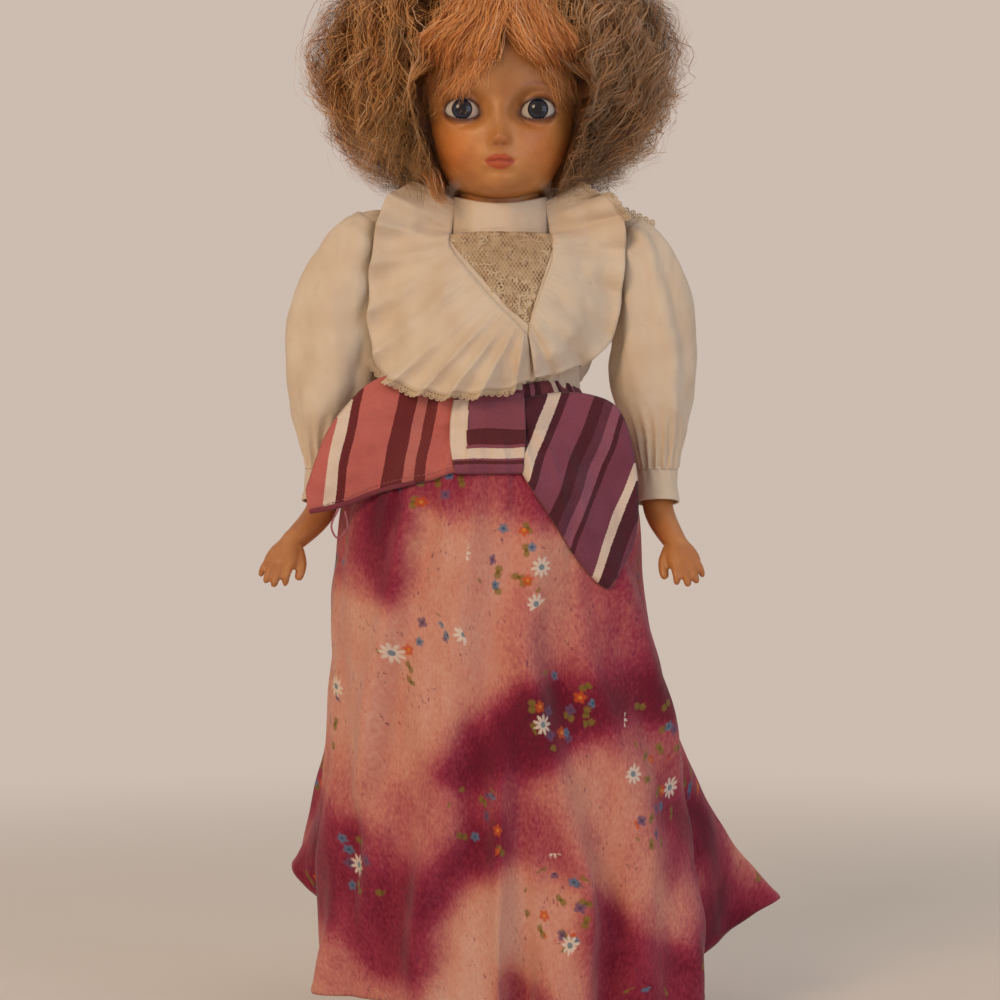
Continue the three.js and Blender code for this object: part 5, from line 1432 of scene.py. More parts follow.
    def build(self) -> None:
        """Makes and dresses every bunch."""
        rng, many = self.rng, self.in_lock
        sides, side_layer = self.guides()
        top, top_layer = self.parting()
        guide, layer = np.concatenate([sides, top]), np.r_[side_layer, top_layer]
        phase = 6.28 * ripple(guide[:, 8], (26, 26, 26), 4.0) + rng.normal(0, 0.6, len(guide))
        guide = self.sway(guide, phase, self.wave * rng.uniform(0.4, 1.3, len(guide)))
        swept = self.fringe()
        swept = self.sway(swept, rng.uniform(0, 6.28, len(swept)), rng.uniform(0.3, 1.2, len(swept)))
        lock = self.sway(self.fallen_lock(), np.zeros(1), np.full(1, 1.0))
        stray = guide[rng.integers(0, len(guide), self.loose)]
        out = unit(stray - np.array([0, 4, 390.0]))
        reach = rng.uniform(0.5, 4.5, (self.loose, 1)) * np.linspace(0, 1, self.steps)
        stray = stray + out * reach[..., None]
        bulk = self.clear_face(self.strands(guide, many, 1.9, 0.3, self.frizz))
        stray = self.clear_face(self.strands(stray, 1, 2.5, 0.0, 1.0))
        lock = self.strands(lock, self.in_fallen_lock, 2.2, 0.5, 0.6)
        swept = self.strands(swept, self.in_fringe_lock, 1.3, 0.0, 0.6)
        groups = (
            (None, bulk, 0.42, np.repeat(layer, many), 0.1),
            (None, stray, 0.2, np.ones(len(stray)), 0.0),
            (HairPart.LEFT, lock, 0.36, np.full(len(lock), 0.8), 0.35),
            (HairPart.FRINGE, swept, 0.3, np.ones(len(swept)), 0.5),
        )
        shade_masses = self.under()
        parts: dict[str, list] = {part.value: [] for part in HairPart}
        for part, paths, wide, depth, warm in groups:
            width = wide * rng.uniform(0.7, 1.3, len(paths))
            shade = self.colours(paths, depth, warm)
            names = self.part_of(paths) if part is None else np.full(len(paths), part.value)
            for name in sorted(set(names.tolist())):
                chosen = names == name
                parts[name].append(self.ribbons(paths[chosen], width[chosen], shade[chosen]))
        for name, pieces in parts.items():
            if name in shade_masses:
                pieces.append(shade_masses[name])
            shapes, tints = zip(*pieces)
            bunch = Shape.joined(shapes)
            piece = make(f"{name}_strands", bunch, self.finishes.hair, np.vstack(tints), closed=False)
            dress(piece, "head", "hair", name)
            log.info("%s: %d faces", name, len(bunch.faces))


# Fitting pieces to the doll

def puff(piece: Object, voxel: float, cap: float) -> None:
    """Fills a padded piece as stuffing does: cloth blown up a little from inside, then smoothed.

    Args:
        piece: A closed skin, slightly smaller than the finished piece.
        voxel: The remesh size in millimetres.
        cap: How far a point may move, in millimetres.
    """
    even = piece.modifiers.new("even", "REMESH")
    even.mode, even.voxel_size, even.use_smooth_shade = "VOXEL", voxel * MM, True
    apply_modifiers(piece)
    count, moments, pressure = len(piece.data.vertices), 20, 4.0
    scene = bpy.context.scene
    skin = piece.modifiers.new("stuffed", "CLOTH")
    skin.settings.use_pressure, skin.settings.uniform_pressure_force = True, pressure
    skin.settings.effector_weights.gravity = 0
    skin.point_cache.frame_end = moments
    before, after = np.empty(count * 3), np.empty(count * 3)
    piece.data.vertices.foreach_get("co", before)
    for moment in range(1, moments + 1):
        scene.frame_set(moment)
    shown = piece.evaluated_get(bpy.context.evaluated_depsgraph_get())
    shown.data.vertices.foreach_get("co", after)
    scene.frame_set(1)
    piece.modifiers.clear()
    move = (after - before).reshape(-1, 3)
    far = np.linalg.norm(move, axis=1, keepdims=True)
    move *= np.minimum(1, cap * MM / np.maximum(far, 1e-9))
    piece.data.vertices.foreach_set("co", (before.reshape(-1, 3) + move).ravel())
    soft = piece.modifiers.new("round", "SUBSURF")
    soft.levels = soft.render_levels = 1
    apply_modifiers(piece)
    piece.data.polygons.foreach_set("use_smooth", np.ones(len(piece.data.polygons), bool))


@dataclass
class Drape:
    """Finds the front of what is already made, so that cloth can be laid on it."""

    tree: BVHTree

    @classmethod
    def over(cls, pieces: list) -> "Drape":
        """Gathers pieces' faces in doll millimetres."""
        points, faces = [], []
        for piece in pieces:
            mesh = piece.data
            flat = np.empty(len(mesh.vertices) * 3)
            mesh.vertices.foreach_get("co", flat)
            start = len(points)
            points += (flat.reshape(-1, 3) / MM - DOLL_TO_FRAME).tolist()
            faces += [[k + start for k in face.vertices] for face in mesh.polygons]
        return cls(BVHTree.FromPolygons(points, faces))

    def front(self, x: Array, z: Array, rest: float | Array, rounds: int = 6) -> Array:
        """How far forward the surface lies at each place, as a cloth would bridge it.

        Args:
            x: Where, across.
            z: Where, up.
            rest: The depth where nothing lies behind.
            rounds: How often the result is smoothed; it never sinks behind what it lies on.

        Returns:
            The Y of each place.
        """
        y = np.zeros(x.shape) + rest
        for index in np.ndindex(x.shape):
            hit = self.tree.ray_cast(Vector((x[index], -200, z[index])), Vector((0, 1, 0)), 400)
            if hit[0] is not None:
                y[index] = min(y[index], hit[0].y)
        floor = y.copy()
        for _ in range(rounds if x.ndim == 2 else 0):
            pad = np.pad(y, 1, mode="edge")
            mean = (pad[:-2, 1:-1] + pad[2:, 1:-1] + pad[1:-1, :-2] + pad[1:-1, 2:]) / 4
            y = np.minimum(mean, floor)
        return y


def row_of_stitches(path: Array, pitch: float, long: float, radius: float, lift: Array) -> Shape:
    """A line of sewn stitches along a path, as one shape."""
    run = run_of(path)
    stitches = []
    for start in np.arange(pitch / 2, run[-1] - long, pitch):
        spots = places(np.linspace(start, start + long, 5), run, path)
        spots += lift * np.sin(np.linspace(0.25, np.pi - 0.25, 5))[:, None]
        stitches.append(strand(spots, radius, 5))
    return Shape.joined(stitches)


def lace_edge(
    path: Array, out: Array, pitch: float = 2.7, deep: float = 3.4, radius: float = 0.2
) -> Shape:
    """Scalloped lace sewn along a path: a headed edge, a crossing net and round scallops with picots.

    Args:
        path: The sewn edge.
        out: The way the lace runs from each point, at length 1.
        pitch: The width of a scallop.
        deep: How far the lace reaches.
        radius: The thread's radius.

    Returns:
        The lace as one shape.
    """
    run = run_of(path)
    count = max(3, int(run[-1] / pitch))
    side, foot = run[-1] / count, 0.32 * deep
    threads = []

    def thread(at: Array, reach: float | Array, share: float = 1.0) -> None:
        """Adds a thread through points at distances along the edge and reaches away from it."""
        spots = places(at, run, path) + places(at, run, out) * np.broadcast_to(reach, len(at))[:, None]
        threads.append(strand(spots, radius * share, 4))

    whole = np.linspace(0, run[-1], count * 8 + 1)
    thread(whole, 0.1, 1.3)
    thread(whole, foot)
    turn = whole / side * np.pi
    for phase in (0, np.pi / 2):
        thread(whole, foot * np.abs(np.sin(turn + phase)), 0.8)
    t = np.linspace(0, np.pi, 9)
    for k in range(count):
        middle = (k + 0.5) * side
        for size, grow, share in ((0.5, 0.68, 1.2), (0.3, 0.38, 0.9)):
            thread(middle - side * size * np.cos(t), deep * (0.32 + grow * np.sin(t)), share)
        for tilt in (-0.3, 0.0, 0.3):
            at = np.array([middle, middle + tilt * side * 0.6, middle + tilt * side])
            thread(at, deep * np.array([0.32, 0.66, 0.94]), 0.8)
    return Shape.joined(threads)


# Body

def lean(z: Array) -> Array:
    """How far towards -X the soft waist leans at a height."""
    return -4 * step(224, 250, z) * (1 - step(276, 298, z))


@dataclass
class Torso:
    """The stuffed cloth torso, its filling, and the cords that hold head and limbs, with their parts."""

    finishes: Finishes
    profile: tuple = (
        (189, 8, 8), (193, 18, 15), (208, 22, 21), (226, 22, 22), (231, 41, 27), (250, 35, 25),
        (262, 35, 25), (300, 41, 29), (320, 41, 20), (324.5, 35, 18), (327.5, 24, 16), (330, 16, 15.4),
        (333.5, 15.3, 15.3),
    )

    def skin(self, grow: float, low: float, high: float, rows: int = 72, columns: int = 96) -> Array:
        """The torso's rings, grown or shrunk, between two heights."""
        z = np.linspace(low, high, rows)
        wide, deep = along(self.profile, z).T
        turn = turns(columns)
        x = lean(z)[:, None] + np.maximum(wide + grow, 1)[:, None] * np.cos(turn)
        y = np.maximum(deep + grow, 1)[:, None] * np.sin(turn)
        return np.stack([x, y, z[:, None] + 0 * turn], -1)

    def build(self) -> None:
        """Makes and dresses the torso and what is strung through it."""
        cover = make("torso_cover_muslin", capped(self.skin(-0.9, 189.4, 333)), self.finishes.muslin)
        puff(cover, 4.0, 0.9)
        z = np.linspace(232, 304, 90)
        wide, _ = along(self.profile, z).T
        welts = []
        for x in (-1, 1):
            path = np.stack([lean(z) + x * (wide + 0.1), 0 * z, z], -1)
            welts.append(strand(path, 0.45, 6))
            welts.append(row_of_stitches(path, 2.2, 1.5, 0.22, np.array([x * 0.45, 0, 0])))
        seams = make("torso_seams", Shape.joined(welts), self.finishes.muslin)
        neck = make("torso_neck_hem", cloth(self.neck_hem(), 0.9, True), self.finishes.muslin)
        for piece in (seams, neck):
            dress(piece, "torso", "muslin")
        dress(cover, "torso", "muslin", "torso_cover")
        grid = self.skin(-3.2, 196, 326, 60, 80)
        grid += normals(grid, True) * (-1.5 * np.abs(ripple(grid, (9, 9, 9), 2)))[..., None]
        stuffing = make("torso_filling", capped(grid), self.finishes.fibre)
        dress(stuffing, "torso", "filling", "torso_stuffing")
        finishes = dict.fromkeys(("neck_drawcord", "arm_elastic", "leg_elastic"), self.finishes.cord)
        finishes["sash_snap"] = self.finishes.pearl
        for side in Side:
            for part in ("shoulder_cup", "hip_cup", "arm_washer", "leg_washer"):
                finishes[f"{side.word}_{part}"] = self.finishes.nylon
        for name, finish in finishes.items():
            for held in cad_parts[name].material_slots:
                held.material = finish
        log.info("torso: cover, seams, filling and stringing")

    def neck_hem(self) -> Array:
        """The casing at the neck that the drawcord pulls into the head's groove."""
        profile = [(333, 15.2), (335, 13.6), (336.2, 13.0), (337.2, 13.0), (338.6, 14.4), (341, 14.8)]
        z = np.linspace(333, 341, 22)
        radius = np.interp(z, *zip(*profile))
        turn = turns(144)
        grid = ring(turn) * (radius[:, None] + 0.22 * np.sin(26 * turn))[..., None]
        grid[..., 2] = z[:, None]
        return grid[::-1]


def cast(limb: str, side: Side, shape: Shape, voxel: float, vinyl: Material) -> None:
    """Makes and dresses a vinyl limb in one skin; it is modelled at +X and turned over for the left.

    Args:
        limb: The limb's word in its names.
        side: The side that it is for.
        shape: Its overlapping closed parts.
        voxel: The remesh size in millimetres.
        vinyl: Its finish.
    """
    shape.points = shape.points * [side.value, 1, 1]
    name = f"{side.word}_{limb}"
    piece = make(f"{name}_vinyl", shape, vinyl)
    melt(piece, voxel)
    dress(piece, name, "vinyl", name)
    log.info("%s: %d faces", name, len(piece.data.polygons))


@dataclass
class Arm:
    """A vinyl arm with a modelled hand: palm, four fingers and a thumb."""

    finishes: Finishes
    side: Side
    elbow: tuple
    low: tuple
    wrist: tuple
    tips: tuple
    slant: float
    # How far out each finger lies, how far it reaches, its radius, and how far it curls.
    fingers: tuple = (
        (-5.0, 0.92, 1.75, 0.9), (-1.75, 1.04, 1.85, 0.3), (1.6, 1.0, 1.85, 0.3), (4.8, 0.86, 1.6, 1.0))

    def grid(self) -> Array:
        """The arm from the shoulder to the wrist, with its inner face flat."""
        top = ARM_FACE_X + 12
        keys = [
            [top - 0.5, 1, 332.5, 2.4, 2.4], [top - 0.3, 1, 330, 7.4, 7.4], [top, 1, SHOULDER_Z, 12, 11.5],
            [top + 0.3 * self.slant, 2, 297.9, 9.2, 9.2], [top + 0.7 * self.slant, 3, 264.2, 7.8, 8],
            [*self.elbow, 6.3, 6.3], [*self.low, 6.3, 6.2], [*self.wrist, 4.8, 4.4],
        ]
        grid = tube(keys, 90, 48)
        grid[..., 0] = np.maximum(grid[..., 0], ARM_FACE_X)
        return grid

    def hand(self) -> Shape:
        """Palm, fingers and thumb as overlapping closed shapes."""
        wrist, tips = np.array(self.wrist, float), np.array(self.tips, float)
        way = (tips - wrist) / np.linalg.norm(tips - wrist)
        wide = np.array([1.0, 0, 0]) - way * way[0]
        wide /= np.linalg.norm(wide)
        back = np.cross(way, wide)
        back *= -np.sign(back[1])
        long = np.linalg.norm(tips - wrist)

        def at(ahead: float, out: float, up: float = 0.0) -> Array:
            """A point of the hand: along it, across it outwards, and towards its back."""
            return wrist + way * ahead * long + wide * out + back * up

        palm = [
            [*at(-0.12, 0), 4.7, 4.3], [*at(0.1, 0.1), 5.2, 4.2], [*at(0.3, 0.2), 6.6, 4.1],
            [*at(0.5, 0.1), 7.0, 3.5], [*at(0.62, 0), 6.4, 2.6], [*at(0.68, 0), 4.5, 1.4],
        ]
        parts = [tube(palm, 24, 32, wide)]
        for out, reach, size, curl in self.fingers:
            finger = [
                [*at(0.5, out * 0.95, 0.3), size, size],
                [*at(0.5 + 0.35 * (reach - 0.5), out, 0.7), size, size * 0.95],
                [*at(0.5 + 0.72 * (reach - 0.5), out * 1.08, 0.2), size * 0.94, size * 0.9],
                [*at(reach - 0.03, out * 1.16, -0.7 - curl), size * 0.8, size * 0.75],
                [*at(reach + 0.02, out * 1.16, -1.0 - curl), size * 0.4, size * 0.4],
            ]
            parts.append(tube(finger, 18, 16, wide))
        thumb = [
            [*at(0.12, -3.6, -0.4), 2.6, 2.6], [*at(0.32, -7.0, -1.6), 2.4, 2.3],
            [*at(0.5, -8.6, -2.6), 2.1, 2.0], [*at(0.64, -9.0, -3.4), 1.7, 1.6],
            [*at(0.68, -9.0, -3.7), 0.8, 0.8],
        ]
        parts.append(tube(thumb, 18, 16, wide))
        return Shape.joined(map(capped, parts))

    def build(self) -> None:
        """Makes and dresses the arm."""
        shape = Shape.joined([capped(self.grid()), self.hand()])
        cast("arm", self.side, shape, 0.62, self.finishes.vinyl)


@dataclass
class Leg:
    """A vinyl leg with a bare foot and toes."""

    finishes: Finishes
    side: Side
    hip_x: float = 36.9
    # How far out each toe lies, how far it reaches, and its radius.
    toes: tuple = (
        (-5.2, -35.5, 3.0), (-1.2, -34.8, 2.1), (2.0, -33.6, 2.0), (4.7, -32, 1.9), (7.0, -30, 1.8))

    def build(self) -> None:
        """Makes and dresses the leg."""
        h = self.hip_x
        keys = [
            [h - 0.5, 0, 224.3, 3, 3], [h - 0.3, 0, 222, 8.5, 9.6], [h, 0, 208, 12.2, 16],
            [h - 1.5, 0, 178.9, 12.2, 15], [h - 3.5, -1, 147.7, 11.3, 12.8], [h - 5, -1, 112.3, 9.8, 10.4],
            [h - 6, 2.5, 85.3, 9.8, 10.8], [h - 8, 2, 47.8, 7.8, 7.6], [27.9, 1, 20.8, 5.8, 6.4],
            [27.9, 0, 8.3, 6.4, 7.4],
        ]
        knee = [
            [h - 5.2, -6, 106, 2, 2], [h - 5.2, -7.6, 100, 6, 3.4], [h - 5.4, -7, 93, 5, 2.6],
            [h - 5.6, -5.6, 88, 2, 1.5],
        ]
        foot = [
            [27.9, 24, 4, 4, 5.6], [27.9, 20, 6, 6.9, 8.4], [27.9, 6, 7, 7.4, 10.2], [28.4, -9, 5, 7.9, 8],
            [28.9, -21, 3.6, 8.4, 5.4], [29.1, -27, 2.8, 7.6, 3.6],
        ]
        parts = [tube(keys, 110, 40), tube(knee, 16, 20), tube(foot, 44, 40)]
        for out, reach, size in self.toes:
            toe = [
                [29 + out * 0.95, -22, 3.4, size, size], [29 + out, reach + 4, size + 0.6, size, size],
                [29 + out, reach + 1, size + 0.1, size * 0.9, size * 0.85],
                [29 + out, reach, size - 0.2, size * 0.4, size * 0.4],
            ]
            parts.append(tube(toe, 14, 16))
        shape = Shape.joined(map(capped, parts))
        shape.points[:, 0] = np.maximum(shape.points[:, 0], LEG_FACE_X)
        shape.points[:, 2] = np.maximum(shape.points[:, 2], 0)
        cast("leg", self.side, shape, 0.95, self.finishes.vinyl)


# Blouse

@dataclass
class Blouse:
    """A gathered voile blouse: fronts round a lace yoke, buttoned backs, a band collar, two flounces."""

    finishes: Finishes
    thick: float = 0.5
    hole: float = 15.0
    drop: float = 66.0
    tucked: float = 0.84
    waist_wide: float = 36.8
    waist_deep: float = 26.8
    foot_z: float = 252.0
    profile: tuple = (
        (252, 36.5, 26.5), (263, 36.5, 26.5), (265, 38.4, 32.5), (268.5, 40.6, 36.8), (275, 42.6, 39.3),
        (284, 44.6, 39.1), (300, 46, 34), (316, 45.6, 28), (321, 45.2, 26), (325, 44, 24),
        (328, 40.5, 22.5), (330, 33, 21), (331, 22.5, 19.8),
    )
    bottom: tuple = (
        (-50, 276.5), (-40, 271), (-30, 267), (-19, 264.6), (0, 266), (16, 269), (30, 274), (42, 280),
        (50, 281),
    )

    def height(self, share: Array) -> Array:
        """The profile's height at a share of the way from the collar to the tucked edge."""
        return COLLAR_Z - self.drop * np.clip(share / self.tucked, 0, 1)

    def yoke_edges(self, z: Array) -> tuple[Array, Array]:
        """The yoke's left and right edges at a height; they meet below its point."""
        left = np.interp(z, [289, 327], [11.0, -21.0])
        right = np.interp(z, [289, 327], [11.0, 23.0])
        return left, right

    def body(self, turn: Array, share: Array) -> Array:
        """Points of the bodice.

        Args:
            turn: The angle round the body.
            share: From 0 at the collar to 1 at the tucked edge.

        Returns:
            Points with one more axis than share.
        """
        front = step(0.15, -0.25, np.sin(turn))
        low = along(self.bottom, (44 * np.cos(turn)).ravel())[:, 0].reshape(turn.shape)
        low = low * front + (270 + 2 * np.cos(turn)) * (1 - front)
        out = np.clip(share / self.tucked, 0, 1)
        tuck = np.clip((share - self.tucked) / 0.16, 0, 1)
        z = COLLAR_Z - (COLLAR_Z - low) * out
        level = COLLAR_Z - self.drop + (z - low) * self.drop / (COLLAR_Z - low)
        wide, deep = along(self.profile, level.ravel()).T
        wide, deep = wide.reshape(z.shape), deep.reshape(z.shape)
        under = step(0, 0.35, tuck)
        wide = wide + (self.waist_wide - wide) * under
        deep = deep + (self.waist_deep - deep) * under
        z = z - 1.6 * np.sin(np.pi * np.clip(tuck / 0.35, 0, 1))
        z = z - (low - self.foot_z) * step(0.2, 1.0, tuck)
        return np.stack([lean(z) + wide * np.cos(turn), deep * np.sin(turn), z], -1)

    def side_turn(self, share: Array) -> Array:
        """How far forward of the side seam, as an angle, the armhole's edge lies."""
        z = self.height(share)
        _, deep = along(self.profile, z).T
        hole = np.sqrt(np.maximum(self.hole**2 - (z - SHOULDER_Z) ** 2, 0)) * step(328.5, 326.5, z)
        return np.arcsin(np.clip(hole / deep, 0, 0.95))

    def gather(self, grid: Array, share: Array, seed: float, full: float = 1.0) -> Array:
        """Adds the soft folds and the small gathers above the waist."""
        n = normals(grid, False)
        sign = np.sign((n[..., :2] * grid[..., :2]).sum(-1, keepdims=True))
        n = n * np.where(sign == 0, 1, sign)
        arc = np.r_[0, np.cumsum(np.linalg.norm(np.diff(grid, axis=1), axis=2).mean(0))]
        wander = ripple(grid, (16, 16, 30), seed)
        low = step(0.45, 0.86, share) * (1 - 0.5 * step(0.88, 1.0, share))
        top = step(0.16, 0.0, share)
        fine = np.sin(arc / 4.4 * 2 * np.pi / 1.3 + 3.2 * wander)
        move = full * (0.75 * fine * low + 0.3 * fine * top)
        broad = full * 1.5 * ripple(grid, (17, 17, 26), seed + 3)
        move += broad * step(0.05, 0.4, share) * (1 - step(0.9, 1, share))
        move += 0.45 * ripple(grid, (5, 5, 9), seed + 5) * step(0.1, 0.4, share)
        move = move * step(0.2, 3.5, np.abs(grid[..., 1]))
        return grid + n * move[..., None]

    def fronts(self) -> Object:
        """The left and right fronts, meeting along the yoke's edges and below its point."""
        share = np.linspace(0.01, 1, 110)
        z = self.height(share)
        wide, _ = along(self.profile, z).T
        hole = self.side_turn(share)
        left, right = self.yoke_edges(z)
        meet = [np.arccos(np.clip((edge - lean(z)) / wide, -0.98, 0.98)) for edge in (left, right)]
        spans = ((90, np.pi + hole, 2 * np.pi - meet[0]), (70, 2 * np.pi - meet[1], 2 * np.pi - hole))
        layers = []
        for columns, first, last in spans:
            turn = first[:, None] + (last - first)[:, None] * np.linspace(0, 1, columns)
            level = share[:, None] + 0 * turn
            layers.append(cloth(self.gather(self.body(turn, level), level, 4.0), -self.thick))
        front = make("blouse_front_voile", Shape.joined(layers), self.finishes.voile)
        dress(front, "torso", "blouse", "blouse_front")
        return front

    def backs(self) -> None:
        """The two backs, overlapping at the buttons."""
        share, t = np.linspace(0.01, 1, 100), np.linspace(0, 1, 64)
        hole = self.side_turn(share)
        spans = {Side.RIGHT: (hole, np.pi / 2 + 0.10), Side.LEFT: (np.pi / 2 + 0.02, np.pi - hole)}
        for side, (first, last) in spans.items():
            turn = (first + (last - first) * t[:, None]).T
            level = share[:, None] + 0 * turn
            grid = self.gather(self.body(turn, level), level, 9.0 if side is Side.LEFT else 13.0, 0.8)
            if side is Side.RIGHT:
                grid[..., 1] += 0.9 * step(1.45, 1.62, turn)
            piece = make(f"blouse_back_{side.word}_voile", cloth(grid, -self.thick), self.finishes.voile)
            dress(piece, "torso", "blouse", f"blouse_back_{side.word}")

    def yoke(self) -> None:
        """The lace inset: fine net over a tan backing, with paler leaf and flower motifs."""
        share, t = np.linspace(0.0, 0.62, 70), np.linspace(0, 1, 60)
        z = COLLAR_Z - self.drop * share / self.tucked
        wide, _ = along(self.profile, z).T
        left, right = self.yoke_edges(z)
        left, right = left - 0.7, right + 0.7
        x = left[:, None] + (right - left)[:, None] * t
        turn = 2 * np.pi - np.arccos(np.clip((x - lean(z)[:, None]) / wide[:, None], -0.99, 0.99))
        level = share[:, None] + 0 * x
        grid = self.body(turn, level)
        grid[..., 1] += 0.7
        net = surface(grid + [0, -0.45, 0])
        front = Drape(BVHTree.FromPolygons(net.points.tolist(), net.faces))
        threads = []
        rng = np.random.default_rng(21)
        for slope in (0.62, -0.62):
            for start in np.arange(-60, 90, 1.55):
                run = np.linspace(288.5, 331, 52)
                across = start + slope * (run - 288.5) + 0.12 * np.sin(run * 3.1)
                edge = np.interp(run, z[::-1], left[::-1]), np.interp(run, z[::-1], right[::-1])
                inside = (across > edge[0] + 0.2) & (across < edge[1] - 0.2)
                if inside.sum() < 4:
                    continue
                across, run = across[inside], run[inside]
                path = np.stack([across, front.front(across, run, 0) - 0.25, run], -1)
                threads.append(strand(path, 0.16, 4))
        out = np.linspace(0, 1, 6)
        for _ in range(95):
            up = rng.uniform(290, 330)
            edge = np.interp(up, z[::-1], left[::-1]) + 1.2, np.interp(up, z[::-1], right[::-1]) - 1.2
            if edge[1] - edge[0] < 1:
                continue
            across, tilt = rng.uniform(*edge), rng.uniform(0, np.pi)
            size = rng.uniform(0.8, 1.7)
            for petal in range(rng.integers(2, 5)):
                angle = tilt + petal * 1.25
                px = across + np.cos(angle) * out * size * 1.5
                pz = up + np.sin(angle) * out * size * 1.5
                path = np.stack([px, front.front(px, pz, 0) - 0.42, pz], -1)
                threads.append(strand(path, 0.12 + 0.3 * np.sin(np.pi * out), 5))
        backing = make("yoke_backing", cloth(grid, -0.35), self.finishes.tulle)
        lace = make("yoke_lace", Shape.joined(threads), self.finishes.lace)
        dress(backing, "torso", "lace", "lace_yoke")
        dress(lace, "torso", "lace")

    def collar(self) -> None:
        """The band collar, folded over at its top and stitched at its foot."""
        turn = turns(200)
        rise = np.r_[np.linspace(0, 1, 16), 1.04, 1.0]
        grow = np.r_[0.25 * np.sin(np.linspace(0, np.pi, 16)), -0.35, -0.9]
        z = 329.8 + 17.2 * rise
        slack = 0.18 * np.sin(9 * turn + 1) + 0.12 * np.sin(17 * turn)
        x = (21 + grow[:, None] + slack) * np.cos(turn)
        y = (19.5 + grow[:, None] + slack) * np.sin(turn)
        front = np.clip(-np.sin(turn), 0, 1)
        height = z[:, None] - 4.6 * (front**2) * rise[:, None]
        grid = np.stack([x, y, height], -1)
        band = make("collar_band_voile", cloth(grid, -1.0, True), self.finishes.voile)
        path = np.stack([21.15 * np.cos(turn), 19.65 * np.sin(turn), 332.6 + 0 * turn], -1)
        sewn = row_of_stitches(path, 1.9, 1.2, 0.14, np.zeros(3))
        stitches = make("collar_stitches", sewn, self.finishes.voile)
        dress(band, "torso", "blouse", "collar_band")
        dress(stitches, "torso", "blouse")

    def buttons(self) -> None:
        """Three small pearl buttons down the back, each sewn on with a thread."""
        section = spline([
            (0.0, 0.35), (0.9, 0.3), (1.5, 0.35), (1.75, 0.75), (2.25, 0.95), (2.6, 0.6), (2.6, 0.1),
            (2.2, -0.25), (1.0, -0.4), (0.0, -0.4),
        ], 40)
        radius, up = np.abs(section[:, :1]), section[:, 1:]
        turn, t = turns(40), np.linspace(-1, 1, 9)
        for word, z in (("top", 317), ("middle", 297), ("bottom", 277)):
            deep = np.interp(z, [row[0] for row in self.profile], [row[2] for row in self.profile])
            x, y = -1.5 + radius * np.cos(turn), deep + 1.7 + up + 0 * turn
            shapes = [capped(np.stack([x, y, z + radius * np.sin(turn)], -1))]
            for lift in (-0.45, 0.45):
                path = np.stack([-1.5 + 0.9 * t, deep + 2.2 + 0.25 * (1 - t**2), z + lift + 0 * t], -1)
                shapes.append(strand(path, 0.17, 5))
            button = make(f"button_{word}", Shape.joined(shapes), self.finishes.pearl)
            dress(button, "torso", "button", f"back_button_{word}")

    def flounce(self, side: Side, seam: Sequence, hem: Sequence, laced: slice, drape: Drape) -> None:
        """One shoulder flounce: gathered into the yoke's edge, rippling out over the sleeve head.

        Args:
            side: Which one.
            seam: Points (x, z) of its sewn edge, from the shoulder down.
            hem: Points (x, z, lift) of its free edge.
            laced: Which of the free edge's 230 points carry lace.
            drape: What it lies over.
        """
        count, across = 230, 26
        inner, outer = spline(seam, count), spline(hem, count)
        t = np.linspace(0, 1, across)
        x = inner[:, :1] + (outer[:, :1] - inner[:, :1]) * t
        z = inner[:, 1:2] + (outer[:, 1:2] - inner[:, 1:2]) * t
        lift = outer[:, 2:3] * t**1.5
        rest = -7 - 7 * t + 9 * step(338, 352, z) * t
        y = drape.front(x, z, rest, 26) - 0.7 - lift
        grid = np.stack([x, y, z], -1)
        arc = run_of(outer[:, :2])
        phase = (arc / 15 * 2 * np.pi + 1.9 * np.sin(arc / 19))[:, None]
        fine = np.sin(arc / 4.1 * 2 * np.pi + 1.6 * np.sin(arc / 9))[:, None]
        deep = 2.3 * np.sin(phase) * t**0.9 + 0.16 * fine * (1 - t) ** 3 * (t > 0)
        deep = deep + 1.5 * ripple(grid, (11, 11, 19), 7) * np.sin(np.pi * t)
        deep = deep + 0.5 * ripple(grid, (4.5, 4.5, 7), 2) * np.sin(np.pi * t)
        grid[..., 1] -= 1.6 * t + deep
        swing = 1.2 * np.cos(phase) * t**1.5
        way = unit(outer[:, :2] - inner[:, :2])
        grid[..., 0] += -way[:, 1:2] * swing
        grid[..., 2] += way[:, 0:1] * swing
        name = f"{side.word}_flounce"
        flounce = make(name, cloth(grid, 0.35), self.finishes.voile)
        edge = grid[:, -1]
        out = unit(edge - grid[:, -3])
        trim = make(f"{name}_lace", lace_edge(edge[laced], out[laced]), self.finishes.lace)
        dress(flounce, "torso", "blouse", f"{side.word}_ruffle")
        dress(trim, "torso", "lace")
        area = face_area(grid)
        long = float(np.linalg.norm(np.diff(edge, axis=0), axis=1).sum())

    def shoulder_trim(self) -> None:
        """The lace edge that shows behind the right shoulder."""
        path = spline([[24, -2, 344], [33, 2, 346], [43, 5, 343.5], [54, 6, 339.5], [64, 5, 334.5]], 60)
        out = unit(np.tile([0.1, 0.25, 1.0], (60, 1)) + np.linspace(0, 0.5, 60)[:, None] * [1, 0, 0])
        trim = make("shoulder_trim", lace_edge(path, out, 2.9, 4.2, 0.24), self.finishes.lace)
        dress(trim, "torso", "lace", "shoulder_lace")

    def build(self) -> Object:
        """Makes and dresses all of the blouse but its flounces, and returns its front."""
        front = self.fronts()
        self.backs()
        self.yoke()
        self.collar()
        self.buttons()
        self.shoulder_trim()
        log.info("blouse: fronts, backs, yoke, collar and buttons")
        return front

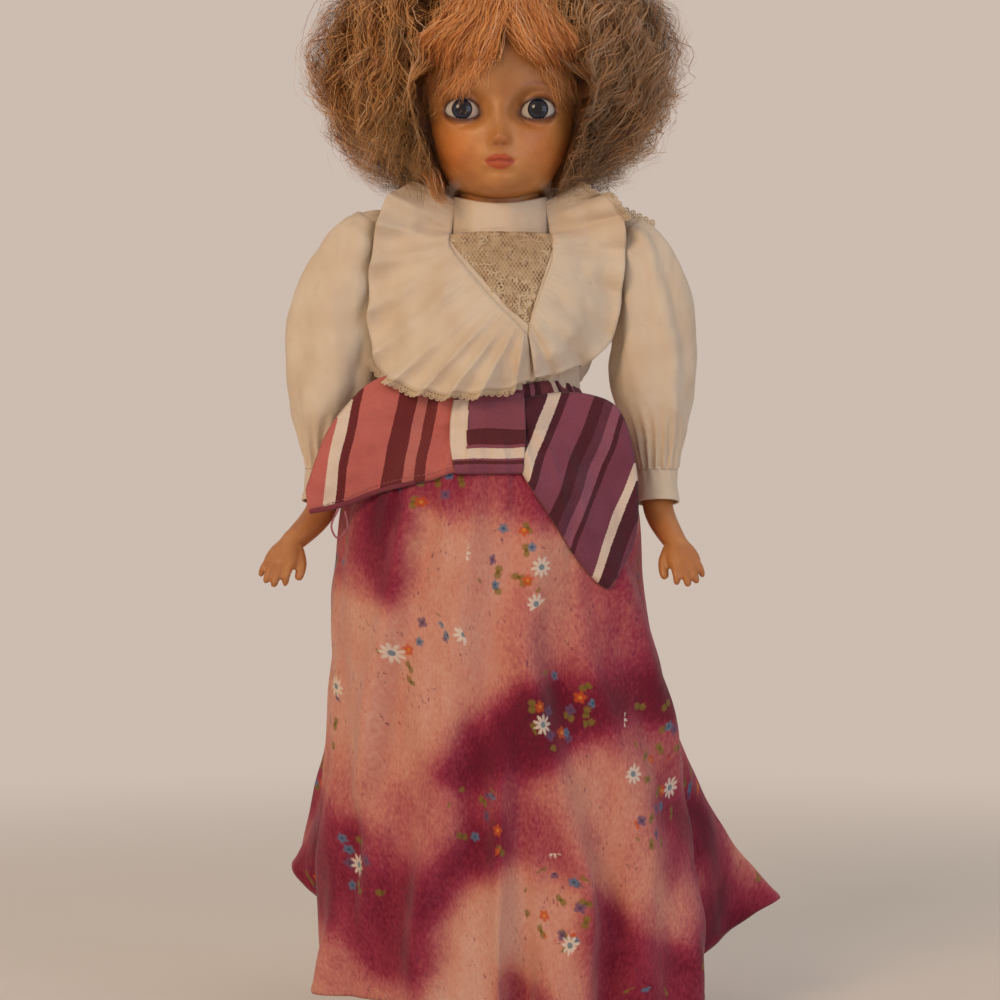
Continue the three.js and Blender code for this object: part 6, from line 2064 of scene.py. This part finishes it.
    def ruffles(self, under: list) -> None:
        """Makes and dresses the two flounces over what already lies in front."""
        drape = Drape.over([*under, *(bpy.data.objects[f"{side.word}_armhole_seam"] for side in Side)])
        self.flounce(
            Side.LEFT,
            [(-18.5, 345), (-20, 333), (-20.5, 325), (-13.5, 315), (-5.5, 305), (1.8, 297), (7.5, 291),
             (11, 287)],
            [(-32, 353, 3), (-44, 349, 3), (-50, 338, 2.5), (-53.5, 318, 1.5), (-54.5, 294, 1),
             (-51, 277, 1), (-43, 269, 1.2), (-29, 264.5, 1.4), (-14, 264, 1.2), (2, 266, 1.0),
             (13, 269.5, 0.8)],
            slice(112, 216), drape,
        )
        self.flounce(
            Side.RIGHT,
            [(18.5, 345), (20.5, 333), (21.5, 320), (17.6, 308), (14, 297), (11.5, 288)],
            [(32, 350, 3), (44, 345, 3), (51, 335, 2.5), (51.5, 318, 1.5), (49.5, 300, 1), (46.5, 287, 1),
             (39, 279, 1.2), (27, 273.5, 1.2), (14.5, 270, 0.8)],
            slice(0, 60), drape,
        )
        log.info("blouse: two flounces with lace edges")


@dataclass
class Sleeve:
    """A puffed sleeve gathered into the armhole and into its cuff."""

    finishes: Finishes
    side: Side
    rows: tuple
    elbow: tuple
    low: tuple
    seam_x: float = 45.2
    cuff_radius: float = 8.8
    steps: tuple[int, int] = (150, 180)
    cuff_steps: tuple[int, int] = (40, 120)

    def build(self) -> Object:
        """Makes and dresses the sleeve and its cuff, and returns the sleeve."""
        elbow, low = np.array(self.elbow, float), np.array(self.low, float)
        way = (low - elbow) / np.linalg.norm(low - elbow)
        end = elbow + way * 4.6
        keys = [list(row) for row in self.rows] + [[*end, self.cuff_radius, self.cuff_radius]]
        grid = tube(keys, *self.steps)
        share, turn = np.linspace(0, 1, self.steps[0])[:, None], turns(self.steps[1])
        n = outward(grid)
        wander = ripple(grid, (26, 26, 44), 31 + self.side.value)
        pleats = np.sin(19 * turn + 2.4 * wander) * (step(0.8, 0.97, share) + 0.8 * step(0.3, 0.08, share))
        soft = np.sin(6 * turn + 2.8 * wander + 1.2 * self.side.value)
        soft = soft * step(0.12, 0.5, share) * step(1.0, 0.75, share)
        move = 0.75 * pleats + 0.85 * soft + 1.3 * ripple(grid, (15, 15, 34), 5) * step(0.1, 0.4, share)
        move += 0.35 * ripple(grid, (4.5, 4.5, 9), 6)
        grid = grid + n * (move * step(1.0, 0.985, share) * step(0, 0.02, share))[..., None]
        grid[..., 0] = np.maximum(grid[..., 0], self.seam_x + 0.15 * (grid[..., 0] < self.seam_x))
        grid = self.handed(grid)
        name = f"{self.side.word}_sleeve"
        sleeve = make(f"{name}_voile", cloth(grid, self.inward(grid) * 0.5, True), self.finishes.voile)
        body = f"{self.side.word}_arm"
        dress(sleeve, body, "blouse", name)
        rings = np.linalg.norm(np.roll(grid, -1, 1) - grid, axis=2).sum(1)
        down = np.linalg.norm(np.diff(grid, axis=0), axis=2).mean(1)
        area, long = float((rings[:-1] * down).sum()), float(down.sum())
        self.cuff(elbow, way)
        self.binding()
        log.info("%s: sleeve, cuff and armhole", self.side.word)
        return sleeve

    def binding(self) -> None:
        """The gathered cloth between the armhole and the sleeve head, turned under at the seam."""
        rows, columns = 44, 150
        turn = turns(columns)
        section = spline([
            (35.0, 14.9), (38.0, 15.4), (42.0, 15.1), (44.6, 14.7), (46.1, 13.7), (45.6, 12.4),
            (44.0, 12.2), (43.2, 13.4), (40.0, 14.5), (35.0, 14.3),
        ], rows, True)
        grow = step(35.0, 44.0, section[:, :1])
        out = section[:, 1:] + 0.3 * np.sin(34 * turn) * grow + 0.25 * np.sin(9 * turn) * (1 - grow)
        x = self.side.value * (section[:, :1] + 0.2 * np.sin(21 * turn))
        grid = np.stack([x, 1 + out * np.cos(turn), SHOULDER_Z + out * np.sin(turn)], -1)
        shape = surface(grid, True)
        last = (rows - 1) * columns
        after = [(j + 1) % columns for j in range(columns)]
        shape.faces += [[last + j, last + k, k, j] for j, k in enumerate(after)]
        seam = make(f"{self.side.word}_armhole_seam", shape, self.finishes.voile)
        dress(seam, "torso", "blouse")

    def handed(self, grid: Array) -> Array:
        """A grid that was modelled at +X, turned over for the left sleeve."""
        grid *= [self.side.value, 1, 1]
        return grid[:, ::-1] if self.side is Side.LEFT else grid

    def inward(self, grid: Array) -> float:
        """Which way round the cloth's thickness must go to lie inside."""
        return float(np.sign((normals(grid, True) * (grid - grid.mean(1, keepdims=True))).sum()))

    def cuff(self, elbow: Array, way: Array) -> None:
        """The narrow cuff below the gathers, with a rolled lower hem."""
        at = np.array([2.2, 3.4, 6, 9, 12, 15, 17, 18.3, 19.0])
        flare = 0.9 if self.side is Side.RIGHT else 0.4
        radius = 8.3 + np.array([-0.3, 0.1, 0.1, 0, 0.05, 0.2, 0.45, 0.6, 0.35]) * flare
        keys = [[*(elbow + way * a), r, r] for a, r in zip(at, radius)]
        grid = tube(keys, *self.cuff_steps)
        share, turn = np.linspace(0, 1, self.cuff_steps[0])[:, None], turns(self.cuff_steps[1])
        move = 0.28 * np.sin(13 * turn + 4 * share) * step(0.7, 0.0, share)
        move += 0.22 * ripple(grid, (6, 6, 6), 3)
        grid = grid + outward(grid) * move[..., None]
        grid = self.handed(grid)
        name = f"{self.side.word}_cuff"
        cuff = make(f"{name}_voile", cloth(grid, self.inward(grid) * 0.8, True), self.finishes.voile)
        dress(cuff, f"{self.side.word}_arm", "blouse", name)


# Skirt and sash

@dataclass
class Skirt:
    """A long flared skirt, gathered into its waistband, with uneven folds down to the hem."""

    finishes: Finishes
    hem_z: float = 14.0
    around: int = 460
    rows: int = 170
    thick: float = 0.6
    oval: tuple = (
        (0, 38, 28, -4), (0.06, 52, 34, -4), (0.15, 62, 39, -4), (0.3, 65, 43, -5), (0.5, 70, 47, -1),
        (1, 80, 54, 3),
    )
    hem: tuple = (
        (119, 28, 35), (100, 42, 22), (72, 36, 8), (50, 52, 3), (26, 40, 1), (4, 54, 0), (-20, 41, 2),
        (-42, 50, 7), (-62, 34, 21), (-82, 32, 43), (-89, 22, 51), (-78, 6, 38), (-66, -8, 20),
        (-75, -26, 9), (-62, -46, 7),
        (-40, -50, 6), (-20, -60, 6), (2, -55, 6), (22, -64, 5), (44, -56, 5), (64, -54, 5), (82, -34, 4),
        (74, -12, 9), (94, 8, 20),
    )
    # Broad shading of the dyed cloth in front: [x, z, x, z, reach, value], from 0 dark to 1 pale.
    shades: tuple = (
        (-60, 170, -56, 106, 11, 0.82), (-26, 192, -22, 146, 15, 0.8), (16, 176, 40, 158, 13, 0.50),
        (-3, 122, 61, 144, 11, 0.12), (-9, 80, -24, 66, 9, 0.16), (-70, 78, -38, 46, 14, 0.26),
        (-60, 104, -30, 84, 12, 0.58), (-12, 58, -16, 8, 9, 0.92), (8, 62, 26, 36, 11, 0.85),
        (38, 108, 70, 62, 13, 0.74), (78, 90, 110, 44, 14, 0.1), (44, 42, 78, 12, 13, 0.26),
        (6, 22, 26, 8, 8, 0.42), (-66, 30, -42, 10, 12, 0.66), (-54, 213, -47, 190, 9, 0.1),
        (-20, 224, 10, 218, 9, 0.34), (-6, 206, 20, 178, 14, 0.8), (44, 184, 60, 160, 8, 0.42),
        (-64, 216, -58, 186, 6, 0.6), (52, 120, 84, 104, 9, 0.56), (2, 100, 20, 80, 9, 0.44),
    )

    def surface_at(self, turn: Array, share: Array) -> Array:
        """Points of the skirt, by the place along the hem (0 to 1) and the share of the way down."""
        fine = 2400
        low = spline(self.hem, fine, True)[(np.round(turn * fine).astype(int)) % fine]
        low[..., 2] += self.hem_z
        wide, deep, middle = along(self.oval, share.ravel()).T
        wide, deep, middle = (a.reshape(share.shape) for a in (wide, deep, middle))
        angle = np.arctan2((low[..., 1] + 4) / 58, (low[..., 0] - 6) / 85)
        blend = share**4
        x = (middle + wide * np.cos(angle)) * (1 - blend) + low[..., 0] * blend
        y = deep * np.sin(angle) * (1 - blend) + low[..., 1] * blend
        z = (BAND_Z - 0.3) * (1 - share) + low[..., 2] * share
        return np.stack([x, y, z], -1)

    def folded(self) -> Array:
        """The skirt's grid with its gathers, long folds and creases."""
        turn, share = np.meshgrid(np.arange(self.around) / self.around, np.linspace(0, 1, self.rows))
        grid = self.surface_at(turn, share)
        arc = turn * 2 * np.pi
        wander = ripple(grid, (40, 40, 120), 12)
        gathers = 0.8 * np.sin(64 * arc + 3 * wander) * step(0.17, 0.0, share) * step(0, 0.012, share)
        gathers += 0.9 * np.sin(29 * arc + 2.4 * wander) * step(0.4, 0.06, share) * step(0, 0.03, share)
        folds = 2.2 * np.sin(16 * arc + 2.2 * np.sin(7 * share)) * step(0.15, 0.8, share)
        folds += 1.1 * ripple(grid, (20, 20, 95), 3) * step(0.08, 0.5, share)
        folds += 0.7 * ripple(grid, (8, 8, 22), 7) * step(0.05, 0.3, share)
        x, z = grid[..., 0], grid[..., 2]
        front = step(5, -10, grid[..., 1])
        for x0, z0, x1, z1, wide, high in (
            (-38, 212, -56, 103, 5, 5.2), (0, 108, -1, 8, 5, 6.5), (8, 161, 36, 55, 7, 5.2),
            (32, 70, 36, 8, 5, 5.0), (-12, 210, -20, 130, 9, 3.2), (50, 190, 74, 110, 6, 4.0),
            (78, 90, 76, 12, 5, 6.0), (-66, 90, -70, 12, 5, 4.2), (16, 205, 12, 140, 8, 3.0),
            (-30, 74, -32, 8, 6, 4.0),
        ):
            t = np.clip((z0 - z) / (z0 - z1), -0.25, 1.25)
            across = (x - (x0 + (x1 - x0) * t)) / wide
            edge = step(-0.25, 0.1, t) * step(1.25, 0.95, t)
            folds += front * edge * high * (np.exp(-across**2) - 0.8 * np.exp(-((across - 1.5) ** 2)))
        hem = 0.5 * step(0.985, 0.99, share) * step(1.0, 0.998, share)
        return grid + outward(grid, True) * (gathers + folds + hem)[..., None]

    def shading(self, grid: Array) -> Array:
        """How pale the dyed cloth is at each point."""
        x, y, z = grid[..., 0], grid[..., 1], grid[..., 2]
        drift = 3.5 * ripple(grid, (18, 18, 18), 41)
        total, weight = np.full(x.shape, 0.5 * 1e-4), np.full(x.shape, 1e-4)
        for x0, z0, x1, z1, reach, value in self.shades:
            run = np.array([x1 - x0, z1 - z0], float)
            t = np.clip(((x - x0) * run[0] + (z - z0) * run[1]) / (run @ run), 0, 1)
            far = np.hypot(x - x0 - run[0] * t + drift, z - z0 - run[1] * t + 0.6 * drift)
            w = np.exp(-((far / (1.12 * reach)) ** 2))
            total, weight = total + w * value, weight + w
        front = total / weight
        turned = np.stack([0.75 * x + 0.66 * z, y, 0.66 * x - 0.75 * z], -1)
        back = np.clip(0.5 + 0.75 * ripple(turned, (60, 60, 24), 17), 0.03, 0.97)
        share = step(34, 10, y)
        return front * share + back * (1 - share)

    def build(self) -> Object:
        """Makes the skirt in place of its plain node, and returns it."""
        grid = self.folded()
        pale = self.shading(grid).ravel()
        off = (grid - grid.mean(1, keepdims=True))[..., :2]
        sign = np.sign((normals(grid, True)[..., :2] * off).sum())
        rings = np.linalg.norm(np.roll(grid, -1, 1) - grid, axis=2)
        down = np.linalg.norm(np.diff(grid, axis=0), axis=2).mean(1)
        run = np.cumsum(np.r_[0, down])
        measured = rings[int(self.rows * 0.7)]
        along_ring = np.cumsum(measured)
        narrow = rings.sum(1) / measured.sum()
        u = (along_ring[None] - along_ring[-1] * 0.72) * np.maximum(narrow, 0.55)[:, None]
        flat = np.stack([u, run[:, None] + 0 * u], -1) * MM
        tint = np.tile(np.r_[pale, pale][:, None], (1, 3))
        shape = cloth(grid, self.thick * sign, True, flat)
        skirt = make("skirt_print", shape, self.finishes.skirt, tint)
        blend_to_lap(skirt)
        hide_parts("skirt")
        area = float((rings[:-1].sum(1) * down).sum())
        widest = float(rings.sum(1).max())
        log.info("skirt: %.0f mm round the hem, %.0f mm long", widest, run[-1])
        return skirt

    def band(self) -> None:
        """The waistband, hidden under the sash."""
        turn = turns(200)
        z = np.linspace(250.2, 260.8, 14)[:, None]
        x = -4 + (37.7 + 0.12 * np.sin(31 * turn)) * np.cos(turn) + 0 * z
        y = 27.7 * np.sin(turn) + 0 * z
        grid = np.stack([x, y, z + 0 * turn], -1)
        pale = np.full((len(z) * len(turn) * 2, 3), 0.4)
        band = make("skirt_band", cloth(grid, 0.8, True), self.finishes.skirt, pale)
        dress(band, "torso", "skirt", "skirt_waistband")


ROSE, PALE = "d27c73", "ecdccb"
ROSE_STRIPES = (
    (25.2, ROSE), (4.1, PALE), (3.4, "7c3436"), (14.2, ROSE), (8.2, "7f3638"), (4.6, "cd8279"),
    (4.4, "853c3c"), (40.0, ROSE),
)
MAUVE_STRIPES = (
    (18.1, "5e2c39"), (4.9, PALE), (3.3, "5e2c39"), (9.8, "95566b"), (5.0, "5e2c39"), (3.9, "744152"),
    (4.4, "a2667a"), (1.9, "5e2c39"), (9.5, "8a4d62"), (3.6, PALE), (6.0, "5e2c39"), (20.0, "8a4d62"),
)
KNOT_STRIPES = (
    (15.9, "9b5c6b"), (6.3, "6c3239"), (1.3, "9b5c6b"), (4.2, PALE), (0.8, "9b5c6b"), (1.6, "6c3239"),
    (20.0, "95566b"),
)
BELT_STRIPES = (
    (7.0, "8a4850"), (2.4, PALE), (2.2, "5e2c39"), (6.0, "8f4e5c"), (3.0, "5e2c39"), (2.0, "a8697a"),
    (3.0, "5e2c39"),
)


@dataclass
class Sash:
    """The striped sash: a belt fastened behind, a knot, and two unlike bow wings."""

    finishes: Finishes
    left: tuple = (
        (-14, 12, -13, -18), (-20, 12.5, -20, -18), (-28.6, 17.5, -27, -20.5), (-40.8, 21.5, -39, -23),
        (-53, 18, -51, -26), (-63.2, 8, -61, -30), (-71.4, -4, -70, -32.5), (-79, -25, -78, -34),
    )
    right: tuple = (
        (9, 11, 8, -15), (13, 12, 10.5, -20), (25, 14, 15.5, -28), (37, 13, 21.5, -37), (47, 8.5, 27, -46),
        (52.5, -3, 31.5, -53), (56, -24, 36.5, -59), (54.8, -45, 40.5, -63), (48, -59.5, 43.8, -65),
    )

    def wing(
        self, name: str, table: tuple, drape: Drape, stripes: Stripes, slope: tuple[float, float],
        puff_high: float,
    ) -> tuple[Object, Array]:
        """One wing: the sash folded double, with a soft roll at its edges.

        Args:
            name: The piece's name.
            table: Rows of (x top, top, x bottom, bottom) from the knot to the tip; heights are
                from the belt's foot.
            drape: What it lies on.
            stripes: Its finish.
            slope: The weights of x and z that give the place across the stripes.
            puff_high: How far the loop stands open.

        Returns:
            The wing and its front grid.
        """
        rows, columns = 120, 80
        run = spline(table, rows)
        t = np.linspace(0, 1, columns)
        x = run[:, 2:3] + (run[:, 0:1] - run[:, 2:3]) * t
        z = BAND_Z + run[:, 3:4] + (run[:, 1:2] - run[:, 3:4]) * t
        lie = drape.front(x, z, -22.0, 30) - 0.8
        p = np.linspace(0, 1, rows)[:, None]
        edge = np.sin(np.pi * t) ** 0.5
        ends = step(0.0, 0.25, p) * (0.35 + 0.65 * step(1.0, 0.8, p))
        crown = puff_high * edge * ends
        spots = np.stack([x, lie, z], -1)
        crease = 1.1 * np.sin(t * 9 + 2.5 * p) * step(0.55, 0.0, p) + 0.9 * ripple(spots, (14, 14, 9), 3)
        crease += 0.35 * ripple(spots, (5, 5, 5), 6)
        front = spots.copy()
        front[..., 1] -= 1.0 + crown + crease * edge * step(0, 0.1, p)
        back = spots.copy()
        back[..., 1] -= 0.1
        front[..., 1] = np.minimum(front[..., 1], back[..., 1] - 0.75)
        flat = np.stack([slope[0] * x + slope[1] * z, slope[1] * -x + slope[0] * z], -1) * MM
        return make(name, self.pillow(front, back, flat), stripes.material()), front

    def pillow(self, front: Array, back: Array, flat: Array) -> Shape:
        """A closed shape between a front and a back grid, with a rounded edge between them."""
        rows, columns = front.shape[:2]
        both = Shape.joined([surface(front, flat=flat), surface(back, flat=flat)])
        count, loop = rows * columns, rim(rows, columns)
        around = len(loop)
        face, rear = front.reshape(-1, 3)[loop], back.reshape(-1, 3)[loop]
        middle = (face + rear) / 2
        centre = front.reshape(-1, 3).mean(0)
        out = middle - np.roll(middle, 1, 0)
        out = unit(np.stack([out[:, 2], 0 * out[:, 0], -out[:, 0]], -1))
        out *= np.sign((out * (middle - centre)).sum())
        rolled = middle + out * 0.8
        base = len(both.points)
        both.points = np.vstack([both.points, rolled])
        both.flat = np.vstack([both.flat, flat.reshape(-1, 2)[loop]])
        for k in range(around):
            n = (k + 1) % around
            both.faces.append([loop[n], loop[k], base + k, base + n])
            both.faces.append([base + n, base + k, loop[k] + count, loop[n] + count])
        return both

    def declare(self, front: Array) -> None:
        """Declares a sewn, turned piece of the sash by the size of its face."""
        area = face_area(front)
        long = float(np.linalg.norm(np.diff(front[:, front.shape[1] // 2], axis=0), axis=1).sum())

    def belt(self) -> Object:
        """The belt round the waist, rising towards the right in front."""
        turn = turns(260)
        share = np.linspace(0, 1, 26)[:, None]
        front = np.clip(-np.sin(turn), 0, 1) ** 0.5
        top = 262.6 + 9.0 * step(-12, 34, 38 * np.cos(turn)) * front
        z = top + (250.2 - top) * share
        crease = 0.35 * np.sin(share * 9 + 2 * np.sin(turn * 3)) + 0.3 * np.sin(23 * turn)
        inward = 2.6 * step(263, 271, z)
        x = -4 + (39.5 + crease - inward) * np.cos(turn)
        y = (29.5 + crease - inward) * np.sin(turn)
        grid = np.stack([x, y, z], -1)
        flat = np.stack([39.5 * turn + 0 * share, -z], -1) * MM
        stripes = Stripes("stripes_belt", 3.0, BELT_STRIPES)
        belt = make("sash_belt_cotton", cloth(grid, 1.0, True, flat), stripes.material())
        dress(belt, "torso", "stripes", "sash_belt")
        return belt

    def knot(self, drape: Drape) -> None:
        """The flat knot that covers where the wings meet."""
        p, t = np.linspace(0, 1, 60)[:, None], np.linspace(0, 1, 60)[None]
        left = -19.5 + 1.5 * (1 - p) + 2.0 * p - 2.0 * np.sin(np.pi * p)
        right = 9.0 - 0.5 * p + 0.9 * np.sin(np.pi * p)
        x = left + (right - left) * t
        z = 262.2 + 1.2 * t - (30.5 + 1.0 * t) * p
        lie = drape.front(x, z, -22.0, 30) - 0.6
        bulge = 4.2 * np.sin(np.pi * np.clip(t, 0.02, 0.98)) ** 0.45
        bulge = bulge * np.sin(np.pi * np.clip(p, 0.03, 0.97)) ** 0.35
        folds = 0.5 * np.sin(13 * p + 1.5 * t) + 0.4 * ripple(np.stack([x, lie, z], -1), (7, 7, 4), 2)
        step_in = 0.9 * step(0.22, 0.19, t)
        front = np.stack([x, lie - bulge - folds * 0.7 + step_in, z], -1)
        back = np.stack([x, lie, z], -1)
        front[..., 1] = np.minimum(front[..., 1], back[..., 1] - 0.5)
        strip = (t < 0.205 + 0.02 * np.sin(5 * p)) & (p < 0.78) & (p > 0.02)
        u = np.where(strip, -239.5, -z)
        flat = np.stack([u, x], -1) * MM
        stripes = Stripes("stripes_knot", -265.0, KNOT_STRIPES)
        knot = make("bow_knot_cotton", self.pillow(front, back, flat), stripes.material())
        dress(knot, "torso", "stripes", "bow_knot")
        self.declare(front)

    def build(self, under: list) -> list:
        """Makes and dresses the sash over what it is tied round, and returns its belt and wings."""
        belt = self.belt()
        drape = Drape.over([*under, belt])
        stripes = Stripes("stripes_left", -135.8, ROSE_STRIPES)
        left, grid = self.wing("left_wing_cotton", self.left, drape, stripes, (0.98, -0.18), 2.4)
        dress(left, "torso", "stripes", "bow_left_wing")
        hem = grid[45:, 0] + [0, -0.5, -0.3]
        t = np.linspace(0, 1, len(hem))
        stripes = Stripes("stripes_hem", 0.0, ((4.0, "8c4450"), (3.0, "a85d68")))
        roll = strand(hem, 0.9 + 0.5 * np.sin(np.pi * t) * t, 8)
        y = hem[-30][1]
        loop = spline([
            [-66, y - 1, 217], [-69, y - 1.6, 210], [-66.5, y - 1.8, 205], [-62.5, y - 1.4, 209],
            [-63.5, y - 1, 216],
        ], 40)
        sewn = row_of_stitches(grid[8:-6, 4] + [0, -0.12, 0], 2.1, 1.3, 0.14, np.array([0, -0.12, 0]))
        extras = [
            make("left_wing_hem", roll, stripes.material()),
            make("left_wing_thread", strand(loop, 0.45, 6), self.finishes.thread),
            make("left_wing_stitches", sewn, self.finishes.thread),
        ]
        for piece in extras:
            dress(piece, "torso", "stripes")
        self.declare(grid)
        stripes = Stripes("stripes_right", -95.0, MAUVE_STRIPES)
        right, grid = self.wing("right_wing_cotton", self.right, drape, stripes, (0.93, -0.36), 2.2)
        blend_to_lap(right)
        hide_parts("bow_right_wing")
        self.declare(grid)
        self.knot(Drape.over([*under, belt, left, right]))
        log.info("sash: belt, two wings and knot")
        return [belt, left, right]


# Stage

@dataclass
class Stage:
    """A pale floor and backdrop, soft lamps and the camera."""

    distance: float = 1.0
    height: float = 0.2205
    frame_wide: float = 0.42
    middle: tuple[float, float] = (-0.010925, -0.000414)
    pale: str = "cdbcb0"

    def floor(self) -> None:
        """A matt floor round the doll that passes into the plain backdrop colour further out."""
        paint = Paint("floor_paint", 0.9, Specular_IOR_Level=0.1)
        paint.finish(paint.mix(paint.sum("MULTIPLY", paint.grain(9, 4), 0.1), "e4dad1", "a2958a"))
        far = paint.add("VectorMath", {0: paint.place()}, operation="LENGTH").outputs["Value"]
        rays = paint.add("LightPath").outputs
        seen = paint.sum("ADD", rays["Is Camera Ray"], rays["Is Glossy Ray"], clamp=True)
        seen = paint.sum("ADD", seen, rays["Is Transmission Ray"], clamp=True)
        share = paint.sum("MULTIPLY", paint.between(far, 0.35, 1.0), seen)
        plain = paint.add("Emission", {0: linear(self.pale), 1: 1.0}).outputs[0]
        both = paint.add("MixShader", {0: share, 1: paint.shader.outputs[0], 2: plain}).outputs[0]
        paint.tree.links.new(both, paint.tree.nodes["Material Output"].inputs[0])
        mesh = bpy.data.meshes.new("floor")
        mesh.from_pydata([(-9, -9, 0), (9, -9, 0), (9, 9, 0), (-9, 9, 0)], [], [(0, 1, 2, 3)])
        mesh.materials.append(paint.material)
        piece = bpy.data.objects.new("floor", mesh)
        bpy.context.scene.collection.objects.link(piece)

    def backdrop(self) -> bpy.types.World:
        """A plain pale world; what the camera sees of it has its own colour."""
        world = bpy.data.worlds.new("studio")
        world.use_nodes = True
        tree = world.node_tree
        light, seen = tree.nodes["Background"], tree.nodes.new("ShaderNodeBackground")
        light.inputs[0].default_value, light.inputs[1].default_value = linear("f1ece6"), 0.42
        seen.inputs[0].default_value, seen.inputs[1].default_value = linear(self.pale), 1.0
        both, path = tree.nodes.new("ShaderNodeMixShader"), tree.nodes.new("ShaderNodeLightPath")
        seen_too, share = tree.nodes.new("ShaderNodeMath"), tree.nodes.new("ShaderNodeMath")
        tree.links.new(path.outputs["Is Camera Ray"], seen_too.inputs[0])
        tree.links.new(path.outputs["Is Glossy Ray"], seen_too.inputs[1])
        tree.links.new(seen_too.outputs[0], share.inputs[0])
        tree.links.new(path.outputs["Is Transmission Ray"], share.inputs[1])
        share.use_clamp = True
        tree.links.new(share.outputs[0], both.inputs[0])
        tree.links.new(light.outputs[0], both.inputs[1])
        tree.links.new(seen.outputs[0], both.inputs[2])
        tree.links.new(both.outputs[0], tree.nodes["World Output"].inputs[0])
        return world

    def lamp(self, name: str, place: tuple, aim: tuple, size: float, power: float, colour: str) -> None:
        """A large soft lamp aimed at a point."""
        light = bpy.data.lights.new(name, "AREA")
        light.shape, light.size, light.energy, light.color = "SQUARE", size, power, linear(colour)[:3]
        holder = bpy.data.objects.new(name, light)
        holder.location = place
        holder.rotation_euler = (Vector(aim) - Vector(place)).to_track_quat("-Z", "Y").to_euler()
        bpy.context.scene.collection.objects.link(holder)

    def build(self) -> None:
        """Makes floor, backdrop, lamps, world and camera."""
        scene = bpy.context.scene
        x, y = self.middle
        self.floor()
        aim = (x, y, 0.24)
        self.lamp("key", (x - 0.75, y - 1.15, 0.95), aim, 0.55, 8.5, "ffdcb8")
        self.lamp("fill", (x + 1.0, y - 1.0, 0.55), aim, 0.9, 3.6, "d6e2ff")
        self.lamp("top", (x + 0.1, y + 0.3, 1.5), aim, 0.8, 4.0, "fff4e8")
        scene.world = self.backdrop()
        lens = bpy.data.cameras.new("camera")
        sensor = 36
        lens.sensor_width, lens.lens = sensor, sensor * self.distance / self.frame_wide
        lens.clip_start, lens.clip_end = 0.01, 20
        camera = bpy.data.objects.new("camera", lens)
        camera.location = (x, y - self.distance, self.height)
        camera.rotation_euler = (math.pi / 2, 0, 0)
        scene.collection.objects.link(camera)
        scene.camera = camera
        scene.view_settings.view_transform = "Standard"
        log.info("stage: floor, lamps and camera")


LEFT_ARM = ((73, 4, 238), (75, 0, 217), (86, -14, 203), (94, -29.5, 187.5))
RIGHT_ARM = ((66, 4, 238), (66.5, 0, 217), (72.5, -14, 203), (78.5, -29.5, 187.5))
LEFT_SLEEVE = (
    (47.2, 1, 340.2, 0.3, 0.3), (48, 1, 339, 4, 5), (52, 1, 335, 8.5, 11), (58, 1, 328, 13.5, 16.5),
    (64.3, 1.5, 310, 18, 18), (67.8, 2, 290, 20.8, 18), (70, 2, 272, 19, 17.5), (72.5, 2.5, 254, 14.2, 15),
)
RIGHT_SLEEVE = (
    (47.7, 1, 336.2, 0.3, 0.3), (48.5, 1, 335, 4, 5), (52, 1, 332, 8, 11), (57, 1, 326, 12.3, 16.5),
    (62, 1.5, 309, 15.8, 18), (64.2, 2, 288, 17.3, 18), (64, 2, 272, 17.6, 17.5), (66, 2.5, 253, 13.3, 15),
)


def main() -> None:
    """Builds the whole doll and its stage."""
    logging.basicConfig(level=logging.INFO, format="%(name)s: %(message)s")
    finishes = Finishes()
    Stage().build()
    Torso(finishes).build()
    Arm(finishes, Side.LEFT, *LEFT_ARM, slant=17.3).build()
    Arm(finishes, Side.RIGHT, *RIGHT_ARM, slant=10.3).build()
    for side in Side:
        Leg(finishes, side).build()
    head = Head(finishes)
    head.build()
    HairDo(finishes, head).build()
    sleeves = [
        Sleeve(finishes, Side.LEFT, LEFT_SLEEVE, *LEFT_ARM[:2]).build(),
        Sleeve(finishes, Side.RIGHT, RIGHT_SLEEVE, *RIGHT_ARM[:2]).build(),
    ]
    blouse = Blouse(finishes)
    front = blouse.build()
    skirt = Skirt(finishes)
    cloth_skirt = skirt.build()
    skirt.band()
    sash = Sash(finishes).build([cloth_skirt, front])
    blouse.ruffles([front, *sleeves, *sash])


if __name__ == "__main__":
    main()
